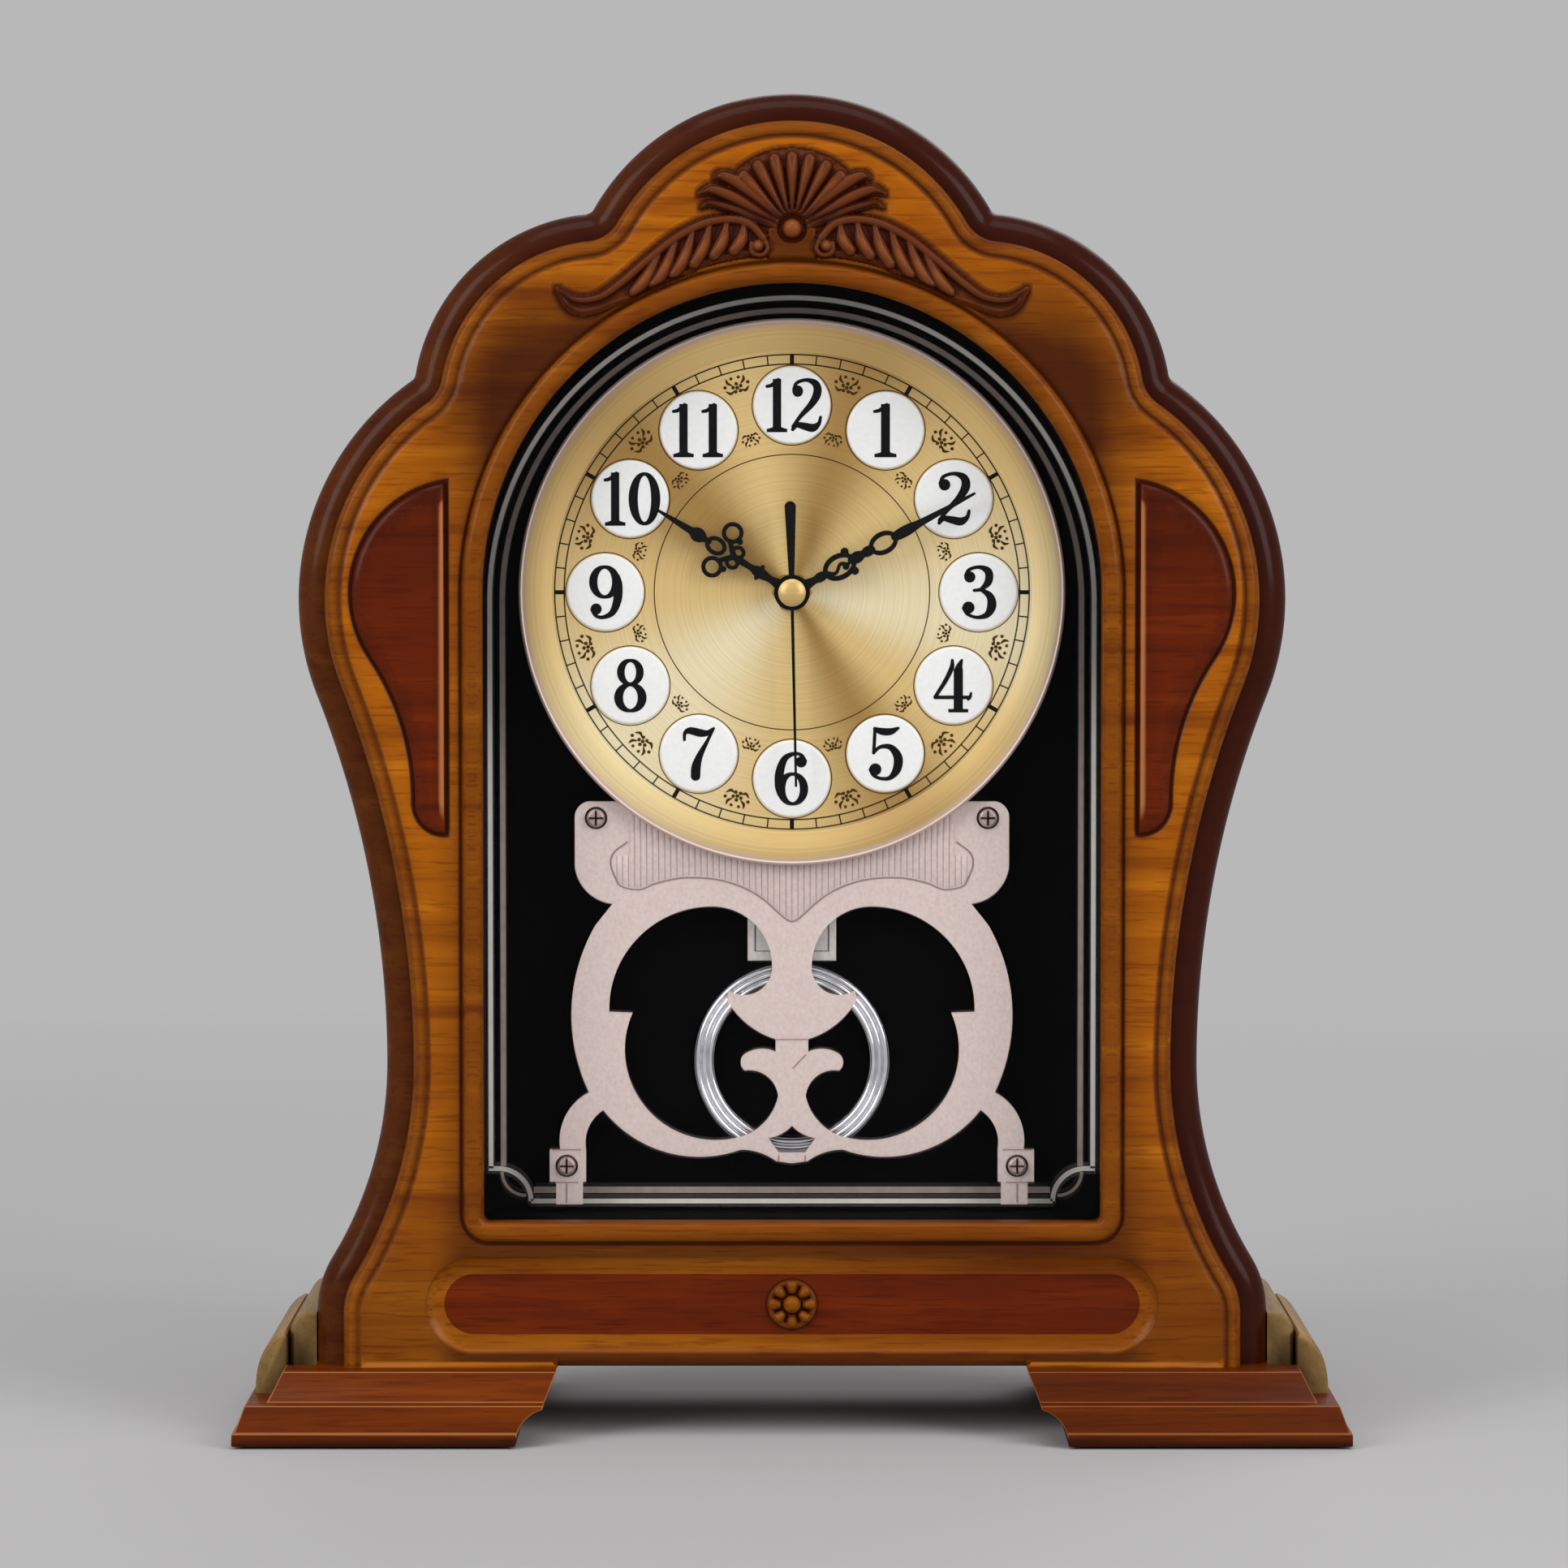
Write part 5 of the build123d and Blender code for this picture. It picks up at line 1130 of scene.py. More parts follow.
    def apron(self, inset: float) -> np.ndarray:
        """Loop of the apron field moved inwards.

        Args:
            inset: Distance inwards.

        Returns:
            Points of the closed loop.
        """
        radius = self.apron_r - inset
        right, _ = arc((self.apron_x, self.apron_z), radius, -QUARTER, QUARTER - HAIR, 30)
        across = np.linspace(self.apron_x, -self.apron_x, 50)[1:-1]
        top = np.column_stack((across, np.full(48, self.apron_z + radius)))
        bottom = np.column_stack((across[::-1], np.full(48, self.apron_z - radius)))
        return np.concatenate((right, top, mirrored(right[::-1], -1), bottom))

    def apron_profile(self) -> list[Line]:
        """Section of the apron's cove from the face to its floor.

        Returns:
            Inset, depth and stain tone of each line.
        """
        top_y = self.face_y + self.cove_sink
        sink = self.apron_floor_y - self.face_y - self.cove_sink
        shares = np.linspace(0.1, 1.0, 9)
        depths = top_y + sink * (1 - (1 - shares) ** 2.2)
        cove = [(self.cove_w * share, depth, self.cove_tone) for share, depth in zip(shares, depths)]
        return sunk(self.apron_lip, self.face_y) + cove

    def face_tone(self, spots: np.ndarray) -> np.ndarray:
        """Stain of the flat face: darker by the window, in the hollows of the shoulders and towards the foot,
        with a painted highlight line along its lower edge over the feet.

        Args:
            spots: Points in x and z.

        Returns:
            The tone of each: the stain, or the painted highlight along the lower edge.
        """
        out, rise = np.abs(spots[:, 0]), spots[:, 1] - self.dial_z
        height = spots[:, 1] - self.foot_z
        reach = np.hypot(out, np.maximum(rise, 0.0)) - self.window_r
        fades = [
            strength * (1 - ease(start, end, way))
            for (start, end, strength), way in (
                (self.window_stain, reach), (self.shoulder_stain, reach), (self.foot_stain, height),
            )
        ]
        middle, spread = self.shoulder_turn
        fades[1] *= np.exp(-(((np.degrees(np.arctan2(out, rise)) - middle) / spread) ** 2))
        # Painted highlight: a thin light line along the lower edge over the feet.
        on_foot = (height < self.rub_h) & (out > self.apron_gap - TOUCH)
        return np.where(on_foot, self.rub_tone, np.clip(sum(fades), 0, self.most_stain))

    def sweep(
        self, draft: MeshDraft, ring: Callable[[float], np.ndarray], lines: Sequence[Line],
        closed: bool = True, lean: float | np.ndarray = 0.0,
    ) -> list[np.ndarray]:
        """Runs a section along a ring.

        Args:
            draft: Mesh to add to.
            ring: Gives the ring for an inset.
            lines: Inset, depth and tone of each line of the section.
            closed: Whether the ring is closed.
            lean: Painted shade that the dark lines' tone gains along the ring, darker at the top and on the
                right, lighter on the left.

        Returns:
            Point indices of each line.
        """
        rows = []
        for inset, y, tone in lines:
            loop = ring(inset)
            stain = np.clip(tone + (lean if tone > 0.7 else 0.0), -1, 1)
            rows.append(draft.add(at_depth(loop, y), self.face_tone(loop) if y == self.face_y else stain))
        draft.skin(rows, closed)
        return rows

    def build(self) -> None:
        """Builds the board, the two raised fields and the floor of the sunk one."""
        draft = MeshDraft()
        shade_across, shade_up = self.edge_lean
        # Painted shade on the edge's dark lines, from which way each point faces.
        lean = shade_up * np.maximum(self.edge_normals[:, 1], 0.0) + shade_across * self.edge_normals[:, 0]
        edge, bead, cove = self.edge_profile(), self.window_profile(), self.apron_profile()
        groove = sunk(self.field_groove, self.face_y)
        rows = self.sweep(draft, self.rim, edge, closed=False, lean=lean)
        self.sweep(draft, self.window, bead)
        for side in SIDES:
            draft.face(self.sweep(draft, lambda inset: self.field(inset, side), groove)[-1])
        self.sweep(draft, self.apron, cove)
        self.face(draft, edge[-1][0], bead[-1][0], groove[0][0], cove[0][0])
        self.back(draft)
        self.bottom(draft, [row[0] for row in rows], [row[-1] for row in rows])
        solids = ("front_panel", "window_bead")
        draft.piece("front_board", "case", "front_wood", replaced=solids, weld=self.weld, crease=50.0)
        self.cheek_fields()
        self.apron_floor()

    def face(self, draft: MeshDraft, edge: float, bead: float, groove: float, cove: float) -> None:
        """Fills the flat face between the mouldings.

        Args:
            draft: Mesh to add to.
            edge: Inset of the moulded edge.
            bead: Width of the window's bead.
            groove: Inset of the cheek fields' grooves.
            cove: Inset of the apron's cove.
        """
        lip_z, gap = self.foot_z + self.apron_round, self.apron_gap
        under = ((gap, self.foot_z), (gap, lip_z), (-gap, lip_z), (-gap, self.foot_z))
        rim = np.concatenate((self.rim(edge), under))
        holes = [self.window(bead), self.field(groove, -1), self.field(groove, 1), self.apron(cove)]

        def wood(spots: np.ndarray) -> np.ndarray:
            """Tells which points are on the face."""
            return inside(rim, spots) & ~np.any([inside(hole, spots) for hole in holes], axis=0)

        def clear(spots: np.ndarray, gap: float) -> np.ndarray:
            """Keeps the points that are on the face with a gap round them."""
            ways = np.array(((0.0, 0.0), (gap, 0.0), (-gap, 0.0), (0.0, gap), (0.0, -gap)))
            return spots[np.all([wood(spots + way) for way in ways], axis=0)]

        rises = np.arange(self.foot_z + self.grid, self.top_z, self.grid)
        wide = lattice(np.arange(-self.grid_half, self.grid_half, self.grid), rises)
        # Finer rows along the foot hold the painted highlight line.
        low_xs = np.arange(-self.grid_half, self.grid_half, self.low_grid)
        low = lattice(low_xs, self.foot_z + np.array(self.low_rises))
        extra = np.concatenate((clear(wide, self.grid / 2), clear(low, self.low_grid / 3)))
        points, corners = fill([rim] + holes, wood, extra)
        draft.triangles(points, corners, self.face_y, self.face_tone(points))

    def back(self, draft: MeshDraft) -> None:
        """Closes the back of the board round the rebate.

        Args:
            draft: Mesh to add to.
        """
        rim, hole = self.edge_points, self.window(self.rebate_w)
        points, corners = fill([rim, hole], lambda spots: inside(rim, spots) & ~inside(hole, spots))
        draft.triangles(points, corners, self.back_y, self.back_stain)

    def bottom(self, draft: MeshDraft, left: list[int], right: list[int], tone: float = 0.75) -> None:
        """Rounds the lower edge between the feet and closes the underside.

        Args:
            draft: Mesh to add to.
            left: Points at the left ends of the edge lines, from the back to the face.
            right: The same on the right.
            tone: Its stain tone.
        """
        radius, gap = self.apron_round, self.apron_gap
        rows = []
        for turn in np.linspace(0, QUARTER, 9):
            y = self.face_y + radius * (1 - math.cos(turn))
            z = self.foot_z + radius * (1 - math.sin(turn))
            rows.append(draft.add(np.array(((-gap, y, z), (gap, y, z))), tone))
        draft.skin(rows)
        corner = draft.add(np.array(((-gap, self.face_y, self.foot_z), (gap, self.face_y, self.foot_z))), tone)
        for end in (0, 1):
            draft.face([row[end] for row in rows] + [corner[end]])
        draft.face(right + [corner[1], rows[-1][1], rows[-1][0], corner[0]] + left[::-1])

    def cheek_fields(self) -> None:
        """Builds the two raised fields of the cheeks, with painted shade that darkens the top and a painted
        highlight along the straight edge.
        """
        lines = self.field_profile()
        for side, node in zip(SIDES, ("side_panel_left", "side_panel_right")):
            draft = MeshDraft()
            rows = []
            for inset, y, tone in lines:
                loop = self.field(inset, side)
                straight = np.abs(np.abs(loop[:, 0]) - self.field_x - inset) < TOUCH
                share = (loop[:, 1] - loop[:, 1].min()) / np.ptp(loop[:, 1])
                # Painted highlight along the straight edge of the rounded rim.
                rub = straight * ease(0.01, 0.08, share) * (1 - ease(0.94, 0.99, share))
                rub = rub * ((0.4 < inset < 2.0) - 0.4 * (1.5 < inset < 2.0))
                stain = np.minimum(tone + self.field_tone(loop), 1.0)
                rows.append(draft.add(at_depth(loop, y), stain - rub * (stain + self.field_wear)))
            draft.skin(rows, closed=True)
            top = self.field(lines[-1][0], side)
            low, high = top.min(axis=0), top.max(axis=0)
            middle = (low + high) / 2
            grid = lattice(*(np.arange(low[axis], high[axis], self.grid) for axis in (0, 1)))
            grid = grid[inside(middle + (top - middle) * 0.97, grid)]
            points, corners = fill([top], lambda spots: inside(top, spots), grid)
            draft.triangles(points, corners, lines[-1][1], self.field_tone(points))
            draft.face(rows[0][::-1])
            draft.piece(node.replace("panel", "field"), "case", "panel_wood", replaced=(node,), weld=self.weld)

    def field_tone(self, spots: np.ndarray) -> np.ndarray:
        """Painted shade of a cheek field, from a pale foot to a dark top."""
        rise = spots[:, 1] - self.dial_z
        return sum(strength * ease(start, end, rise) for start, end, strength in self.field_stains)

    def apron_floor(self) -> None:
        """Builds the floor of the apron's sunk field."""
        draft = MeshDraft()
        draft.slab(self.apron(self.cove_w), self.apron_floor_y, self.apron_floor_y + self.floor_t, 0.1)
        draft.piece("apron_field", "case", "panel_wood", replaced=("apron_panel",))


# ---------------------------------------------------------------- carving and flat cut shapes


def smooth_curve(rows: Sequence[Sequence[float]], per_span: int = 8) -> np.ndarray:
    """Smooth curve through a few rows of values.

    Args:
        rows: Values that the curve passes, such as x, z and a width.
        per_span: Number of points for each stretch between two rows.

    Returns:
        The rows of the curve.
    """
    stops = np.asarray(rows, float)
    if len(stops) < 3:
        share = np.linspace(0, 1, per_span + 1)[:, None]
        return stops[0] * (1 - share) + stops[-1] * share
    padded = np.concatenate(([2 * stops[0] - stops[1]], stops, [2 * stops[-1] - stops[-2]]))
    share = np.linspace(0, 1, per_span, endpoint=False)[:, None]
    spans = []
    for before, start, end, after in zip(padded, padded[1:], padded[2:], padded[3:]):
        bend = 2 * before - 5 * start + 4 * end - after
        twist = 3 * (start - end) + after - before
        spans.append(start + 0.5 * share * (end - before + share * (bend + share * twist)))
    return np.concatenate(spans + [stops[-1:]])


def grown(cells: np.ndarray, room: np.ndarray | bool = True) -> np.ndarray:
    """Grows marked cells of a grid by one step on all sides.

    Args:
        cells: The marked cells.
        room: Where there is room to grow.

    Returns:
        The marked and the new cells.
    """
    for axis in (0, 1):
        cells = cells | (room & (np.roll(cells, 1, axis) | np.roll(cells, -1, axis)))
    return cells


class Grid:
    """Fine grid in x and z to draw or carve on, in millimetres."""

    def __init__(self, low: Spot, high: Spot, step: float) -> None:
        """Lays out the grid.

        Args:
            low: Lower left corner in x and z.
            high: Upper right corner.
            step: Spacing of the grid.
        """
        self.step = step
        self.xs = np.arange(low[0], high[0] + step / 2, step)
        self.zs = np.arange(low[1], high[1] + step / 2, step)
        self.x, self.z = np.meshgrid(self.xs, self.zs)

    def reach(self, x: float, z: float) -> np.ndarray:
        """Distance of the grid's points from a place."""
        return np.hypot(self.x - x, self.z - z)

    def stretches(self, rows: Sequence[Sequence[float]]) -> Iterator[tuple[np.ndarray, list[np.ndarray]]]:
        """Goes along a smooth curve, one short stretch after another.

        Args:
            rows: x, z and further values at a few stops of the curve.

        Returns:
            For each stretch, the distance of the grid's points from it, and the further values next to them.
        """
        path = smooth_curve(rows)
        for start, end in zip(path, path[1:]):
            run = end[:2] - start[:2]
            dx, dz = self.x - start[0], self.z - start[1]
            share = np.clip((dx * run[0] + dz * run[1]) / max(run @ run, 1e-9), 0, 1)
            gap = np.hypot(dx - share * run[0], dz - share * run[1])
            yield gap, [first + share * (last - first) for first, last in zip(start[2:], end[2:])]


class Relief(Grid):
    """Carving over a grid, as the height that stands out of its ground."""

    LEAST, LIFT, SINK = 0.1, 0.04, 0.3

    def __init__(self, low: Spot, high: Spot, step: float) -> None:
        """Starts flat between two corners."""
        super().__init__(low, high, step)
        self.height = np.zeros_like(self.x)

    def raise_to(self, height: np.ndarray) -> None:
        """Raises the carving to a height where it is lower."""
        self.height = np.maximum(self.height, height)

    def ridge(self, rows: Sequence[Sequence[float]], sharp: float = 0.5) -> None:
        """Raises a ridge through rows of x, z, half width and height, round (sharp 0.5) to pointed (1)."""
        for gap, (half, top) in self.stretches(rows):
            self.raise_to(top * np.clip(1 - (gap / half) ** 2, 0, 1) ** sharp)

    def dome(self, x: float, z: float, radius: float, top: float) -> None:
        """Raises a round boss."""
        self.raise_to(top * np.sqrt(np.clip(1 - (self.reach(x, z) / radius) ** 2, 0, 1)))

    def cavities(self, reach: int, depth: float) -> np.ndarray:
        """Painted shade that darkens the hollows.

        Args:
            reach: Grid steps over which a hollow is compared with its surroundings.
            depth: Depth in millimetres at which the painted shade is full.

        Returns:
            The tone of that painted shade over the grid.
        """
        mean = self.height
        for axis in (0, 1):
            mean = sum(np.roll(mean, shift, axis) for shift in range(-reach, reach + 1)) / (2 * reach + 1)
        return np.clip((mean - self.height) / depth, 0, 1)

    def piece(
        self, name: str, ground_y: float, tone: np.ndarray, ground_tone: np.ndarray, bare: np.ndarray,
        replaced: str, skirt: int,
    ) -> None:
        """Makes the carving a piece of the case whose edges sink into its ground.

        Args:
            name: Name of the piece.
            ground_y: Depth of the ground.
            tone: Tone over the carving: stain, painted shade in its hollows and a painted highlight on its
                tops.
            ground_tone: Stain of the ground round it.
            bare: Where the ground is flat, so that the outline may run there.
            replaced: Solid that it stands for.
            skirt: Grid steps of painted shadow along the carving's outline.
        """
        shown = self.height > self.step * self.LEAST
        tone = np.where(shown, tone, ground_tone)
        near = shown
        # Painted shadow on the ground round the carving, fading outwards.
        for level in np.linspace(1.0, 0.0, skirt):
            before, near = near, grown(near, bare)
            tone = np.where(near & ~before, ground_tone + (1 - ground_tone) * level, tone)
        edge = grown(near)
        cells = edge[:-1, :-1] & edge[:-1, 1:] & edge[1:, 1:] & edge[1:, :-1]
        y = np.where(shown, ground_y - self.height, np.where(near, ground_y - self.LIFT, ground_y + self.SINK))
        rows, columns = np.nonzero(cells)
        corners = ((rows, columns), (rows, columns + 1), (rows + 1, columns + 1), (rows + 1, columns))
        used = np.zeros(self.x.shape, bool)
        for corner in corners:
            used[corner] = True
        numbers = np.cumsum(used).reshape(used.shape) - 1
        draft = MeshDraft()
        draft.add(np.column_stack((self.x[used], y[used], self.z[used])), tone[used])
        for face in zip(*(numbers[corner] for corner in corners)):
            draft.face(face)
        draft.piece(name, "case", "carved_wood", replaced=(replaced,), crease=80.0)


@dataclass
class Crest:
    """Carved crest over the window: a ribbed shell on a pearl between two leaf scrolls.

    Edges and curls hold distances from the middle and rises over the top of the window, drawn for the right.
    Ridges add half widths and heights.
    """

    step: float = 0.34
    half_w: float = 77.0
    rises: Spot = (-16.0, 45.0)
    bead_gap: float = 0.7
    edge_fade: float = 1.4
    edge_bare: float = 0.9
    foot_tone: float = 0.6
    tone_steps: tuple[Line, ...] = ((0.4, 2.8, 0.76), (2.8, 3.4, 0.34))
    stain_reach: int = 5
    stain_depth: float = 0.6
    stain_gain: float = 1.2
    skirt: int = 5
    shell_rise: float = 16.7
    shell_r: float = 25.0
    ribs: int = 7
    fan: float = 43.0
    rib: tuple[Line, ...] = ((3.0, 0.7, 1.5), (11.0, 1.5, 2.5), (18.0, 2.4, 3.1), (22.0, 2.8, 2.7))
    pearl: Spot = (3.3, 4.4)
    pearl_ditch: Spot = (4.0, 0.7)
    pearl_ditch_depth: float = 0.8
    shell_edge: float = 2.5
    shell_slope: float = 0.45
    pad_edge: Spot = (8.2, 6.6)
    pad_h: float = 1.1
    pad_rise: float = 5.0
    leaflets: int = 6
    leaflet: tuple[Spot, ...] = ((1.5, 2.2), (2.5, 3.3), (2.5, 2.9))
    leaflet_roots: Spot = (15.0, 26.5)
    leaflet_tips: Spot = (3.0, 4.4)
    leaflet_gaps: Spot = (3.0, 2.6)
    leaflet_belly: float = 1.1
    wing_top: tuple[Spot, ...] = (
        (7.6, 13.0), (11.2, 18.2), (17.0, 20.8), (25.4, 20.3), (34.8, 16.1), (43.2, 9.8), (53.7, 0.9),
        (60.0, -3.3), (66.3, -4.4), (73.4, -1.2),
    )
    wing_foot: tuple[Spot, ...] = (
        (7.6, 9.6), (11.8, 8.6), (25.4, 5.6), (34.8, 0.9), (45.3, -4.3), (53.7, -7.0), (65.3, -10.4),
        (70.0, -8.0), (73.4, -2.4),
    )
    wing_edge: float = 1.4
    wing_h: float = 0.9
    wing_rim: tuple[tuple[float, ...], ...] = (
        (9.0, 1.5, 1.7, 2.5), (13.0, 1.5, 1.7, 2.5), (19.0, 1.5, 1.7, 2.5), (27.0, 1.5, 1.7, 2.5),
        (36.0, 1.5, 1.7, 2.5), (45.0, 1.5, 1.7, 2.5), (53.0, 1.5, 1.7, 2.5), (60.0, 1.3, 1.5, 2.3),
        (67.0, 1.1, 1.3, 2.1), (72.6, 0.9, 0.7, 1.5),
    )
    wing_border: tuple[tuple[float, ...], ...] = (
        (13.0, 1.0, 1.1, 1.5), (25.0, 1.0, 1.1, 1.5), (35.0, 1.0, 1.1, 1.5), (45.0, 1.0, 1.1, 1.5),
        (54.0, 1.0, 1.1, 1.5), (64.0, 1.0, 1.1, 1.5), (69.4, 1.2, 1.1, 1.6), (72.8, 1.4, 0.8, 1.4),
    )
    curl: Spot = (1.2, 2.4)
    wing_curl: tuple[Spot, ...] = ((8.2, 12.6), (7.6, 10.2), (9.6, 8.4), (12.4, 9.4), (12.6, 12.0))
    wing_eye: tuple[float, ...] = (10.6, 11.4, 2.2, 3.4)
    side_leaves: tuple[tuple[tuple[float, ...], ...], ...] = (
        ((3.4, 2.6, 0.8, 1.6), (9.0, 8.0, 1.8, 2.4), (15.6, 13.4, 2.5, 2.9), (21.2, 16.2, 2.0, 2.5),
         (23.8, 15.6, 0.8, 1.6)),
        ((4.0, 1.6, 0.8, 1.5), (10.5, 5.4, 1.7, 2.2), (18.0, 9.6, 2.3, 2.7), (24.6, 12.0, 1.9, 2.4),
         (28.4, 10.8, 0.8, 1.6)),
        ((4.6, 0.4, 0.8, 1.3), (11.0, 3.0, 1.4, 1.8), (18.0, 6.0, 1.7, 2.1), (25.0, 7.8, 1.3, 1.9),
         (28.0, 6.6, 0.6, 1.3)),
    )

    def build(self, board: FrontBoard) -> None:
        """Builds the carving.

        Args:
            board: The board that carries it.
        """
        arch_z, clear_r = board.arch_z, board.bead_r + self.bead_gap
        low, high = ((side * self.half_w, arch_z + rise) for side, rise in zip(SIDES, self.rises))
        relief = Relief(low, high, self.step)
        for side in SIDES:
            self.wing(relief, side, arch_z)
        self.shell(relief, arch_z)
        reach = relief.reach(0.0, board.dial_z)
        relief.height *= ease(clear_r, clear_r + self.edge_fade, reach)
        # Tone climbs with height, through the dark stain into the lighter ridge colour; the top step is a
        # painted highlight on the crests.
        tone = self.foot_tone
        for start, end, gain in self.tone_steps:
            tone = tone + gain * ease(start, end, relief.height)
        # Painted shade darkens the carving's hollows.
        stain = np.clip(self.stain_gain * relief.cavities(self.stain_reach, self.stain_depth), 0, 1)
        tone += (1 - tone) * stain
        ground = board.face_tone(lattice(relief.xs, relief.zs)).reshape(relief.x.shape)
        bare = reach > clear_r + self.edge_bare
        relief.piece("crest_relief", board.face_y, tone, ground, bare, "crest_carving", self.skirt)

    def wing(self, relief: Relief, side: int, arch_z: float) -> None:
        """Carves one leaf scroll.

        Args:
            relief: Carving to add to.
            side: 1 on the right, -1 on the left.
            arch_z: Height of the top of the window.
        """
        top, foot = smooth_curve(self.wing_top).T, smooth_curve(self.wing_foot).T
        x = side * relief.x
        upper, lower = np.interp(x, *top) + arch_z, np.interp(x, *foot) + arch_z
        within = (x > self.wing_top[0][0]) & (x < self.wing_top[-1][0])
        ground = self.wing_h * ease(0.0, self.wing_edge, upper - relief.z)
        relief.raise_to(np.where(within, ground * ease(0.0, self.wing_edge, relief.z - lower), 0.0))

        def on_top(at: float, below: float) -> Spot:
            """Point under the upper edge at a distance from the middle."""
            return side * at, float(np.interp(at, *top)) + arch_z - below

        def on_foot(at: float, above: float) -> Spot:
            """Point over the lower edge at a distance from the middle."""
            return side * at, float(np.interp(at, *foot)) + arch_z + above

        relief.ridge([(*on_top(at, below), *size) for at, below, *size in self.wing_rim])
        relief.ridge([(*on_foot(at, above), *size) for at, above, *size in self.wing_border])
        relief.ridge([(side * at, arch_z + rise, *self.curl) for at, rise in self.wing_curl])
        at, rise, radius, height = self.wing_eye
        relief.dome(side * at, arch_z + rise, radius, height)
        (first, run), (reach, gain), (below, above) = self.leaflet_roots, self.leaflet_tips, self.leaflet_gaps
        for share in np.arange(self.leaflets) / (self.leaflets - 1):
            root_at = first + run * share
            root, tip = on_top(root_at, below), on_foot(root_at + reach + gain * share, above)
            belly_x = 0.4 * root[0] + 0.6 * tip[0] - side * self.leaflet_belly
            belly = (belly_x, 0.45 * root[1] + 0.55 * tip[1])
            rows = [(*spot, *size) for spot, size in zip((root, belly, tip), self.leaflet)]
            relief.ridge(rows, sharp=0.7)

    def shell(self, relief: Relief, arch_z: float) -> None:
        """Carves the shell, its side leaves, the pearl and the pad under it.

        Args:
            relief: Carving to add to.
            arch_z: Height of the top of the window.
        """
        foot_z = arch_z + self.shell_rise
        for lean in np.radians(self.fan * np.linspace(-1, 1, self.ribs)):
            out, _ = heading(lean)
            rows = [(reach * out[0], foot_z + reach * out[1], *size) for reach, *size in self.rib]
            relief.ridge(rows, sharp=0.75)
        for side in SIDES:
            for leaf in self.side_leaves:
                relief.ridge([(side * at, foot_z + rise, *size) for at, rise, *size in leaf], sharp=0.65)
        out, gap = np.abs(relief.x), relief.reach(0.0, foot_z)
        ground = ease(self.shell_r, self.shell_r - self.shell_edge, gap)
        relief.raise_to(np.where(relief.z > foot_z + self.shell_slope * out, ground, 0.0))
        pad = ease(*self.pad_edge, out) * ease(0.0, 1.5, foot_z + 1.0 - relief.z)
        relief.raise_to(self.pad_h * pad * ease(0.0, 1.0, relief.z - arch_z - self.pad_rise))
        ditch_r, ditch_w = self.pearl_ditch
        relief.height *= 1 - self.pearl_ditch_depth * np.exp(-(((gap - ditch_r) / ditch_w) ** 2))
        relief.dome(0.0, foot_z, *self.pearl)


@dataclass
class Rosette:
    """Turned and carved rosette in the middle of the apron."""

    petals: int = 8
    petal_r: float = 5.5
    petal_half: float = 2.5
    petal_h: float = 2.3
    boss_r: float = 2.9
    boss_h: float = 3.4
    rim_w: float = 1.1
    rim_h: float = 1.3
    ground_h: float = 0.25
    rings: int = 34
    spokes: int = 128
    eye_r: float = 0.05
    tone_top: float = 1.2
    tone_fall: float = 2.6
    least_tone: float = 0.45
    edge_tone: float = 0.9
    sink: float = 0.2

    def build(self) -> None:
        """Builds the rosette as rings of points round its middle."""
        low, high = node_box("apron_rosette")
        middle = (low + high)[[0, 2]] / 2
        outer, ground_y = (high[0] - low[0]) / 2, high[1]
        angles = np.linspace(0, FULL, self.spokes, endpoint=False)
        ways = np.column_stack((np.cos(angles), np.sin(angles)))
        draft = MeshDraft()
        rows = []
        for radius in np.linspace(self.eye_r, outer, self.rings):
            height = self.height(radius, angles, outer)
            # Lower parts darker and raised parts lighter: painted shade in the rosette's hollows.
            tone = np.clip(self.tone_top - height / self.tone_fall, self.least_tone, 1)
            rows.append(draft.add(at_depth(middle + radius * ways, ground_y - height), tone))
        rows.append(draft.add(at_depth(middle + outer * ways, ground_y + self.sink), self.edge_tone))
        draft.skin(rows, closed=True)
        draft.face(rows[0])
        draft.piece("rosette_relief", "case", "carved_wood", replaced=("apron_rosette",), crease=80.0)

    def height(self, radius: float, angles: np.ndarray, outer: float) -> np.ndarray:
        """Height of the carving along a ring.

        Args:
            radius: Distance from the middle.
            angles: Directions from the middle.
            outer: Radius of the rosette.

        Returns:
            Heights over the apron's floor.
        """

        def swell(middle: float, half: float) -> float:
            """Round swelling across the ring, 1 at its middle."""
            return max(1 - ((radius - middle) / half) ** 2, 0.0)

        boss = self.boss_h * swell(0.0, self.boss_r) ** 0.5
        rim = self.rim_h * swell(outer - self.rim_w, self.rim_w) ** 0.5
        lobe = np.abs(np.cos(self.petals * angles / 2)) ** 0.8
        petal = self.petal_h * lobe * swell(self.petal_r, self.petal_half) ** 0.6
        return np.maximum(petal, max(boss, rim, self.ground_h))


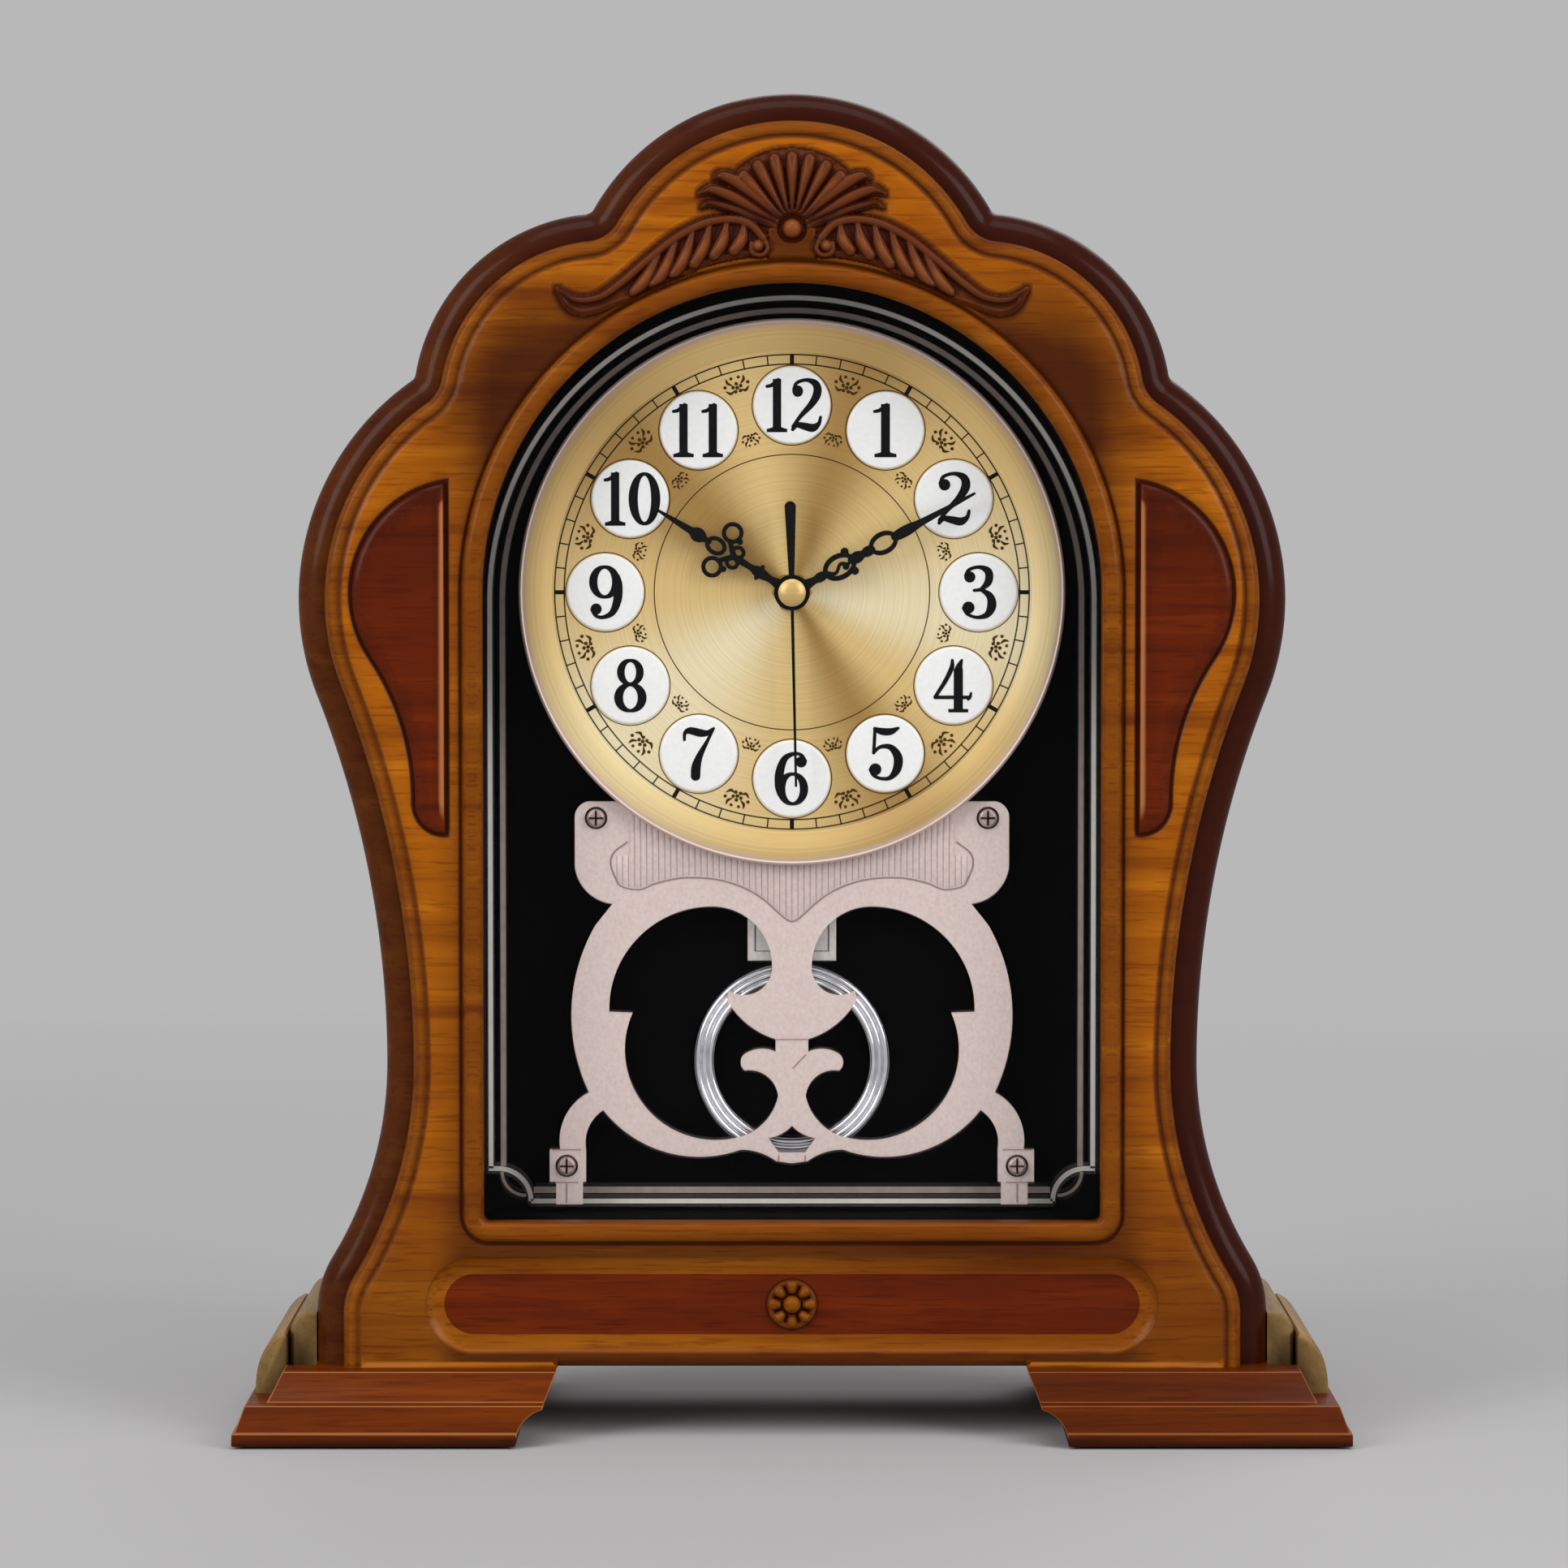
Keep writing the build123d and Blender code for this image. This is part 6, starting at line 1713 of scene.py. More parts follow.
class Stencil(Grid):
    """Flat shape drawn with round pens on a fine grid and cut out along its outline."""

    FAR = 10.0

    def __init__(self, low: Spot, high: Spot, step: float) -> None:
        """Starts empty between two corners."""
        super().__init__(low, high, step)
        self.gap = np.full(self.x.shape, self.FAR)

    def ink(self, gap: np.ndarray) -> "Stencil":
        """Adds the shape that has this distance from the grid's points."""
        self.gap = np.minimum(self.gap, gap)
        return self

    def pen(self, *rows: Sequence[float]) -> "Stencil":
        """Draws a smooth stroke.

        Args:
            rows: Its x, z and width at each stop.

        Returns:
            This stencil.
        """
        for gap, (width,) in self.stretches(rows):
            self.ink(gap - width / 2)
        return self

    def dot(self, x: float, z: float, radius: float) -> "Stencil":
        """Draws a full circle."""
        return self.ink(self.reach(x, z) - radius)

    def hoop(self, x: float, z: float, half_w: float, half_h: float, thin: float, thick: float) -> "Stencil":
        """Draws an oval stroke.

        Args:
            x: Its middle across.
            z: Its middle upwards.
            half_w: Half its width.
            half_h: Half its height.
            thin: Width of the stroke at top and bottom.
            thick: Width of the stroke at the sides.

        Returns:
            This stencil.
        """
        turns = np.linspace(0, FULL, 49)
        width = thin + (thick - thin) * np.abs(np.cos(turns)) ** 1.4
        rows = np.column_stack((x + half_w * np.cos(turns), z + half_h * np.sin(turns), width))
        for start, end in zip(rows, rows[1:]):
            self.pen(start, end)
        return self

    def block(self, x: float, z: float, width: float, height: float) -> "Stencil":
        """Draws a rectangle from its middle and size."""
        return self.ink(np.maximum(np.abs(self.x - x) - width / 2, np.abs(self.z - z) - height / 2))

    def cut(self, x: float, z: float, radius: float) -> "Stencil":
        """Cuts a round hole."""
        self.gap = np.maximum(self.gap, radius - self.reach(x, z))
        return self

    def loops(self) -> list[np.ndarray]:
        """Outlines of the shape.

        Returns:
            Closed loops of points.
        """
        solid = self.gap < 0
        neighbours: dict[tuple[int, int, int], list[tuple[int, int, int]]] = {}
        corner_sum = solid[:-1, :-1].astype(int) + solid[:-1, 1:] + solid[1:, 1:] + solid[1:, :-1]
        for row, column in zip(*np.nonzero((corner_sum > 0) & (corner_sum < 4))):
            sides = ((0, row, column), (1, row, column), (1, row, column + 1), (0, row + 1, column))
            crossed = [side for side in sides if self.crosses(solid, *side)]
            for first, second in zip(crossed[::2], crossed[1::2]):
                neighbours.setdefault(first, []).append(second)
                neighbours.setdefault(second, []).append(first)
        loops = []
        while neighbours:
            start = next(iter(neighbours))
            loop, at = [], start
            while at in neighbours:
                loop.append(self.crossing(*at))
                following = [side for side in neighbours.pop(at) if side in neighbours]
                at = following[0] if following else start
            loops.append(np.array(loop))
        return [loop for loop in loops if len(loop) > 5]

    def crosses(self, solid: np.ndarray, upright: int, row: int, column: int) -> bool:
        """Tells whether the outline crosses a side of a grid cell."""
        return bool(solid[row, column] != solid[row + upright, column + 1 - upright])

    def crossing(self, upright: int, row: int, column: int) -> Spot:
        """Where the outline crosses a side of a grid cell.

        Args:
            upright: 1 for an upright side, 0 for a level one.
            row: Row of its start.
            column: Column of its start.

        Returns:
            The place in x and z.
        """
        start, end = self.gap[row, column], self.gap[row + upright, column + 1 - upright]
        along = self.step * (start / (start - end))
        return self.xs[column] + along * (1 - upright), self.zs[row] + along * upright

    def inked(self, spots: np.ndarray) -> np.ndarray:
        """Tells which points are in the shape.

        Args:
            spots: Points in x and z.

        Returns:
            True for each one in it.
        """
        columns = np.clip((spots[:, 0] - self.xs[0]) / self.step, 0, len(self.xs) - 1.001)
        rows = np.clip((spots[:, 1] - self.zs[0]) / self.step, 0, len(self.zs) - 1.001)
        column, row = columns.astype(int), rows.astype(int)
        dx, dz = columns - column, rows - row
        lower = self.gap[row, column] * (1 - dx) + self.gap[row, column + 1] * dx
        upper = self.gap[row + 1, column] * (1 - dx) + self.gap[row + 1, column + 1] * dx
        return lower * (1 - dz) + upper * dz < 0

    def plate(
        self, draft: MeshDraft, place: Callable[[np.ndarray], np.ndarray], front_y: float, back_y: float
    ) -> None:
        """Adds the shape to a mesh as a thin plate.

        Args:
            draft: Mesh to add to.
            place: Moves drawn points to their place in x and z.
            front_y: Depth of the front.
            back_y: Depth of the back.
        """
        points, corners = fill(self.loops(), self.inked)
        spots = place(points)
        front, back = (draft.add(at_depth(spots, y)) for y in (front_y, back_y))
        for triangle in corners:
            draft.face(front[triangle])
            draft.face(back[triangle[::-1]])
        edges = dict.fromkeys(
            edge for triangle in corners.tolist() for edge in zip(triangle, triangle[1:] + triangle[:1])
        )
        for first, second in edges:
            if (second, first) not in edges:
                draft.face((front[first], front[second], back[second], back[first]))


def laid_out(points: np.ndarray, centre: Spot, turn: float, size: float = 1.0, flip: float = 1.0) -> np.ndarray:
    """Turns a drawing to an angle from the top, clockwise, and moves it to a centre."""
    out, across = heading(turn)
    return np.asarray(centre) + size * (points[:, :1] * across + flip * points[:, 1:] * out)


# ---------------------------------------------------------------- dial


@dataclass(frozen=True)
class Numeral:
    """One figure of the dial, with strong stems, fine hairlines and round ends, drawn round its middle.

    Args:
        pens: Strokes through rows of x, z and width.
        dots: Balls as x, z and radius.
        hoops: Ovals as x, z, half width, half height, thin stroke and thick stroke.
        blocks: Bars as x, z, width and height.
        low: Lower left corner of the sheet.
        high: Upper right corner.
        step: Fineness of the drawing.
        bolder: What the outline grows by.
    """

    pens: tuple[tuple[Line, ...], ...] = ()
    dots: tuple[Line, ...] = ()
    hoops: tuple[tuple[float, ...], ...] = ()
    blocks: tuple[tuple[float, ...], ...] = ()
    low: Spot = (-7.6, -9.4)
    high: Spot = (7.6, 9.4)
    step: float = 0.12
    bolder: float = 0.16

    def drawn(self) -> Stencil:
        """Draws the figure.

        Returns:
            Its shape.
        """
        sheet = Stencil(self.low, self.high, self.step)
        tools = (sheet.pen, sheet.dot, sheet.hoop, sheet.block)
        for draw, strokes in zip(tools, (self.pens, self.dots, self.hoops, self.blocks)):
            for stroke in strokes:
                draw(*stroke)
        sheet.gap -= self.bolder
        return sheet


NUMERALS: dict[str, Numeral] = {
    "0": Numeral(hoops=((0.0, 0.0, 3.8, 7.8, 0.75, 2.8),)),
    "1": Numeral(
        pens=(
            ((-2.4, -7.7, 0.7), (-1.0, -7.3, 1.0), (-0.5, -5.9, 1.3)),
            ((2.4, -7.7, 0.7), (1.0, -7.3, 1.0), (0.5, -5.9, 1.3)),
            ((-3.4, 5.9, 0.7), (-1.8, 6.3, 0.9), (0.4, 7.9, 1.0)),
        ),
        blocks=((0.0, 0.0, 2.5, 16.2), (0.0, -7.9, 6.6, 0.8)),
    ),
    "2": Numeral(
        pens=(
            ((-4.2, 4.9, 0.9), (-3.2, 7.0, 0.8), (0.2, 7.9, 0.9), (3.2, 6.6, 2.1), (3.7, 3.8, 2.5),
             (1.8, 0.4, 1.9), (-1.9, -3.4, 1.1), (-4.5, -6.7, 0.8)),
            ((-4.6, -7.6, 0.8), (-3.2, -6.2, 1.3), (-0.6, -6.6, 2.0), (2.2, -7.1, 2.2), (4.2, -5.8, 1.1),
             (4.8, -3.8, 0.7)),
        ),
        dots=((-2.9, 4.4, 1.65),),
    ),
    "3": Numeral(
        pens=(
            ((-4.1, 5.2, 0.8), (-3.0, 7.1, 0.8), (0.2, 7.9, 0.9), (3.0, 6.5, 2.1), (3.0, 3.3, 2.1),
             (0.6, 0.9, 0.8), (-1.4, 0.6, 0.7)),
            ((-1.2, 0.6, 0.7), (0.8, 0.7, 0.8), (3.5, -1.2, 2.0), (4.1, -4.2, 2.6), (2.7, -7.0, 1.7),
             (-0.4, -7.9, 0.8), (-3.4, -6.9, 0.8), (-4.7, -5.0, 0.9)),
        ),
        dots=((-2.8, 4.8, 1.6), (-3.2, -4.8, 1.75)),
    ),
    "4": Numeral(
        pens=(
            ((1.5, 4.8, 2.4), (1.9, 6.4, 1.5), (2.6, 8.0, 0.5)),
            ((-0.4, 8.0, 0.6), (-0.6, 5.6, 1.2), (-2.6, 1.4, 1.1), (-5.8, -3.6, 0.8)),
            ((4.6, -4.4, 0.5), (5.2, -3.6, 0.7), (5.5, -2.4, 0.5)),
        ),
        blocks=((1.5, -1.6, 2.6, 13.2), (1.5, -7.9, 6.0, 0.8), (-0.3, -3.7, 11.4, 0.85)),
    ),
    "5": Numeral(
        pens=(
            ((-3.3, 7.9, 0.8), (-1.2, 7.1, 1.9), (1.6, 7.0, 1.9), (4.1, 8.1, 0.6)),
            ((-3.2, 8.0, 0.75), (-3.4, 4.0, 0.75), (-3.6, 0.3, 0.75)),
            ((-3.6, 0.5, 0.7), (-1.4, 2.2, 0.9), (1.8, 2.0, 1.6), (4.0, -1.0, 2.5), (3.7, -4.8, 2.4),
             (1.6, -7.5, 1.2), (-1.2, -7.8, 0.8), (-3.6, -6.8, 0.8), (-4.6, -5.0, 0.9)),
        ),
        dots=((-3.1, -4.9, 1.75),),
    ),
    "6": Numeral(
        pens=(
            ((4.2, 5.6, 0.8), (3.0, 7.4, 0.8), (0.8, 7.9, 0.9), (-2.2, 6.4, 1.7), (-3.8, 2.4, 2.4),
             (-4.0, -2.0, 2.5), (-3.4, -4.6, 2.3)),
        ),
        dots=((2.9, 5.3, 1.6),),
        hoops=((0.2, -3.2, 3.6, 4.7, 0.75, 2.3),),
    ),
    "7": Numeral(
        pens=(
            ((-4.5, 4.4, 0.6), (-4.3, 6.6, 0.9), (-2.6, 7.3, 1.9), (0.4, 6.6, 2.2), (2.8, 6.6, 1.4),
             (4.7, 8.0, 0.6)),
            ((4.7, 8.0, 0.6), (2.8, 4.2, 0.8), (0.4, -0.4, 1.7), (-0.8, -4.0, 2.6), (-1.0, -7.0, 2.7)),
        ),
    ),
    "8": Numeral(hoops=((0.0, 4.2, 3.0, 3.7, 0.75, 2.1), (0.0, -3.8, 3.7, 4.1, 0.75, 2.5))),
}


def figure(digit: str) -> Stencil:
    """Draws one digit; the nine is the six turned upside down.

    Args:
        digit: The digit.

    Returns:
        Its shape.
    """
    sheet = NUMERALS["6" if digit == "9" else digit].drawn()
    if digit == "9":
        sheet.gap = sheet.gap[::-1, ::-1]
    return sheet


@dataclass
class Dial:
    """Spun dial with a domed rim, white number discs, numerals and printed rings."""

    plate_steps: tuple[float, ...] = (0.0, 0.1, 0.25, 0.4, 0.504, 0.6, 0.75, 0.9, 1.0)
    rim_w: float = 10.4
    rim_top: float = 0.72
    rim_rise: float = 0.6
    rim_fall: float = 4.0
    rim_silver: Line = (0.8, 1.0, 0.8)
    roll_w: float = 1.2
    roll_r: float = 1.1
    roll_back: float = 1.4
    disc_r: float = 12.1
    disc_ring_r: float = 58.7
    disc_round: float = 0.9
    disc_sink: float = 0.1
    track_outer: float = 74.6
    track_inner: float = 71.6
    line_w: float = 0.42
    hour_tick: float = 1.3
    minute_tick: float = 0.4
    inner_ring: float = 43.3
    inner_line: float = 0.34
    disc_gap: float = 0.42
    disc_line: float = 0.3
    sprigs: tuple[Line, ...] = ((66.4, 1.0, 1.0), (50.2, 0.72, -1.0))
    sprig_half: float = 4.6
    sprig_step: float = 0.12
    spokes: int = 240
    print_t: float = 0.06
    sink: float = 0.02
    pair_shift: Spot = (-4.7, 4.5)
    pair_width: float = 0.93

    def __post_init__(self) -> None:
        """Takes the place of the dial from the frame."""
        low, high = node_box("dial_plate")
        rim_low, rim_high = node_box("dial_bezel")
        self.centre_z = (low[2] + high[2]) / 2
        self.face_y, self.back_y = low[1], high[1]
        self.outer_r = rim_high[0]
        self.plate_r = self.outer_r - self.rim_w
        self.rim_front, self.rim_back = rim_low[1], rim_high[1]
        self.disc_y = node_box("number_discs")[0][1]
        self.middle = (0.0, self.centre_z)
        self.origin = (0.0, self.face_y, self.centre_z)
        self.print_depths = (self.face_y - self.print_t, self.face_y + self.sink)

    def build(self) -> None:
        """Builds the plate, the rim, the discs, the numerals and the print."""
        self.plate()
        self.rim()
        self.discs()
        self.numerals()
        self.track()
        self.filigree()

    def plate(self) -> None:
        """Flat spun plate inside the rim."""
        draft = MeshDraft()
        lines = [(self.plate_r * step, self.face_y, 0.0) for step in self.plate_steps]
        lines += [(self.plate_r, self.back_y, 0.0), (0.0, self.back_y, 0.0)]
        turn_section(draft, lines, self.middle, self.spokes)
        draft.piece("spun_plate", "case", "dial", replaced=("dial_plate",), centre=self.origin)

    def rim(self) -> None:
        """Domed gold rim with a silvery rolled outer edge."""
        draft = MeshDraft()
        inner, top, (start, end, most) = self.plate_r, self.rim_top, self.rim_silver
        rise = self.face_y - self.rim_front
        lines = [(inner, self.back_y, 0.0), (inner, self.face_y - self.sink, 0.0)]
        for share in np.linspace(0.08, 1.0, 14):
            swell = math.sin(QUARTER * min(share / top, 1.0)) - self.rim_fall * max(share - top, 0.0) ** 2
            silver = most * float(ease(start, end, share))
            reach = inner + (self.rim_w - self.roll_w) * share
            lines.append((reach, self.face_y - rise * self.rim_rise * swell, silver))
        edge_r, edge_y = self.outer_r - self.roll_r, lines[-1][1] + self.rim_rise
        for turn in np.linspace(-0.4 * HALF, QUARTER, 9):
            lines.append((edge_r + self.roll_r * math.cos(turn), edge_y + math.sin(turn), 1.0))
        lines += [(self.outer_r - self.roll_back, self.rim_back, 1.0), (inner, self.rim_back, 1.0), lines[0]]
        turn_section(draft, lines, self.middle, self.spokes)
        solids = ("dial_bezel",)
        draft.piece("spun_rim", "case", "bezel", RIM_GOLD, solids, weld=0.002, centre=self.origin)

    def spots(self) -> list[np.ndarray]:
        """Middles of the twelve discs, from one to twelve o'clock."""
        turns = np.radians(np.arange(30, 361, 30))
        return [np.array(self.middle) + self.disc_ring_r * heading(turn)[0] for turn in turns]

    def discs(self) -> None:
        """White discs with softly rounded edges."""
        draft = MeshDraft()
        thick, flat_r = self.face_y - self.disc_y, self.disc_r - self.disc_round
        lines = [(0.0, self.disc_y, 0.0), (flat_r, self.disc_y, 0.0)]
        for turn in np.linspace(0, QUARTER, 6)[1:]:
            drop = self.disc_y + thick * (1 - math.cos(turn))
            lines.append((flat_r + self.disc_round * math.sin(turn), drop, 0.0))
        foot_y = self.face_y + self.disc_sink
        lines += [(self.disc_r, foot_y, 0.0), (0.0, foot_y, 0.0)]
        for spot in self.spots():
            turn_section(draft, lines, spot, 72)
        draft.piece("enamel_discs", "case", "disc", replaced=("number_discs",))

    def numerals(self) -> None:
        """The numbers from one to twelve on their discs."""
        draft = MeshDraft()
        depths = (self.disc_y - self.print_t, self.disc_y + self.sink)
        for hour, spot in enumerate(self.spots(), start=1):
            pair = hour > 9
            scale = np.array((self.pair_width if pair else 1.0, 1.0))
            for digit, shift in zip(str(hour), self.pair_shift if pair else (0.0,)):
                place = spot + np.array((shift, 0.0))
                figure(digit).plate(draft, lambda points: points * scale + place, *depths)
        draft.piece("numerals", "case", "dial", finish=INK, crease=30.0)

    def ring(self, draft: MeshDraft, centre: Spot, radius: float, width: float, spokes: int) -> None:
        """Adds a thin printed ring.

        Args:
            draft: Mesh to add to.
            centre: Its middle.
            radius: Radius at the middle of the line.
            width: Width of the line.
            spokes: Number of steps round it.
        """
        (top, foot), inner, outer = self.print_depths, radius - width / 2, radius + width / 2
        corners = ((inner, foot), (inner, top), (outer, top), (outer, foot), (inner, foot))
        turn_section(draft, [(*corner, 0.0) for corner in corners], centre, spokes)

    def tick(self, draft: MeshDraft, turn: float, start: float, end: float, width: float) -> None:
        """Adds a printed tick along a radius.

        Args:
            draft: Mesh to add to.
            turn: Angle from the top, clockwise.
            start: Inner radius.
            end: Outer radius.
            width: Width.
        """
        half = width / 2
        loop = np.array(((-half, start), (-half, end), (half, end), (half, start)))
        draft.slab(laid_out(loop, self.middle, turn), *self.print_depths)

    def track(self) -> None:
        """Printed minute track, inner ring and lines round the discs."""
        draft = MeshDraft()
        for radius in (self.track_outer, self.track_inner):
            self.ring(draft, self.middle, radius, self.line_w, self.spokes)
        inner, outer = self.track_inner + self.line_w / 2, self.track_outer - self.line_w / 2
        for minute in range(60):
            width = self.minute_tick if minute % 5 else self.hour_tick
            self.tick(draft, math.radians(6 * minute), inner, outer, width)
        draft.piece("minute_track", "case", "dial", finish=INK, weld=0.001, crease=30.0)
        fine = MeshDraft()
        self.ring(fine, self.middle, self.inner_ring, self.inner_line, self.spokes)
        for spot in self.spots():
            self.ring(fine, spot, self.disc_r + self.disc_gap, self.disc_line, 96)
        fine.piece("fine_rings", "case", "dial", finish=BROWN_INK, crease=30.0)

    def filigree(self) -> None:
        """Small printed sprigs in the corners between the discs."""
        half = self.sprig_half
        sheet = Stencil((-half, -half), (half, half), self.sprig_step).dot(0.0, 0.0, 0.6)
        for petal in range(5):
            out, _ = heading(FULL * petal / 5)
            sheet.dot(*(1.3 * out), 0.58)
        for side in SIDES:
            sheet.pen((1.2 * side, -0.8, 0.4), (2.4 * side, -1.3, 0.9), (3.6 * side, -0.4, 0.4))
            sheet.pen((1.5 * side, 1.2, 0.4), (2.6 * side, 2.1, 0.9), (2.8 * side, 3.4, 0.3))
            sheet.dot(3.7 * side, 1.0, 0.55).dot(1.2 * side, 3.2, 0.5)
        draft = MeshDraft()
        for turn in np.radians(np.arange(15, 360, 30)):
            for radius, size, flip in self.sprigs:
                spot = np.array(self.middle) + heading(turn)[0] * radius
                sheet.plate(draft, lambda points: laid_out(points, spot, turn, size, flip), *self.print_depths)
        draft.piece("filigree", "case", "dial", finish=BROWN_INK, crease=30.0)


@dataclass
class Hands:
    """Pierced hour and minute hands and the thin second hand, each drawn upright from its axis."""

    hour_turn: float = 301.5
    minute_turn: float = 61.5
    second_turn: float = 178.8
    step: float = 0.14
    bolder: float = 0.18

    def build(self, dial: Dial) -> None:
        """Builds the three hands.

        Args:
            dial: The dial that they turn on.
        """
        for node, degrees, shape in (
            ("hour_hand", self.hour_turn, self.hour()),
            ("minute_hand", self.minute_turn, self.minute()),
            ("second_hand", self.second_turn, self.second()),
        ):
            low, high = node_box(node)
            turn = math.radians(degrees)
            draft = MeshDraft()
            shape.gap -= self.bolder
            shape.plate(draft, lambda points: laid_out(points, dial.middle, turn), low[1], high[1])
            draft.piece(node.replace("_hand", "_pointer"), node, "hand", replaced=(node,), crease=30.0)

    def hour(self) -> Stencil:
        """Hour hand: knots, a clover of open loops and a lance.

        Returns:
            Its shape.
        """
        sheet = Stencil((-12.0, -7.0), (12.0, 51.0), self.step).dot(0.0, 0.0, 5.2)
        sheet.pen((0.0, 4.0, 3.4), (0.0, 8.0, 1.9), (0.0, 12.0, 3.2), (0.0, 15.0, 1.7), (0.0, 19.0, 2.0))
        sheet.pen((-2.0, 12.0, 1.0), (2.0, 12.0, 1.0))
        for side in SIDES:
            sheet.hoop(side * 1.9, 20.9, 1.5, 1.7, 0.9, 0.9).hoop(side * 6.2, 25.6, 2.75, 2.75, 1.0, 1.0)
            sheet.pen((0.0, 21.4, 1.6), (side * 2.2, 23.6, 1.3), (side * 3.6, 25.0, 1.1))
            sheet.dot(side * 5.0, 22.2, 0.8)
        sheet.hoop(0.0, 28.0, 2.2, 2.9, 0.95, 1.0)
        sheet.pen(
            (0.0, 30.6, 1.4), (0.0, 32.6, 2.0), (0.0, 34.6, 4.2), (0.0, 36.6, 2.2), (0.0, 40.0, 1.7),
            (0.0, 49.6, 0.5),
        )
        return sheet.cut(0.0, 0.0, 1.9)

    def minute(self) -> Stencil:
        """Minute hand: a scroll loop, an open oval and a leaf.

        Returns:
            Its shape.
        """
        sheet = Stencil((-8.0, -7.0), (8.0, 67.0), self.step).dot(0.0, 0.0, 5.4)
        sheet.pen((0.0, 4.0, 3.6), (0.0, 8.0, 2.0), (0.0, 10.2, 2.8), (0.0, 12.4, 1.6))
        sheet.hoop(0.0, 17.0, 3.3, 4.8, 1.1, 1.3).hoop(0.0, 32.6, 2.8, 4.1, 1.0, 1.2)
        sheet.pen((0.0, 12.4, 1.2), (1.2, 15.0, 0.8), (-0.6, 17.6, 0.8), (0.6, 19.6, 1.0))
        sheet.dot(0.9, 18.8, 0.9).dot(-3.4, 20.6, 1.1).dot(3.4, 20.6, 1.1)
        sheet.pen((0.0, 21.2, 2.0), (0.0, 23.2, 3.4), (0.0, 25.2, 2.0), (0.0, 27.2, 3.0), (0.0, 28.6, 1.6))
        sheet.pen(
            (0.0, 36.4, 1.6), (0.0, 38.0, 2.9), (0.0, 41.4, 3.1), (0.0, 45.6, 2.0), (0.0, 50.0, 1.6),
            (0.0, 65.0, 0.5),
        )
        return sheet.cut(0.0, 0.0, 1.2)

    def second(self) -> Stencil:
        """Second hand: a needle with a widening tail."""
        sheet = Stencil((-6.0, -31.0), (6.0, 63.0), self.step).dot(0.0, 0.0, 4.6)
        return sheet.pen((0.0, 0.0, 0.7), (0.0, 60.6, 0.4)).pen((0.0, -4.0, 1.3), (0.0, -26.9, 3.2))


@dataclass
class BoardLines:
    """Two fine metal lines round the black board, with rounded notches at the lower corners."""

    pale_x: float = 95.7
    pale_w: float = 1.5
    pale_foot: float = 70.3
    pale_foot_w: float = 1.5
    grey_x: float = 91.7
    grey_w: float = 1.7
    grey_foot: float = 73.9
    grey_foot_w: float = 2.0
    grey_rise: float = 0.8
    grey_gap: float = 0.9
    arch_z: float = 261.3
    notch_x: float = 93.4
    notch_r: float = 10.4
    notch_w: float = 1.5
    lens_r: float = 7.6
    lens_w: float = 1.0
    lens_shift: Spot = (1.6, -1.0)
    lift: float = 0.05
    sink: float = 0.02

    def __post_init__(self) -> None:
        """Takes the place of the board from the frame."""
        board_y = node_box("dial_board")[0][1]
        self.depths = (board_y - self.lift, board_y + self.sink)

    def build(self) -> None:
        """Builds both lines."""
        top, half = self.pale_foot + self.notch_r, self.notch_x - self.notch_r
        notch, _ = arc((self.notch_x, self.pale_foot), self.notch_r, QUARTER, HALF, 20)
        notch = np.concatenate((((self.pale_x + self.pale_w / 2, top),), notch))
        lens_x, lens_z = self.lens_shift
        lens, _ = arc((half + lens_x, top + lens_z), self.lens_r, 0.0, -QUARTER, 16)
        pale, dark = MeshDraft(), MeshDraft()
        self.side_line(pale, self.pale_x, self.pale_w, top)
        self.foot_line(pale, half, self.pale_foot, self.pale_foot_w)
        self.side_line(dark, self.grey_x, self.grey_w, top + self.grey_rise)
        self.foot_line(dark, half - self.grey_gap, self.grey_foot, self.grey_foot_w)
        for side in SIDES:
            ribbon(pale, mirrored(notch, side), self.notch_w, *self.depths)
            ribbon(dark, mirrored(lens, side), self.lens_w, *self.depths)
        pale.piece("pale_lines", "case", "board", finish=PALE_LINE)
        dark.piece("grey_lines", "case", "board", finish=GREY_LINE)

    def side_line(self, draft: MeshDraft, x: float, width: float, foot: float) -> None:
        """Adds the line up one side, round the arch and down the other side."""
        path = np.concatenate((((x, foot),), arch(x, self.arch_z, 120), ((-x, foot),)))
        ribbon(draft, path, width, *self.depths)

    def foot_line(self, draft: MeshDraft, half: float, z: float, width: float) -> None:
        """Adds the straight line along the foot of the board."""
        ribbon(draft, ((-half, z), (half, z)), width, *self.depths)


